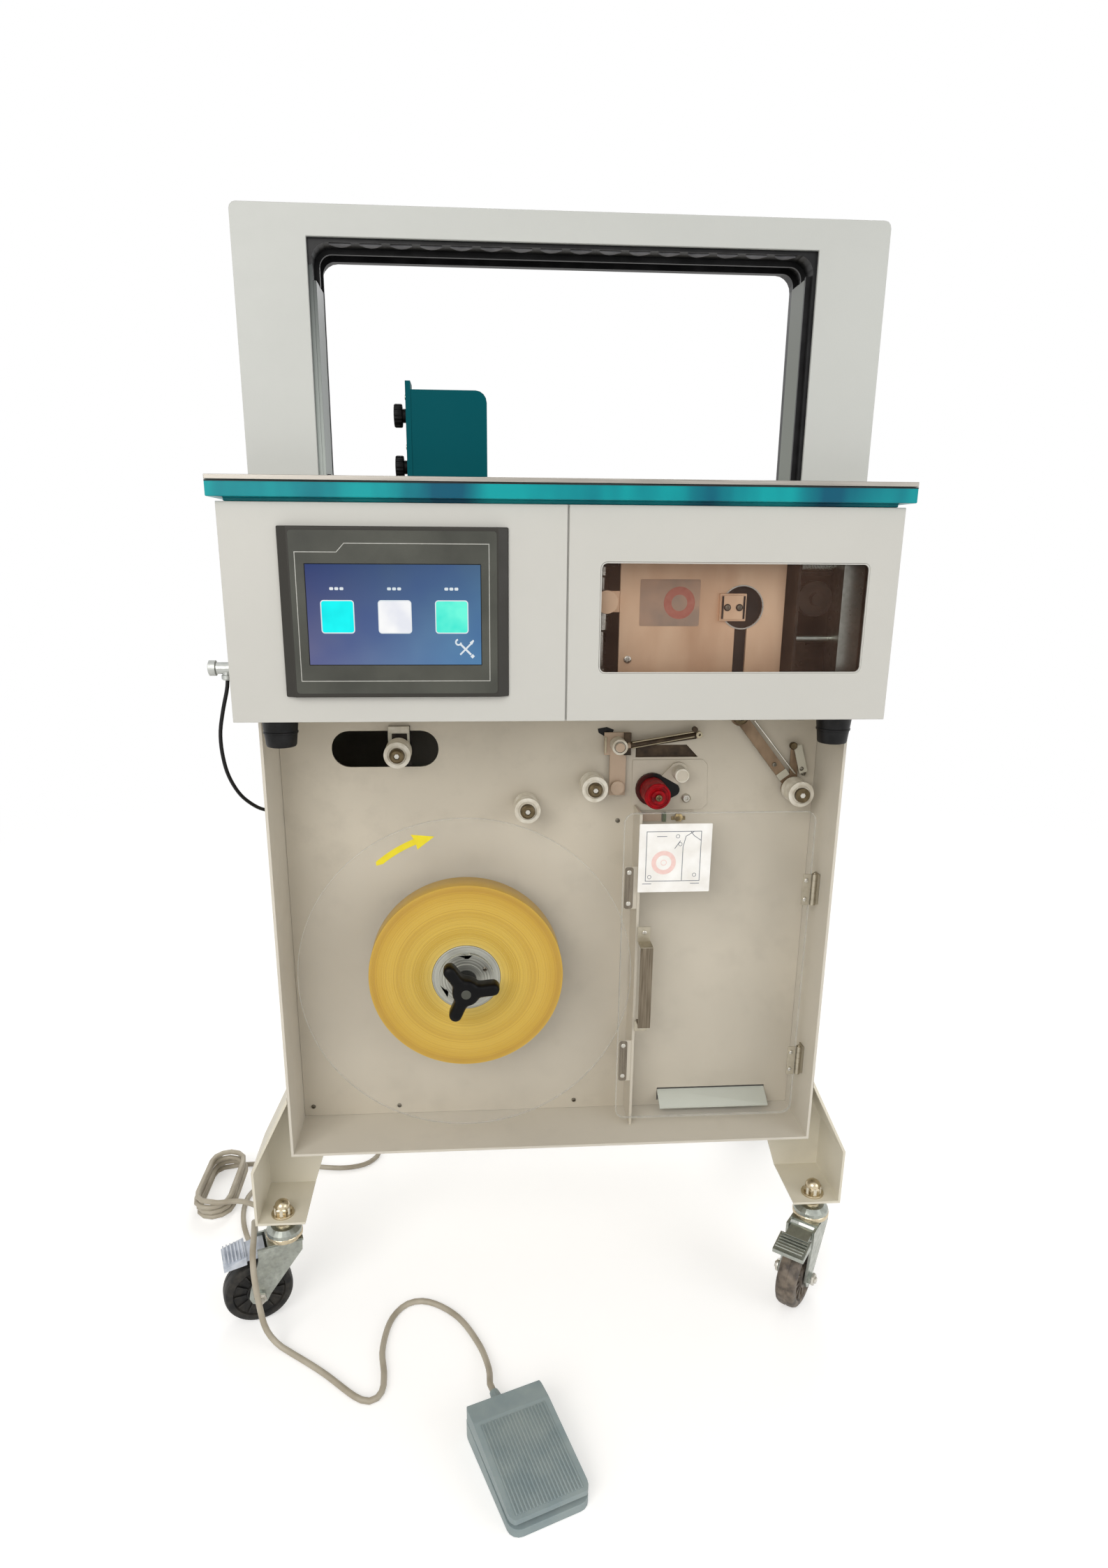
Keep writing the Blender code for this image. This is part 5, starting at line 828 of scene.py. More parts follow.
block(bm, at(0.2265, 0.085, 0.740), at(0.300, 0.089, 0.800))
lathe(bm, [(0, 0), (0.017, 0), (0.017, 0.003), (0.013, 0.003), (0.013, 0.010), (0.017, 0.010), (0.017, 0.013),
           (0.006, 0.013), (0.006, 0.020), (0, 0.020)], at(0.2480, 0.060, 0.838), AHEAD, 40)
for turn in range(16):
    spoke = Matrix.Translation(at(0.2400, 0.0800, 0.785)) @ Matrix.Rotation(math.radians(22.5 * turn), 4, "Y")
    block(bm, (-0.0012, -0.004, 0.0125), (0.0012, 0.004, 0.0165), spoke)
lathe(bm, [(0, -0.004), (0.0135, -0.004), (0.0135, 0.004), (0, 0.004)], at(0.2400, 0.0800, 0.785), AHEAD, 32)
made("film_drive", bm, drive_black, "cabinet", rounded=0.0003)
bm = bmesh.new()
block(bm, at(0.2650, 0.022, UNIT_FOOT), at(0.2668, 0.056, 0.905))
block(bm, at(0.2668, 0.022, UNIT_FOOT), at(0.2850, 0.0238, 0.905))
for z in (0.760, 0.800, 0.870):
    lathe(bm, [(0, 0), (0.0035, 0), (0.0035, 0.040), (0, 0.040)], at(0.2265, 0.048, z), RIGHTWARD, 20)
for turn in range(22):
    lathe(bm, [(0.0052, -0.0007), (0.0064, -0.0002), (0.0064, 0.0004), (0.0052, 0.0008)],
          at(0.2300 + 0.0015 * turn, 0.048, 0.870), RIGHTWARD, 20, closed=True)
made("drive_brackets", bm, fork_zinc, "cabinet", smooth=40)
bm = bmesh.new()
lathe(bm, [(0, 0), (0.0050, 0), (0.0050, 0.012), (0.0085, 0.014), (0.0085, 0.024), (0.0050, 0.026),
           (0.0050, 0.060), (0.0095, 0.062), (0.0100, 0.066), (0.0100, 0.078), (0.0095, 0.082),
           (0.0050, 0.084), (0.0050, 0.112), (0.0070, 0.114), (0.0070, 0.122), (0, 0.122)],
      at(0.0410, 0.070, 0.7450), UPWARD, 40)
block(bm, at(0.032, 0.064, UNIT_FOOT), at(0.0555, 0.078, 0.7452))
made("guide_shaft", bm, bright_steel, "cabinet", smooth=40)
blocks("guide_clamp", [((0.034, 0.060, 0.8675), (0.0545, 0.081, 0.880)),
                       ((0.0300, 0.0565, 0.884), (0.090, 0.0585, 0.896))], drive_black, "cabinet",
       rounded=0.0005)

# Touch panel: a moulded grey-black bezel with a lighter face and a fine printed frame line round
# a seven inch display that shows three coloured keys and a tool mark, with no words on it.
DISPLAY_LEFT, DISPLAY_RIGHT, DISPLAY_LOW, DISPLAY_HIGH, GLASS_FACE = -0.2345, -0.079, 0.7805, 0.869, -0.00652
KEY_SIDE, KEY_LOW, KEY_CORNER = 0.0290, 0.8090, 0.0026
bezel_dark, tree, shader = finish("bezel_moulding", tint(46, 44, 39), 0.42, 0.0, 0.3)
relief(tree, shader, grain(tree, 0.0007, 2.0), 0.00005)
tree.links.new(spread(tree, grain(tree, 0.03), 0.3, 0.7, 0.34, 0.48), shader.inputs["Roughness"])
dress(bezel_dark, "touch_housing")
ease(0.0012, "touch_housing", segments=3)
bezel_face, tree, shader = finish("bezel_face", tint(70, 69, 63), 0.40, 0.0, 0.3)
worn = spread(tree, grain(tree, 0.05, 3.0), 0.3, 0.7, 0, 1)
tree.links.new(mixed(tree, worn, tint(58, 59, 53), tint(75, 76, 69)), shader.inputs["Base Color"])
relief(tree, shader, grain(tree, 0.0007, 2.0), 0.00004)
bm = bmesh.new()
ring_shape(bm, rounded_box(-0.2475, 0.7545, -0.0645, 0.8975, 0.003),
           rounded_box(-0.2349, 0.7801, -0.0786, 0.8694, 0.0006), on_face(-0.0069), 0.0005)
made("bezel_face", bm, bezel_face, "cabinet", rounded=0.0002)
frame_line, tree, shader = mottled("printed_frame_line", tint(168, 168, 162),
                                   (tint(150, 150, 144), tint(186, 186, 180)), 0.4, 0.0, 0.5, (0.004,),
                                   (0, 1))
inlaid("bezel_frame_line", [(-0.2425, 0.7660), (-0.0715, 0.7660), (-0.0715, 0.8865), (-0.1990, 0.8865),
                            (-0.2060, 0.8790), (-0.2425, 0.8790)], 0.0007, on_face(-0.00739), 0.00014,
       frame_line, "cabinet", closed=True)


def glow(name, low, high, strength, size=0.03):
    """Lit area of a display: slow change between two colours, given off as light."""
    material, tree, shader = finish(name, (0.004, 0.004, 0.005), 0.14, 0.0, 0.1)
    drift = spread(tree, grain(tree, size, 2.0), 0.32, 0.68, 0, 1)
    tree.links.new(mixed(tree, drift, low, high), shader.inputs["Emission Color"])
    shader.inputs["Emission Strength"].default_value = strength
    return material


def coordinate(tree, axis):
    """One coordinate of a place on the piece, in metres."""
    where = tree.nodes.new("ShaderNodeTexCoord")
    parts = tree.nodes.new("ShaderNodeSeparateXYZ")
    tree.links.new(where.outputs["Object"], parts.inputs["Vector"])
    return parts.outputs[axis]


display, tree, shader = finish("lit_display", (0.006, 0.008, 0.016), 0.12, 0.0, 0.2)
sideways = spread(tree, coordinate(tree, "X"), DISPLAY_LEFT, DISPLAY_RIGHT, 0, 1)
upward = spread(tree, coordinate(tree, "Z"), DISPLAY_LOW, DISPLAY_HIGH, 0, 1)
bloom = spread(tree, grain(tree, 0.06, 2.0), 0.35, 0.65, 0, 1)
left_tone = mixed(tree, upward, tint(104, 104, 140), tint(38, 52, 100))
right_tone = mixed(tree, upward, tint(84, 138, 178), tint(66, 98, 130))
main_tone = mixed(tree, sideways, left_tone, right_tone)
tree.links.new(mixed(tree, spread(tree, bloom, 0, 1, 0, 0.35), main_tone, tint(36, 62, 132)),
               shader.inputs["Emission Color"])
shader.inputs["Emission Strength"].default_value = 0.95
dress(display, "touch_screen")
key_light = glow("key_outline_light", tint(226, 240, 246), tint(250, 252, 255), 0.85)
SCREEN = on_face(GLASS_FACE)
for label, left, low_tone, high_tone in (("cyan", -0.2220, (0, 236, 238), (10, 255, 254)),
                                         ("white", -0.1710, (236, 238, 246), (255, 255, 255)),
                                         ("green", -0.1200, (60, 236, 214), (112, 255, 226))):
    bm = bmesh.new()
    outline = rounded_box(left, KEY_LOW, left + KEY_SIDE, KEY_LOW + 0.0285, KEY_CORNER)
    sheet_shape(bm, outline, SCREEN, 0.00012)
    made("key_" + label, bm, glow("key_" + label, tint(*low_tone), tint(*high_tone), 0.95, 0.02), "cabinet")
    bm = bmesh.new()
    ribbon(bm, outline, 0.0009, on_face(GLASS_FACE - 0.00012), 0.0001, closed=True)
    for i in range(3):
        middle = left + KEY_SIDE / 2 + (i - 1) * 0.0045
        sheet_shape(bm, rounded_box(middle - 0.0017, 0.8465, middle + 0.0017, 0.8490, 0.0008, 3), SCREEN,
                    0.0001)
    made("key_outline_" + label, bm, key_light, "cabinet")
bm = bmesh.new()
ribbon(bm, [(-0.0985, 0.7995), (-0.0886, 0.7897)], 0.0018, SCREEN, 0.0001)
ribbon(bm, [(-0.0886, 0.7995), (-0.0985, 0.7897)], 0.0015, on_face(GLASS_FACE - 0.00011), 0.0001)
ribbon(bm, arc((-0.0999, 0.8009), 0.0024, -10, -260, 14), 0.0015, on_face(GLASS_FACE - 0.00022), 0.0001)
sheet_shape(bm, [(-0.0893, 0.7882), (-0.0871, 0.7903), (-0.0852, 0.7883), (-0.0873, 0.7862)],
            on_face(GLASS_FACE - 0.00022), 0.0001)
sheet_shape(bm, [(-0.0898, 0.8007), (-0.0877, 0.7986), (-0.0857, 0.8021), (-0.0865, 0.8031)],
            on_face(GLASS_FACE - 0.00022), 0.0001)
made("tool_mark", bm, key_light, "cabinet")

# Table: a steel plate, brushed lengthwise, on a core whose edge is painted teal. A thin dark joint
# runs along the front between the two.
TABLE_HALF, BAND_FACE, JOINT_LOW, JOINT_HIGH = 0.3148, -0.0080, 0.9369, 0.9379
teal, tree, shader = finish("teal_edge_paint", tint(0, 124, 134), 0.32, 0.0, 0.2)
runs = spread(tree, grain(tree, 0.09, 3.0, (1, 0.2, 0.2)), 0.40, 0.60, 0, 1)
tree.links.new(mixed(tree, runs, tint(0, 82, 106), tint(6, 152, 156)), shader.inputs["Base Color"])
relief(tree, shader, grain(tree, 0.002), 0.00003)
dress(teal, "table_band")
brushed, tree, shader = finish("brushed_table_steel", tint(160, 155, 147), 0.36, 0.9)
lines = grain(tree, 0.0011, 3.0, (0.02, 1, 1))
tree.links.new(mixed(tree, spread(tree, lines, 0.3, 0.7, 0, 1), tint(151, 146, 138), tint(169, 164, 156)),
               shader.inputs["Base Color"])
tree.links.new(spread(tree, lines, 0.3, 0.7, 0.26, 0.44), shader.inputs["Roughness"])
relief(tree, shader, lines, 0.00002)
dress(brushed, "table_plate")
blocks("band_edge_lines", [((-TABLE_HALF, BAND_FACE - 0.0003, JOINT_LOW),
                            (TABLE_HALF, BAND_FACE, JOINT_HIGH))], black_gap, "cabinet")
ease(0.0006, "table_plate")
ease(0.0008, "table_band")

# Arch: a hollow frame of folded sheet over the table, powder coated pale grey, screwed on at its
# sides. The black moulded film track lines it, with grey strips on its walls, darker towards the top as
# painted shade, and scallops above.
ARCH_FOOT, TRACK_HALF, TRACK_TOP, RAIL_WIDE = 0.9432, 0.2225, 1.1360, 0.0028
RAIL_END, STRIP_TOP, STRIP_HALF = 1.1190, 1.1060, 0.2224
arch_coat = powder("arch_powder_coat", tint(190, 192, 188), 0.44, 0.03)
dress(arch_coat, "arch_shell")
ease(0.0010, "arch_shell")
track_black, tree, shader = mottled("film_track_plastic", tint(14, 14, 15),
                                    (tint(9, 9, 10), tint(34, 34, 35)), 0.40, 0.0, 0.25, (0.02, 4.0),
                                    (0.4, 0.8), skin=(0.0008, 0.00003))
dress(track_black, "film_track")


def arch_line(inset, radius):
    """Inside line of the track from foot to foot, moved inwards."""
    half, top = TRACK_HALF - inset, TRACK_TOP - inset
    line = [(half, ARCH_FOOT)]
    line += arc((half - radius, top - radius), radius, 0, 90, 8)
    line += arc((-half + radius, top - radius), radius, 90, 180, 8)
    return line + [(-half, ARCH_FOOT)]


bm = bmesh.new()
for behind, left_foot in ((0.0755, STRIP_TOP), (0.0985, ARCH_FOOT)):
    outer, inner = arch_line(-0.0002, 0.0152), arch_line(0.0042, 0.0108)
    for line in (outer, inner):
        line[0] = (line[0][0], RAIL_END)
        line[-1] = (line[-1][0], left_foot)
    sheet_shape(bm, outer + inner[::-1], on_face(behind), RAIL_WIDE)
block(bm, at(0.2183, 0.0620 - RAIL_WIDE, ARCH_FOOT), at(0.2226, 0.0620, 1.1208))
made("track_rails", bm, track_black, "cabinet", smooth=40)
strip_grey_painted_shade, tree, shader = finish("track_strip_aluminium_painted_shade", tint(128, 132, 126), 0.42, 0.3, 0.3)
# Painted shade: the strips darken towards the top under the arch, the left one strongly, the right one a
# little.
height = spread(tree, coordinate(tree, "Z"), 0.96, 1.12, 0, 1)
painted_shade_side = spread(tree, coordinate(tree, "X"), -0.2, 0.2, 0, 1)
tree.links.new(mixed(tree, painted_shade_side, mixed(tree, height, tint(150, 156, 152), tint(52, 56, 56)),
                     mixed(tree, height, tint(122, 127, 118), tint(98, 102, 95))),
               shader.inputs["Base Color"])
relief(tree, shader, grain(tree, 0.001, 2.0, (1, 1, 0.05)), 0.00002)
blocks("track_side_strips", [((-0.2310, 0.0514, ARCH_FOOT), (-0.2216, 0.0519, RAIL_END - 0.0010)),
                             ((-STRIP_HALF, 0.0519, ARCH_FOOT), (-0.2188, 0.0955, STRIP_TOP)),
                             ((0.2183, 0.0622, ARCH_FOOT), (STRIP_HALF, 0.0984, RAIL_END))], strip_grey_painted_shade,
       "cabinet", rounded=0.0002)
scallop_grey, tree, shader = mottled("track_scallop_grey", tint(112, 112, 116),
                                     (tint(88, 88, 92), tint(134, 134, 137)), 0.5, 0.0, 0.2, (0.02, 3.0))
bm = bmesh.new()
scallop = [(-0.2070, 0.0560), (-0.2050, 0.0590), (-0.2020, 0.0625), (-0.1975, 0.0645), (-0.1930, 0.0625),
           (-0.1900, 0.0590), (-0.1880, 0.0560)]
sheet_shape(bm, scallop, lambda u, v, w: at(u, v, TRACK_TOP + 0.0001 - w), 0.0011)
repeated("track_scallops", bm, (16, 1), ((0.0263, 0.0, 0.0), (0.0, 0.0, 0.01)), scallop_grey, "cabinet")
blocks("arch_foot_stop", [((-0.2188, 0.0560, 0.9430), (-0.2150, 0.0640, 0.9480))], track_black, "cabinet",
       rounded=0.0008)
screws("arch_screws", "socket", dark_steel, "cabinet",
       [(at(side * 0.2890, 0.0857, z), (side, 0, 0)) for side in (-1, 1) for z in (0.965, 1.140)], 11)

# Side fence: folded sheet, powder coated dark teal, on a bracket that slides across the table. Two
# ribbed knobs of black plastic lock it.
RIDGES, KNOB_R = 18, 0.0100
FENCE_FACE = -0.1443
fence_coat = powder("fence_powder_coat", tint(0, 76, 84), 0.5, 0.06, shine=0.05)
dress(fence_coat, "side_fence")
ease(0.0006, "side_fence")
knob_plastic, tree, shader = finish("black_knob_plastic", tint(6, 6, 7), 0.46, 0.0, 0.12)
relief(tree, shader, grain(tree, 0.0007), 0.00004)
tree.links.new(spread(tree, grain(tree, 0.01), 0.3, 0.7, 0.3, 0.46), shader.inputs["Roughness"])
for place, z in (("upper", 0.9975), ("lower", 0.9540)):
    bm = bmesh.new()
    rings = []
    for share, along, cut in ((0.0, 0.0001, 0), (0.60, 0.0001, 0), (0.60, 0.0031, 0), (0.94, 0.0033, 1),
                              (1.0, 0.0042, 1), (1.0, 0.0094, 1), (0.94, 0.0106, 1), (0.62, 0.0109, 0),
                              (0.55, 0.0100, 0), (0.0, 0.0100, 0)):
        ring = []
        for i in range(RIDGES * 4 if share else 1):
            angle = 2 * math.pi * i / (RIDGES * 4)
            radius = KNOB_R * share * (1 - 0.07 * cut * (0.5 - 0.5 * math.cos(angle * RIDGES)))
            ring.append(bm.verts.new(at(FENCE_FACE - along, 0.048 + radius * math.cos(angle),
                                        z + radius * math.sin(angle))))
        rings.append(ring)
    for a, b in zip(rings, rings[1:]):
        for i in range(RIDGES * 4):
            j = (i + 1) % (RIDGES * 4)
            corners = list(dict.fromkeys([a[i % len(a)], a[j % len(a)], b[j % len(b)], b[i % len(b)]]))
            if len(corners) > 2:
                bm.faces.new(corners)
    made("clamp_knob_" + place, bm, knob_plastic, "fence_knob_" + place, ["fence_knob_" + place], smooth=50)
screws("fence_screws", "small_pan", bright_steel, "fence",
       [(at(FENCE_FACE + 0.0003, 0.055, z), LEFTWARD) for z in (0.972, 1.014)], 12)

# Reel: a steel hub with three keyways in its nose, a big clear front disc and a roll of tan
# banding film, all clamped by a black moulded star knob on the hub's screw.
REEL = (-0.0987, 0.430)
CORE_R, ROLL_R, DISC_R, DISC_THICK = 0.0379, 0.1070, 0.1829, 0.0025
HUB_R, KEYWAY_R, KEYWAY_HALF = 0.0300, 0.0240, 0.004
HUB_FACE, DISC_BACK = 0.0715, 0.0765


def on_reel(behind):
    """Place on the reel's axis."""
    return at(REEL[0], behind, REEL[1])


def round_the_reel(tree):
    """Distance from the reel's axis, in metres."""
    where = tree.nodes.new("ShaderNodeTexCoord")
    flat = tree.nodes.new("ShaderNodeMapping")
    flat.inputs["Location"].default_value = (-REEL[0], 0, -REEL[1])
    flat.inputs["Scale"].default_value = (1, 0, 1)
    far = tree.nodes.new("ShaderNodeVectorMath")
    far.operation = "LENGTH"
    tree.links.new(where.outputs["Object"], flat.inputs["Vector"])
    tree.links.new(flat.outputs["Vector"], far.inputs[0])
    return far.outputs["Value"]


def rings_of(tree, radius, size, detail=3.0):
    """Noise that changes only with the radius, as the edges of wound film do."""
    cloud = tree.nodes.new("ShaderNodeTexNoise")
    cloud.noise_dimensions = "1D"
    cloud.inputs["Scale"].default_value = 1 / size
    cloud.inputs["Detail"].default_value = detail
    tree.links.new(radius, cloud.inputs["W"])
    return cloud.outputs["Fac"]


hub_steel, tree, shader = finish("turned_hub_steel", tint(166, 166, 157), 0.44, 0.8)
radius = round_the_reel(tree)
tree.links.new(mixed(tree, spread(tree, rings_of(tree, radius, 0.0016), 0.3, 0.7, 0, 1), tint(142, 142, 134),
                     tint(186, 186, 176)), shader.inputs["Base Color"])
relief(tree, shader, rings_of(tree, radius, 0.0005, 1.0), 0.00002)
nose = []
for turn in range(3):
    middle = 90 + 120 * turn
    half = math.degrees(math.asin(KEYWAY_HALF / HUB_R))
    nose += arc((0, 0), HUB_R, middle - 120 + half, middle - half, 30)
    for side in (-1, 1):
        a = math.radians(middle)
        nose.append((KEYWAY_R * math.cos(a) + side * KEYWAY_HALF * math.sin(a),
                     KEYWAY_R * math.sin(a) - side * KEYWAY_HALF * math.cos(a)))
bm = bmesh.new()
sheet_shape(bm, [(REEL[0] + x, REEL[1] + z) for x, z in nose], on_face(0.0767), 0.0052)
foot = on_reel(0.1397)
lathe(bm, [(0, 0), (0.015, 0), (0.015, 0.0299), (0.094, 0.0299), (0.095, 0.0306), (0.095, 0.0318),
           (0.094, 0.0324), (0.0376, 0.0324), (0.0376, 0.0628), (0.036, 0.0632), (0, 0.0632)], foot, AHEAD,
      96)
lathe(bm, [(0.0152, -0.0002), (0.0152, 0.0006), (0.0186, 0.0006), (0.0186, -0.0002)], on_reel(HUB_FACE),
      AHEAD, 72, closed=True)
made("reel_hub_turned", bm, hub_steel, "reel", ["reel_hub"], rounded=0.0005)
screws("hub_screws", "small_pan", dark_steel, "reel",
       [(at(x, HUB_FACE, z), AHEAD) for x, z in arc(REEL, KEYWAY_R, 30, 270, 2)], 13)
clear_plastic, tree, shader = finish("clear_disc_plastic", (0.62, 0.62, 0.60), 0.10, 0.0, 0.3)
shader.inputs["Alpha"].default_value = 0.03
scratch = spread(tree, grain(tree, 0.12, 3.0), 0.4, 0.7, 0, 1)
tree.links.new(mixed(tree, scratch, (0.58, 0.58, 0.56), (0.66, 0.66, 0.64)), shader.inputs["Base Color"])
tree.links.new(spread(tree, scratch, 0, 1, 0.08, 0.14), shader.inputs["Roughness"])
# The clear parts' edges are paler and less clear: partly a frosted cut edge, partly a painted highlight along
# the rim.
clear_edge_and_highlight, tree, shader = finish("clear_cut_edge_and_highlight", (0.60, 0.60, 0.56), 0.25, 0.0, 0.3)
shader.inputs["Alpha"].default_value = 0.30
tree.links.new(mixed(tree, grain(tree, 0.02), (0.50, 0.50, 0.46), (0.74, 0.74, 0.70)),
               shader.inputs["Base Color"])


def turned(name, profile, foot, axis, sides, material, body, stands_for=(), closed=False, **more):
    """Piece of one turned shape."""
    bm = bmesh.new()
    lathe(bm, profile, foot, axis, sides, closed)
    made(name, bm, material, body, stands_for, **more)


turned("reel_disc", [(0.0303, 0), (DISC_R - 0.0007, 0), (DISC_R - 0.0007, DISC_THICK), (0.0303, DISC_THICK)],
       on_reel(DISC_BACK), AHEAD, 160, clear_plastic, "reel", ["front_disc"], closed=True, smooth=30)
turned("reel_disc_edge", [(DISC_R - 0.0006, 0), (DISC_R, 0.0004), (DISC_R, 0.0021),
                          (DISC_R - 0.0006, DISC_THICK)], on_reel(DISC_BACK), AHEAD, 160, clear_edge_and_highlight, "reel",
       closed=True, smooth=60)
film_look, tree, shader = finish("tan_film", tint(206, 170, 72), 0.42, 0.0, 0.25)
radius = round_the_reel(tree)
broad = tree.nodes.new("ShaderNodeValToRGB")
stops = ((0.0, (226, 200, 104)), (0.06, (222, 192, 86)), (0.20, (203, 168, 52)), (0.38, (218, 184, 70)),
         (0.52, (205, 168, 54)), (0.68, (216, 179, 64)), (0.86, (203, 163, 44)), (0.93, (188, 146, 36)),
         (1.0, (204, 165, 50)))
band = broad.color_ramp.elements
while len(band) < len(stops):
    band.new(0.5)
for element, (place, colour) in zip(band, stops):
    element.position = place
    element.color = (*tint(*colour), 1)
tree.links.new(spread(tree, radius, CORE_R - 0.0003, ROLL_R, 0, 1), broad.inputs[0])
lines = spread(tree, rings_of(tree, radius, 0.0011, 4.0), 0.36, 0.64, 0, 0.42)
tone = mixed(tree, lines, broad.outputs[0], tint(160, 116, 20))
haze = spread(tree, grain(tree, 0.05, 3.0), 0.35, 0.7, 0, 0.12)
tree.links.new(mixed(tree, haze, tone, tint(222, 188, 74)), shader.inputs["Base Color"])
relief(tree, shader, rings_of(tree, radius, 0.0006, 2.0), 0.00008)
side = [(CORE_R, 0.0296)]
for i in range(1, 24):
    side.append((CORE_R + (ROLL_R - 0.0004 - CORE_R) * i / 24, 0.0299 - (0.0002 if i % 2 else 0.0)))
turned("film_winding", [(CORE_R, 0.0004)] + side + [(ROLL_R - 0.0002, 0.0297), (ROLL_R, 0.0293),
                                                    (ROLL_R, 0.0006), (ROLL_R - 0.0004, 0.0002)],
       on_reel(0.1070), AHEAD, 160, film_look, "reel", ["film_roll"], closed=True, smooth=50)


def star_radius(angle, reach, wide, core):
    """Outline of three round-ended arms that swell from a round middle."""
    best = core
    for turn in range(3):
        away = (angle - math.radians(6 + 120 * turn) + math.pi) % (2 * math.pi) - math.pi
        if abs(away) > math.pi / 2:
            continue
        centre = reach - wide
        lean = abs(math.sin(away))
        if centre * lean <= wide:
            arm = centre * math.cos(away) + math.sqrt(max(wide ** 2 - (centre * lean) ** 2, 0))
        else:
            arm = wide / lean
        gap = max(0.0, 0.006 - abs(arm - core)) / 0.006
        best = max(best, max(arm, core) + 0.0012 * gap * gap)
    return best


STAR_SIDES = 144
bm = bmesh.new()
star = []
lathe(bm, [(0, 0), (0.0112, 0), (0.0112, 0.0185), (0, 0.0185)], on_reel(0.0707), AHEAD, 48)
for reach, wide, core, front in ((0.0330, 0.0052, 0.0132, 0.0526), (0.0350, 0.0064, 0.0146, 0.0512),
                                 (0.0358, 0.0069, 0.0149, 0.0490), (0.0359, 0.0069, 0.0149, 0.0400),
                                 (0.0354, 0.0066, 0.0147, 0.0368), (0.0338, 0.0054, 0.0140, 0.0350),
                                 (0.0290, 0.0050, 0.0134, 0.0345), (0.0130, 0.0040, 0.0125, 0.0338),
                                 (0.0080, 0.0030, 0.0080, 0.0331)):
    ring = []
    for i in range(STAR_SIDES):
        angle = 2 * math.pi * i / STAR_SIDES
        r = star_radius(angle, reach, wide, core)
        ring.append(bm.verts.new(at(REEL[0] + r * math.cos(angle), front, REEL[1] + r * math.sin(angle))))
    star.append(ring)
for a, b in zip(star, star[1:]):
    for i in range(STAR_SIDES):
        j = (i + 1) % STAR_SIDES
        bm.faces.new([a[i], a[j], b[j], b[i]])
bm.faces.new(star[0])
bm.faces.new(list(reversed(star[-1])))
made("star_knob_moulded", bm, knob_plastic, "star_knob", ["star_knob"], smooth=48)
turned("star_knob_cap", [(0, 0), (0.0052, 0), (0.0052, 0.0004), (0.0046, 0.0007), (0, 0.0007)],
       on_reel(0.0333), AHEAD, 36, bezel_face, "star_knob", smooth=40)

# Turning arrow: bright yellow paint on the recess panel above the reel. It follows a circle round
# the reel and shows which way the roll turns.
PANEL = 0.1400
arrow_paint, tree, shader = mottled("yellow_arrow_paint", tint(250, 214, 0),
                                    (tint(236, 216, 0), tint(250, 234, 16)), 0.5, 0.0, 0.15, (0.01, 4.0))
outer = arc(REEL, 0.1525, 131, 112, 12)
inner = arc(REEL, 0.1455, 112, 131, 12)
inner[-1] = arc(REEL, 0.1490, 132, 132, 1)[0]
head = [arc(REEL, 0.1585, 112.4, 112, 1)[0], arc(REEL, 0.1480, 103.2, 103, 1)[0],
        arc(REEL, 0.1395, 112.4, 112, 1)[0]]
cut_sheet("turning_arrow", outer + head + inner, on_face(PANEL - 0.00005), 0.00025, arrow_paint, "cabinet")

# Film path: white nylon guide rollers with rolled lips, each held on its stud by a hexagon socket
# screw; one sits on a bracket that slides in the round-ended slot, one on a sprung lever.
white_nylon, tree, shader = mottled("white_nylon", tint(216, 210, 196),
                                    (tint(219, 214, 201), tint(188, 179, 160)), 0.42, 0.0, 0.35, (0.008, 4.0),
                                    (0.35, 0.75))
shader.inputs["Subsurface Weight"].default_value = 0.08
shader.inputs["Subsurface Radius"].default_value = (0.002, 0.0018, 0.0015)
relief(tree, shader, grain(tree, 0.0009), 0.00003)
LEFT_ROLLER, RIGHT_ROLLER = (-0.030, 0.612), (0.043, 0.635)
SLOT_ROLLER, LEVER_ROLLER = (-0.168, 0.674), (0.271, 0.627)
ROLLER_BACK, STUD_TIP = 0.1310, 0.1027
for name, (x, z) in (("roller_left", LEFT_ROLLER), ("roller_right", RIGHT_ROLLER),
                     ("roller_slot", SLOT_ROLLER), ("roller_lever", LEVER_ROLLER)):
    bm = bmesh.new()
    lathe(bm, [(0.0056, 0.0), (0.0134, 0.0), (0.0141, 0.0005), (0.0142, 0.0016), (0.0141, 0.0030),
               (0.0132, 0.0042), (0.0131, 0.0238), (0.0141, 0.0250), (0.0142, 0.0264), (0.0141, 0.0275),
               (0.0134, 0.0280), (0.0100, 0.0280), (0.0096, 0.0271), (0.0086, 0.0271), (0.0083, 0.0280),
               (0.0056, 0.0280)], at(x, ROLLER_BACK, z), AHEAD, 72, closed=True)
    made(name + "_spool", bm, white_nylon, name, [name], smooth=40)
dress(white_nylon, "pinch_roller", "idler")
old_bolt = zinc("dull_brown_bolt_steel", tint(112, 98, 74), 0.42, 0.45)
screws("guide_screws", "stud", old_bolt, "cabinet",
       [(at(x, STUD_TIP, z), AHEAD) for x, z in (LEFT_ROLLER, RIGHT_ROLLER)], 21)
screws("slot_screw", "stud", old_bolt, "slot_slider", [(at(SLOT_ROLLER[0], STUD_TIP, SLOT_ROLLER[1]), AHEAD)],
       22)
# Painted highlight: a bright steel hexagon on each socket floor stands in for the glint in the screw's
# centre.
for name, body, places in (("guide_screw_centres", "cabinet", (LEFT_ROLLER, RIGHT_ROLLER)),
                           ("slot_screw_centre", "slot_slider", (SLOT_ROLLER,))):
    bm = bmesh.new()
    for x, z in places:
        lathe(bm, [(0, 0), (0.0030, 0), (0.0027, 0.0004), (0, 0.0004)], at(x, STUD_TIP - 0.0048, z), AHEAD, 6)
    made(name, bm, bright_steel, body)
turned("lever_stud_cap", [(0, 0), (0.0080, 0), (0.0080, 0.0044), (0.0077, 0.0047), (0, 0.0047)],
       at(LEVER_ROLLER[0], STUD_TIP, LEVER_ROLLER[1]), AHEAD, 48, old_bolt, "lever", smooth=40)
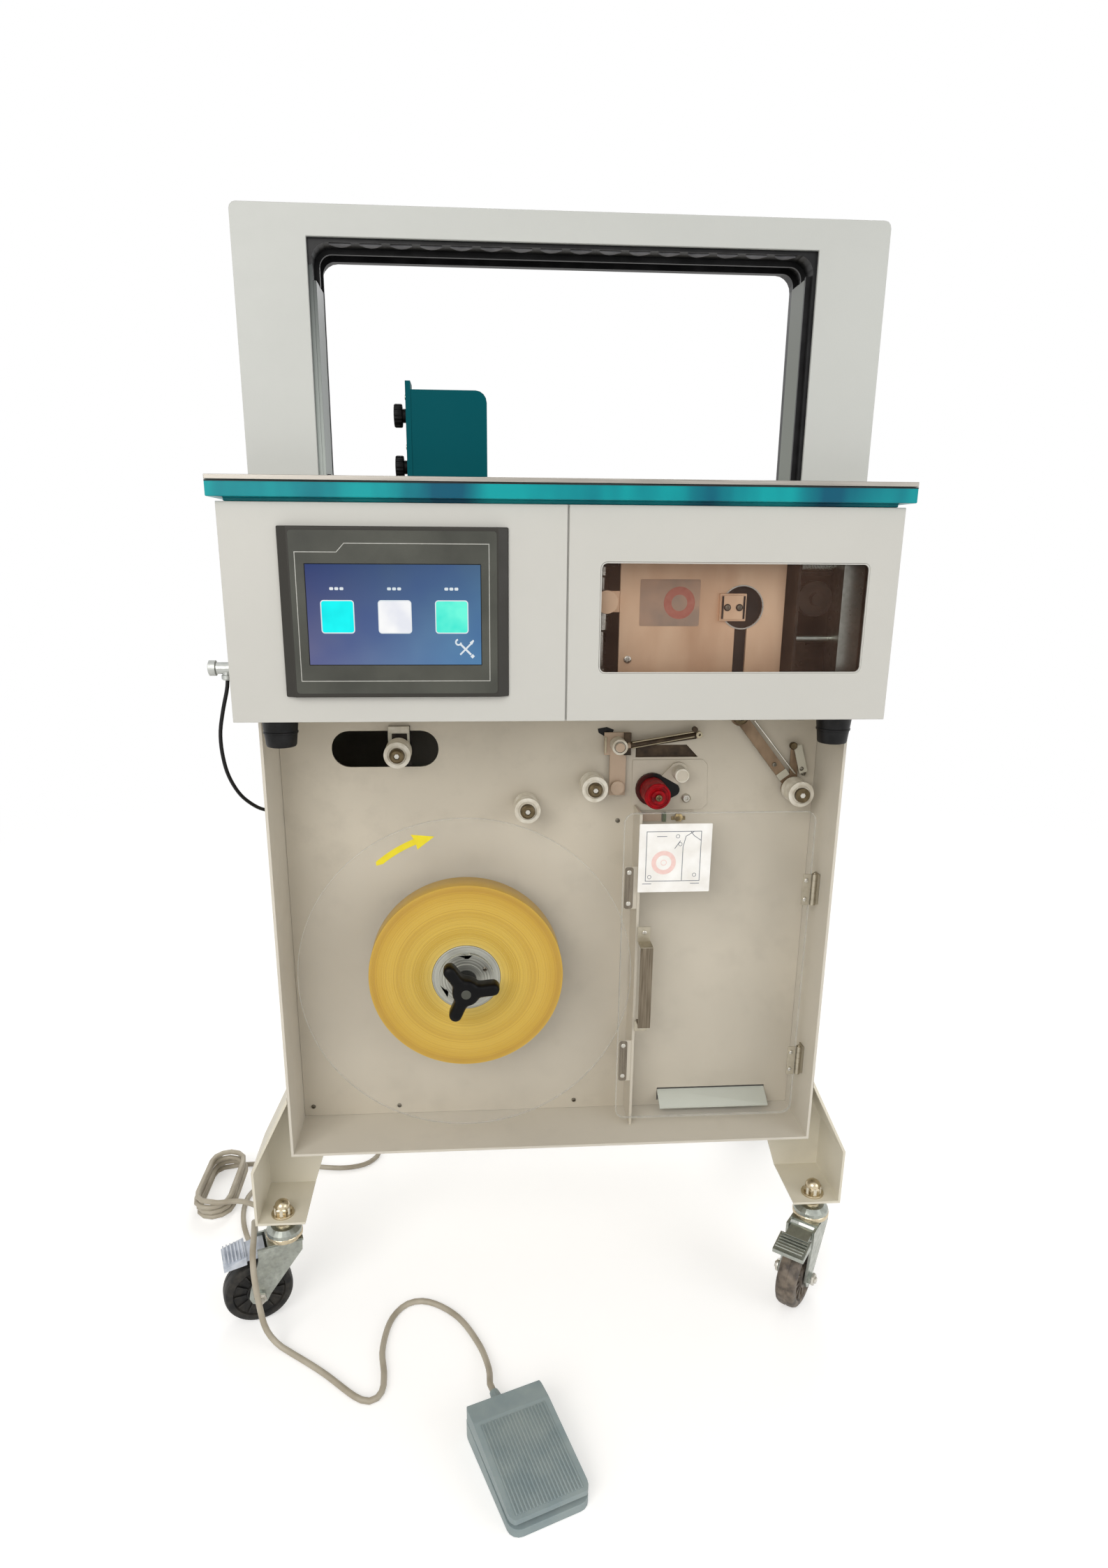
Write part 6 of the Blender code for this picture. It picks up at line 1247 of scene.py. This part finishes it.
# Painted highlight: the same bright hexagon on the lever stud's cap.
turned("lever_stud_centre", [(0, 0), (0.0030, 0), (0.0029, 0.0001), (0, 0.0001)],
       at(LEVER_ROLLER[0], STUD_TIP - 0.0047, LEVER_ROLLER[1]), AHEAD, 6, bright_steel, "lever")

# Slot bracket: a pale folded plate that slides in the round-ended slot. Its CAD body and the keeper behind
# the panel are dressed dark and a dark sheet lies inside its fold, all painted shade; its lighter lip on top
# is painted light.
# Painted shade: the CAD bracket and its keeper behind the panel are dressed dark, as the shade inside the
# bracket.
dress(drive_black, "slot_bracket")
pale_sheet = powder("pale_bracket_coat", tint(190, 186, 170), 0.42, 0.08)
cut_sheet("slot_bracket_face", rounded_box(-0.1796, 0.6641, -0.1564, 0.6996, 0.0010), on_face(0.1369), 0.0005,
          pale_sheet, "slot_slider", rounded=0.0002)
# Painted shade: a dark sheet inside the fold.
cut_sheet("slot_bracket_fold", rounded_box(-0.1755, 0.6800, -0.1590, 0.6915, 0.0008), on_face(0.1364), 0.0001,
          drive_black, "slot_slider")
# Painted light: the lip on top is in lighter white nylon, for light falling on the top fold.
blocks("slot_bracket_lip", [((-0.1790, 0.1340, 0.6925), (-0.1570, 0.1364, 0.6995))], white_nylon,
       "slot_slider", rounded=0.0004)

# Lever: a brown passivated steel bar on a pivot under the head, with a thin rod beside it and a
# pale link down to the roller.
arm_steel, tree, shader = finish("brown_lever_steel", tint(122, 100, 78), 0.46, 0.35, 0.3)
clouds = spread(tree, grain(tree, 0.012, 4.0, (1, 1, 0.4)), 0.3, 0.7, 0, 1)
tree.links.new(mixed(tree, clouds, tint(106, 86, 66), tint(142, 120, 96)), shader.inputs["Base Color"])
tree.links.new(spread(tree, clouds, 0, 1, 0.52, 0.38), shader.inputs["Roughness"])
relief(tree, shader, grain(tree, 0.0008), 0.00002)
dress(arm_steel, "lever_arm")
ease(0.0004, "lever_arm")


def strut(bm, start, end, behind, radius, sides=16):
    """Round rod between two places on an upright plane."""
    foot, tip = at(start[0], behind, start[1]), at(end[0], behind, end[1])
    long = (tip - foot).length
    lathe(bm, [(0, 0), (radius * 0.8, 0), (radius, radius * 0.2), (radius, long - radius * 0.2),
               (radius * 0.8, long), (0, long)], foot, tip - foot, sides)


def bar(bm, start, end, wide, behind, thick):
    """Flat bar with square ends between two places, standing forward from a face."""
    ribbon(bm, [start, end], wide, on_face(behind), thick)


bm = bmesh.new()
strut(bm, (0.2215, 0.7045), (0.2720, 0.6440), 0.1322, 0.0010)
made("lever_rod", bm, bright_steel, "lever", smooth=40)
bm = bmesh.new()
bar(bm, (0.2722, 0.6765), (0.2812, 0.6455), 0.0092, 0.1332, 0.0022)
bar(bm, (0.2560, 0.6460), (0.2610, 0.6395), 0.0130, 0.1338, 0.0008)
made("lever_link", bm, pale_sheet, "lever", rounded=0.0003)
bm = bmesh.new()
lathe(bm, [(0, 0), (0.0040, 0), (0.0042, 0.0010), (0.0042, 0.0040), (0.0034, 0.0050), (0, 0.0050)],
      at(0.2672, 0.1338, 0.6760), AHEAD, 28)
lathe(bm, [(0, 0), (0.0017, 0), (0.0017, 0.0001), (0, 0.0001)], at(0.2728, 0.1321, 0.6700), AHEAD, 20)
made("lever_link_pin", bm, old_bolt, "lever", smooth=40)
link_places = ((0.2480, 0.1339, 0.6545), (0.2785, 0.1320, 0.6500), (0.2822, 0.1338, 0.6440))
screws("lever_plate_screws", "small_pan", dark_steel, "lever",
       [(at(*place), AHEAD) for place in link_places], 24)
screws("pivot_screws", "stud", old_bolt, "cabinet", [(at(0.206, 0.1339, 0.708), AHEAD)], 26)

# Pinch arm: a tan painted bracket that swings up to the slot above it, with a dark block beside
# the small roller and two thin steel rods to a joint at the right. The cut-out under the rods is
# closed by a brown plate behind the panel.
tan_coat = powder("tan_bracket_coat", tint(186, 164, 142), 0.44, 0.10)
dress(tan_coat, "pinch_bracket")
ease(0.0004, "pinch_bracket")
turned("pinch_pivot_cap", [(0, 0), (0.0078, 0), (0.0080, 0.0008), (0.0080, 0.0044), (0.0072, 0.0050),
                           (0.0044, 0.0051), (0.0040, 0.0049), (0, 0.0049)], at(0.0715, 0.1339, 0.630), AHEAD,
       48, tan_coat, "cabinet", smooth=40)
brown_steel, tree, shader = mottled("dark_brown_steel", tint(58, 46, 34),
                                    (tint(44, 34, 25), tint(78, 63, 46)), 0.5, 0.2, 0.25, (0.01, 4.0),
                                    skin=(0.0009, 0.00003))
bm = bmesh.new()
block(bm, at(0.0775, 0.1310, 0.6667), at(0.0853, 0.1340, 0.6914))
# Painted shade: a dark brown sleeve round the CAD rod shows as dark lines around and between the two thin
# rods.
strut(bm, (0.0840, 0.67786), (0.1575, 0.68829), 0.13225, 0.0038, 20)
lathe(bm, [(0, 0), (0.0027, 0), (0.0030, 0.0010), (0.0030, 0.0060), (0, 0.0066)], at(0.1548, 0.1330, 0.6955),
      AHEAD, 24)
lathe(bm, [(0.0055, 0), (0.0061, 0), (0.0061, 0.0003), (0.0055, 0.0003)], at(0.0705, 0.1138, 0.679), AHEAD,
      40, closed=True)
made("pinch_block", bm, brown_steel, "pinch", rounded=0.0003, smooth=40)
bm = bmesh.new()
strut(bm, (0.0860, 0.6815), (0.1545, 0.6930), 0.1285, 0.0009)
strut(bm, (0.0860, 0.6752), (0.1545, 0.6876), 0.1285, 0.0007)
lathe(bm, [(0.0014, 0), (0.0036, 0), (0.0038, 0.0008), (0.0036, 0.0060), (0.0014, 0.0064)],
      at(0.1600, 0.1340, 0.6895), AHEAD, 28, closed=True)
block(bm, at(0.0562, 0.1325, 0.6690), at(0.0582, 0.1340, 0.6870))
made("pinch_rods", bm, zinc("drawn_rod_steel", tint(168, 158, 134), 0.42, 0.15), "pinch", smooth=40)
cut_sheet("pinch_slot", [(0.0490, 0.6950), (0.0500, 0.6905), (0.0560, 0.6868), (0.0640, 0.6868),
                         (0.0670, 0.6938), (0.0590, 0.6968)], on_face(PANEL - 0.0003), 0.0002, black_gap,
          "cabinet")
blocks("path_backing", [((0.0860, 0.1432, 0.6570), (0.1690, 0.1442, 0.6820))], brown_steel, "cabinet")

# Feed: a red rubber roller in a black moulded guard, a white idler beside it, and small brass and
# green fittings under the guard.
FEED, IDLER = (0.1112, 0.627), (0.1401, 0.6467)
guard_plastic_painted_shade, tree, shader = finish("guard_plastic_painted_shade", tint(10, 9, 9), 0.46, 0.0, 0.2)
tree.links.new(spread(tree, grain(tree, 0.01), 0.3, 0.7, 0.36, 0.5), shader.inputs["Roughness"])
# Painted shade: towards its left the guard turns dark red-brown, the red roller's shaded side painted on it.
tree.links.new(mixed(tree, spread(tree, coordinate(tree, "X"), 0.100, 0.114, 0, 1), tint(66, 20, 15),
                     tint(10, 9, 9)), shader.inputs["Base Color"])
relief(tree, shader, grain(tree, 0.0008), 0.00004)
dress(guard_plastic_painted_shade, "roller_guard")
red_rubber, tree, shader = mottled("red_feed_rubber", tint(150, 0, 14), (tint(160, 0, 14), tint(84, 0, 8)),
                                   0.46, 0.0, 0.18, (0.006, 4.0), (0.35, 0.75), skin=(0.0010, 3.0, 0.00008))
bm = bmesh.new()
lathe(bm, [(0.0054, 0.0), (0.0136, 0.0), (0.0144, 0.0008), (0.0144, 0.0322), (0.0136, 0.0333),
           (0.0122, 0.0333), (0.0118, 0.0326), (0.0094, 0.0326), (0.0090, 0.0333), (0.0054, 0.0333)],
      at(FEED[0], 0.1333, FEED[1]), AHEAD, 72, closed=True)
for turn in range(36):
    rib = Matrix.Translation(at(FEED[0], 0.1165, FEED[1])) @ Matrix.Rotation(math.radians(10 * turn), 4, "Y")
    block(bm, (-0.0003, -0.0150, 0.0141), (0.0003, 0.0150, 0.01448), rib)
made("red_roller_grooved", bm, red_rubber, "red_roller", ["red_roller"], smooth=30)
turned("feed_cap", [(0, 0), (0.0079, 0), (0.0079, 0.0042), (0.0074, 0.0049), (0.0050, 0.0049),
                    (0.0046, 0.0046), (0, 0.0046)], at(FEED[0], 0.0999, FEED[1]), AHEAD, 56, red_rubber,
       "cabinet", smooth=40)
screws("feed_screw", "pan", old_bolt, "cabinet", [(at(FEED[0], 0.0953, FEED[1]), AHEAD)], 27)
turned("idler_button", [(0, 0), (0.0079, 0), (0.0081, 0.0006), (0.0081, 0.0040), (0.0076, 0.0050),
                        (0.0062, 0.0052), (0.0058, 0.0046), (0, 0.0046)], at(IDLER[0], 0.1193, IDLER[1]),
       AHEAD, 56, white_nylon, "cabinet", smooth=40)
turned("idler_centre", [(0, 0.0044), (0.0054, 0.0044), (0.0054, 0.0048), (0, 0.0048)],
       at(IDLER[0], 0.1193, IDLER[1]), AHEAD, 40, recess_coat, "cabinet", smooth=40)
bm = bmesh.new()
ear = arc(IDLER, 0.0109, -80, 145, 40) + [(0.1170, 0.6378), (0.1180, 0.6300), (0.1230, 0.6275),
                                          (0.1400, 0.6330)]
sheet_shape(bm, ear, on_face(PANEL - 0.0003), 0.00585)
sheet_shape(bm, [(0.0890, 0.6080), (0.1000, 0.6020), (0.1690, 0.6020), (0.1755, 0.6090), (0.1735, 0.6540),
                 (0.1680, 0.6598), (0.0890, 0.6598)], on_face(PANEL - 0.0003), 0.0008)
block(bm, at(0.0985, 0.1382, 0.6002), at(0.1602, PANEL - 0.0003, 0.6012))
made("feed_plate", bm, recess_coat, "cabinet", rounded=0.0003)
screws("feed_small_screws", "socket", bright_steel, "cabinet", [(at(0.1507, 0.1389, 0.6159), AHEAD)], 28)
panel_places = ((0.0740, 0.590), (-0.286, 0.236), (-0.183, 0.234), (0.030, 0.234), (-0.286, 0.700))
screws("panel_screws", "small_pan", dark_steel, "cabinet",
       [(at(x, PANEL - 0.0001, z), AHEAD) for x, z in panel_places], 29)
brass, tree, shader = mottled("brass", tint(168, 144, 96), (tint(126, 106, 66), tint(190, 168, 118)), 0.36,
                              0.8, 0.5, (0.006, 4.0), skin=(0.0008, 0.00003))
bm = bmesh.new()
lathe(bm, [(0, 0), (0.0050, 0), (0.0053, 0.0010), (0.0053, 0.0040), (0.0030, 0.0050), (0, 0.0050)],
      at(0.1430, PANEL - 0.0003, 0.5936), AHEAD, 6)
block(bm, at(0.1350, 0.1375, 0.5905), at(0.1510, PANEL - 0.0003, 0.5945))
made("feed_brass_fitting", bm, brass, "cabinet", rounded=0.0003)
blocks("feed_sensor_plate", [((0.0985, 0.1382, 0.5890), (0.1238, PANEL - 0.0003, 0.5990))], tan_coat,
       "cabinet", rounded=0.0003)
green_board, tree, shader = mottled("green_board", tint(84, 98, 66), (tint(66, 80, 50), tint(104, 114, 82)),
                                    0.5, 0.0, 0.3, (0.004, 3.0), (0, 1))
blocks("feed_sensor", [((0.1248, 0.1370, 0.5885), (0.1290, PANEL - 0.0003, 0.5995))], green_board, "cabinet",
       rounded=0.0004)

# Film box: the clear door hangs on two steel hinges at the right and closes on steel catches; it
# has a folded steel handle and a plain white card with a simple threading sketch, no words.
RIM_LEFT, RIM_RIGHT, RIM_LOW, RIM_HIGH = 0.0747, 0.2873, 0.2347, 0.6103
CATCHES, HINGES = ((0.4985, 0.5480), (0.2825, 0.3350)), ((0.5015, 0.5380), (0.2880, 0.3240))
LEAF_FACE, PIN_X, KNUCKLE_R, KNUCKLES, CARD_FACE = 0.0935, 0.2908, 0.0033, 5, 0.0944
dress(clear_plastic, "film_door")
door_steel, tree, shader = finish("door_steel", tint(112, 101, 86), 0.44, 0.6, 0.3)
lines = grain(tree, 0.0012, 3.0, (1, 1, 0.03))
tree.links.new(mixed(tree, spread(tree, lines, 0.3, 0.7, 0, 1), tint(92, 82, 68), tint(132, 121, 104)),
               shader.inputs["Base Color"])
tree.links.new(spread(tree, grain(tree, 0.01), 0.3, 0.7, 0.38, 0.52), shader.inputs["Roughness"])
relief(tree, shader, lines, 0.00002)
dress(door_steel, "door_handle")
pale_steel = zinc("pale_door_steel", tint(178, 170, 152), 0.40, 0.14)
dress(pale_steel, "door_hinge_upper", "door_hinge_lower")
ease(0.0004, "door_handle", "door_hinge_upper", "door_hinge_lower")
# The door's rim, in the pale edge material, is frosted cut edge and painted highlight.
bm = bmesh.new()
rim = []
for inset, corner in ((0, 0.0118), (0.0008, 0.0110)):
    rim.append(rounded_box(RIM_LEFT + inset, RIM_LOW + inset, RIM_RIGHT - inset, RIM_HIGH - inset, corner))
ring_shape(bm, rim[0], rim[1], on_face(0.0976), 0.0032)
made("film_door_edge", bm, clear_edge_and_highlight, "film_door", smooth=50)
bm = bmesh.new()
for low_z, high_z in ((0.3500, 0.3628), (0.4607, 0.4790)):
    block(bm, at(0.0934, 0.0934, low_z), at(0.1079, 0.0944, high_z))
block(bm, at(0.0944, 0.0758, 0.4606), at(0.1086, 0.0942, 0.4613))
made("handle_flanges", bm, pale_steel, "film_door", rounded=0.0003)
screws("handle_screws", "small_pan", bright_steel, "film_door",
       [(at(0.1010, 0.0934, z), AHEAD) for z in (0.3560, 0.4725)], 31)
bm = bmesh.new()
for low_z, high_z in CATCHES:
    sheet_shape(bm, rounded_box(0.0777, low_z + 0.0003, 0.0872, high_z - 0.0003, 0.0030), on_face(0.0991),
                0.0007)
made("door_catches", bm, door_steel, "cabinet", rounded=0.0002)
bm = bmesh.new()
for low_z, high_z in CATCHES:
    for z in (low_z + 0.0065, high_z - 0.0065):
        lathe(bm, [(0, 0), (0.0026, 0), (0.0022, 0.0003), (0.0008, 0.0003), (0.0008, 0.0001), (0, 0.0001)],
              at(0.0824, 0.0984, z), AHEAD, 24)
made("catch_screws", bm, bright_steel, "cabinet", smooth=40)
hinge_places = []
leaf_places = []
leaves = bmesh.new()
bm = bmesh.new()
for low_z, high_z in HINGES:
    knuckle = (high_z - low_z) / KNUCKLES
    for i in range(KNUCKLES):
        lathe(bm, [(0, 0.0002), (KNUCKLE_R, 0.0002), (KNUCKLE_R, knuckle - 0.0002), (0, knuckle - 0.0002)],
              at(PIN_X, 0.0945, low_z + knuckle * i), UPWARD, 24)
    lathe(bm, [(0, 0), (0.0016, 0), (0.0016, 0.0014), (0, 0.0020)], at(PIN_X, 0.0945, high_z), UPWARD, 16)
    block(leaves, at(0.2775, LEAF_FACE, low_z), at(0.2866, 0.0944, high_z))
    hinge_places += [(at(0.2951, 0.1020, z), LEFTWARD) for z in (low_z + 0.007, high_z - 0.007)]
    leaf_places += [(at(0.2812, LEAF_FACE, z), AHEAD) for z in (low_z + 0.007, high_z - 0.007)]
made("hinge_knuckles", bm, pale_steel, "cabinet", smooth=40)
made("hinge_leaves", leaves, pale_steel, "film_door", rounded=0.0002)
screws("hinge_screws", "small_pan", bright_steel, "cabinet", hinge_places, 32)
screws("leaf_screws", "small_pan", bright_steel, "film_door", leaf_places, 33)
card, tree, shader = mottled("white_card", tint(240, 238, 234), (tint(232, 229, 223), tint(246, 245, 242)),
                             0.55, 0.0, 0.5, (0.02, 4.0), skin=(0.001, 0.00002))
ink, tree, shader = mottled("sketch_ink", tint(96, 102, 112), (tint(84, 90, 102), tint(132, 136, 144)), 0.6,
                            0.0, 0.5, (0.004,), (0, 1))
red_ink, tree, shader = mottled("sketch_red_ink", tint(238, 206, 200),
                                (tint(232, 194, 187), tint(243, 216, 210)), 0.6, 0.0, 0.2, (0.004,), (0, 1))
cut_sheet("threading_card", rounded_box(0.0915, 0.5198, 0.1717, 0.5982, 0.001), on_face(CARD_FACE), 0.0003,
          card, "film_door")
ART = on_face(CARD_FACE - 0.0003)
bm = bmesh.new()
for path, closed in (([(0.0997, 0.5327), (0.1599, 0.5327), (0.1599, 0.5895), (0.0997, 0.5895)], True),
                     ([(0.1401, 0.5327), (0.1401, 0.5720), (0.1430, 0.5840), (0.1520, 0.5895)], False),
                     ([(0.1599, 0.5790), (0.1520, 0.5845), (0.1480, 0.5895)], False),
                     ([(0.0965, 0.5296), (0.1065, 0.5296)], False),
                     ([(0.1500, 0.5296), (0.1600, 0.5296)], False),
                     ([(0.1110, 0.5840), (0.1220, 0.5840)], False),
                     ([(0.1310, 0.5700), (0.1370, 0.5790)], False)):
    ribbon(bm, path, 0.0007, ART, 0.0001, closed)
for x, z in ((0.1340, 0.5840), (0.1370, 0.5750), (0.1540, 0.5395), (0.1040, 0.5375)):
    ribbon(bm, arc((x, z), 0.0020, 0, 330, 11), 0.0005, ART, 0.00012, closed=True)
made("threading_sketch", bm, ink, "film_door")
bm = bmesh.new()
ribbon(bm, arc((0.1194, 0.5540), 0.0110, 0, 354, 59), 0.0050, ART, 0.0001, closed=True)
ribbon(bm, arc((0.1194, 0.5540), 0.0030, 0, 345, 23), 0.0006, ART, 0.0001, closed=True)
made("threading_sketch_roll", bm, red_ink, "film_door")

# Chute: a pale flap of thin sheet, powder coated, at the foot of the film box. It swings open to
# let waste film out.
chute_coat = powder("chute_coat", tint(196, 200, 190), 0.42, 0.06)
dress(chute_coat, "chute_flap")
ease(0.0005, "chute_flap")

# Side fitting: a turned push-in elbow on the head's left side, pale plated, with thin release
# collars. The black cable leaves it downwards.
fitting_steel = zinc("fitting_plate", tint(188, 190, 186), 0.42, 0.10)
dress(fitting_steel, "side_fitting")
ease(0.0004, "side_fitting")
bm = bmesh.new()
lathe(bm, [(0.0062, 0), (0.0078, 0.0008), (0.0078, 0.0072), (0.0062, 0.0080)], at(-0.3450, 0.100, 0.766),
      LEFTWARD, 40, closed=True)
lathe(bm, [(0.0046, 0), (0.0056, 0.0006), (0.0056, 0.0042), (0.0046, 0.0048)], at(-0.3355, 0.100, 0.7545),
      UPWARD, 32, closed=True)
made("fitting_collars", bm, fitting_steel, "cabinet", smooth=40)

# Foot pedal: a base moulded in grey-blue plastic and a wedge-shaped treadle over it, with rounded
# edges and fine ribs lengthwise for grip.
pedal_plastic, tree, shader = mottled("pedal_plastic", tint(143, 158, 160),
                                      (tint(136, 151, 154), tint(154, 166, 166)), 0.52, 0.0, 0.3, (0.03, 5.0),
                                      skin=(0.0009, 0.00004))
dress(pedal_plastic, "pedal_base", "pedal_treadle")
ease(0.0012, "pedal_base", segments=3)
ease(0.0030, "pedal_treadle", segments=4, angle=25)
PEDAL_TURN = math.radians(-69.6)
PEDAL_AT = (-0.068, -0.092)
RIBS, RIB_STEP = 20, 0.0036
PEDAL_STAND = Matrix.Translation(at(*PEDAL_AT, 0)) @ Matrix.Rotation(PEDAL_TURN, 4, "Z")
bm = bmesh.new()
rib_side = [(0.0340, 0.03745), (0.0340, 0.03785), (0.0352, 0.03812), (0.1230, 0.02285), (0.1242, 0.02232),
            (0.1242, 0.02180)]
sheet_shape(bm, rib_side, lambda u, v, w: PEDAL_STAND @ Vector((u, -0.0352 + w, v)), 0.0016)
rib_step = PEDAL_STAND.to_3x3() @ Vector((0, RIB_STEP, 0))
repeated("treadle_ribs", bm, (RIBS, 1), (tuple(rib_step), (0.0, 0.0, 0.01)), pedal_plastic, "treadle")

# Leads: the grey pedal lead hangs from a gland under the cabinet, lies in a slack bundle beside
# the left leg, passes over the front left brake and ends in the foot pedal. One length of 7 mm
# round PVC. A thin black cable goes from the side fitting to a grommet in the cabinet's side.
LEAD_R = 0.0035
LIE = LEAD_R + 0.0003
TAIL_ROUTE = [
    (-0.240, 0.420, 0.2077), (-0.2395, 0.4195, 0.160), (-0.2375, 0.417, 0.100), (-0.2355, 0.408, 0.050),
    (-0.236, 0.390, 0.015), (-0.241, 0.371, LIE), (-0.257, 0.353, LIE), (-0.286, 0.346, LIE),
    (-0.321, 0.350, LIE), (-0.358, 0.358, LIE), (-0.400, 0.363, LIE)]
RUN_ROUTE = [(-0.410, 0.2405, 0.0310), (-0.385, 0.245, 0.0170), (-0.361, 0.260, LEAD_R + 0.0012),
             (-0.349, 0.285, LIE), (-0.357, 0.308, LIE), (-0.377, 0.321, LIE), (-0.398, 0.314, LIE),
             (-0.412, 0.292, LIE), (-0.414, 0.265, LIE), (-0.409, 0.236, LIE), (-0.399, 0.208, LIE),
             (-0.380, 0.168, LIE), (-0.371, 0.142, 0.0170), (-0.364, 0.122, 0.0640), (-0.359, 0.104, 0.1020),
             (-0.354, 0.082, 0.1110), (-0.350, 0.060, 0.1110), (-0.347, 0.040, 0.1080),
             (-0.344, 0.027, 0.0900), (-0.340, 0.021, 0.0600), (-0.334, 0.017, 0.0280),
             (-0.322, 0.014, 0.0080), (-0.303, 0.002, LIE), (-0.263, -0.028, LIE), (-0.224, -0.062, LIE),
             (-0.206, -0.068, LIE), (-0.196, -0.056, LIE), (-0.196, -0.032, LIE), (-0.2005, 0.0015, LIE),
             (-0.194, 0.045, LIE), (-0.175, 0.070, LIE), (-0.148, 0.070, LIE), (-0.115, 0.0445, LIE),
             (-0.091, 0.003, LIE + 0.0003), (-0.080, -0.035, 0.0075)]
CABLE_ROUTE = [
    (-0.3355, 0.100, 0.7537), (-0.3370, 0.100, 0.744), (-0.3430, 0.1005, 0.722), (-0.3480, 0.103, 0.699),
    (-0.3490, 0.108, 0.675), (-0.3470, 0.118, 0.650), (-0.3400, 0.133, 0.626), (-0.3290, 0.152, 0.608),
    (-0.3200, 0.171, 0.5985), (-0.309, 0.180, 0.596)]
BUNDLE_AT = (-0.452, 0.300)
BEND, STRAIGHT, LOOPS, RISE, SWAY, STEPS = 0.0225, 0.0375, 3.5, 0.0082, 0.0022, 24


def flowing(route, step):
    """Evenly spaced points on a smooth curve through the route's points."""
    points = [Vector(place) for place in route]
    fine = []
    for i in range(len(points) - 1):
        before = points[i - 1] if i else points[0] * 2 - points[1]
        after = points[i + 2] if i + 2 < len(points) else points[-1] * 2 - points[-2]
        for k in range(40):
            t = k / 40
            fine.append(0.5 * (2 * points[i] + (points[i + 1] - before) * t
                               + (2 * before - 5 * points[i] + 4 * points[i + 1] - after) * t * t
                               + (3 * points[i] - before - 3 * points[i + 1] + after) * t ** 3))
    fine.append(points[-1])
    travelled = [0]
    for a, b in zip(fine, fine[1:]):
        travelled.append(travelled[-1] + (b - a).length)
    pieces = max(2, math.ceil(travelled[-1] / step))
    spaced = []
    j = 0
    for i in range(pieces + 1):
        want = travelled[-1] * i / pieces
        while j < len(fine) - 2 and travelled[j + 1] < want:
            j += 1
        share = (want - travelled[j]) / (travelled[j + 1] - travelled[j])
        place = fine[j].lerp(fine[j + 1], min(max(share, 0), 1))
        place.z = max(place.z, LIE)
        spaced.append(place)
    return spaced


def bundle_points():
    """Slack wound in flat loops on the floor, each a little above and beside the last."""
    around = 2 * math.pi * BEND + 4 * STRAIGHT
    half = math.pi * BEND / 2
    points = []
    for i in range(int(LOOPS * STEPS) + 1):
        loops = i / STEPS
        way = (loops * around) % around
        if way < half:
            angle = math.pi / 2 + way / BEND
            x, y = BEND * math.cos(angle), STRAIGHT + BEND * math.sin(angle)
        elif way < half + 2 * STRAIGHT:
            x, y = -BEND, STRAIGHT - (way - half)
        elif way < 3 * half + 2 * STRAIGHT:
            angle = math.pi + (way - half - 2 * STRAIGHT) / BEND
            x, y = BEND * math.cos(angle), -STRAIGHT + BEND * math.sin(angle)
        elif way < 3 * half + 4 * STRAIGHT:
            x, y = BEND, -STRAIGHT + (way - 3 * half - 2 * STRAIGHT)
        else:
            angle = (way - 3 * half - 4 * STRAIGHT) / BEND
            x, y = BEND * math.cos(angle), STRAIGHT + BEND * math.sin(angle)
        sway = SWAY * math.sin(loops * 2.1) * math.sin(math.pi * loops / LOOPS)
        points.append(at(BUNDLE_AT[0] + x + sway, BUNDLE_AT[1] + y + sway, LIE + RISE * loops))
    return points


def cable(name, points, radius, material, body, stands_for):
    """Curve of one open spline with a round section."""
    curve = bpy.data.curves.new(name, "CURVE")
    curve.dimensions = "3D"
    curve.bevel_depth = radius
    curve.bevel_resolution = 6
    curve.use_fill_caps = True
    spline = curve.splines.new("POLY")
    spline.points.add(len(points) - 1)
    for point, place in zip(spline.points, points):
        point.co = (*place, 1)
    spline.use_smooth = True
    curve.materials.append(material)
    thing = bpy.data.objects.new(name, curve)
    scene.collection.objects.link(thing)
    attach(thing, body)
    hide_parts(*stands_for)
    return thing


bundle = bundle_points()
first = (bundle[1] - bundle[0]).normalized()
last = (bundle[-1] - bundle[-2]).normalized()
boot = Matrix.Rotation(PEDAL_TURN, 4, "Z") @ Vector((1, 0, 0))
boot_tip = at(*PEDAL_AT, 0.013) - boot * (0.020 + 0.0003)
tail = flowing([at(*place) for place in TAIL_ROUTE] + [bundle[0] - first * 0.0108], 0.009)
run = flowing([bundle[-1] + last * 0.0108] + [at(*place) for place in RUN_ROUTE]
              + [boot_tip - boot * 0.0105], 0.009)
lead_points = tail + bundle + run + [boot_tip]
lead_pvc, tree, shader = finish("grey_lead_pvc", tint(176, 168, 150), 0.46)
dirt = spread(tree, grain(tree, 0.03, 5.0), 0.40, 0.75, 0, 0.7)
tree.links.new(mixed(tree, dirt, tint(180, 172, 155), tint(138, 126, 106)), shader.inputs["Base Color"])
relief(tree, shader, grain(tree, 0.003, 2.0), 0.00006)
lead = cable("pedal_lead", lead_points, LEAD_R, lead_pvc, "cabinet", ["lead_tail", "lead_bundle", "lead_run"])
turned("lead_gland", [(0.0040, -0.0002), (0.0108, -0.0002), (0.0108, 0.0050), (0.0088, 0.0062),
                      (0.0080, 0.0120), (0.0064, 0.0140), (0.0040, 0.0140)], at(*TAIL_ROUTE[0][:2], 0.2079),
       (0, 0, -1), 40, knob_plastic, "cabinet", closed=True, smooth=40)
turned("cable_grommet", [(0.0022, -0.0004), (0.0056, -0.0004), (0.0056, 0.0012), (0.0044, 0.0022),
                         (0.0022, 0.0022)], at(-0.3031, 0.180, 0.596), LEFTWARD, 36, rubber, "cabinet",
       closed=True, smooth=40)
cable_black, tree, shader = finish("black_cable_pvc", tint(14, 14, 15), 0.46, 0.0, 0.25)
relief(tree, shader, grain(tree, 0.002), 0.00004)
cable_points = flowing([at(*place) for place in CABLE_ROUTE], 0.006) + [at(-0.3036, 0.180, 0.596)]
side_cable = cable("sensor_cable", cable_points, 0.002, cable_black, "cabinet", ["side_cable"])
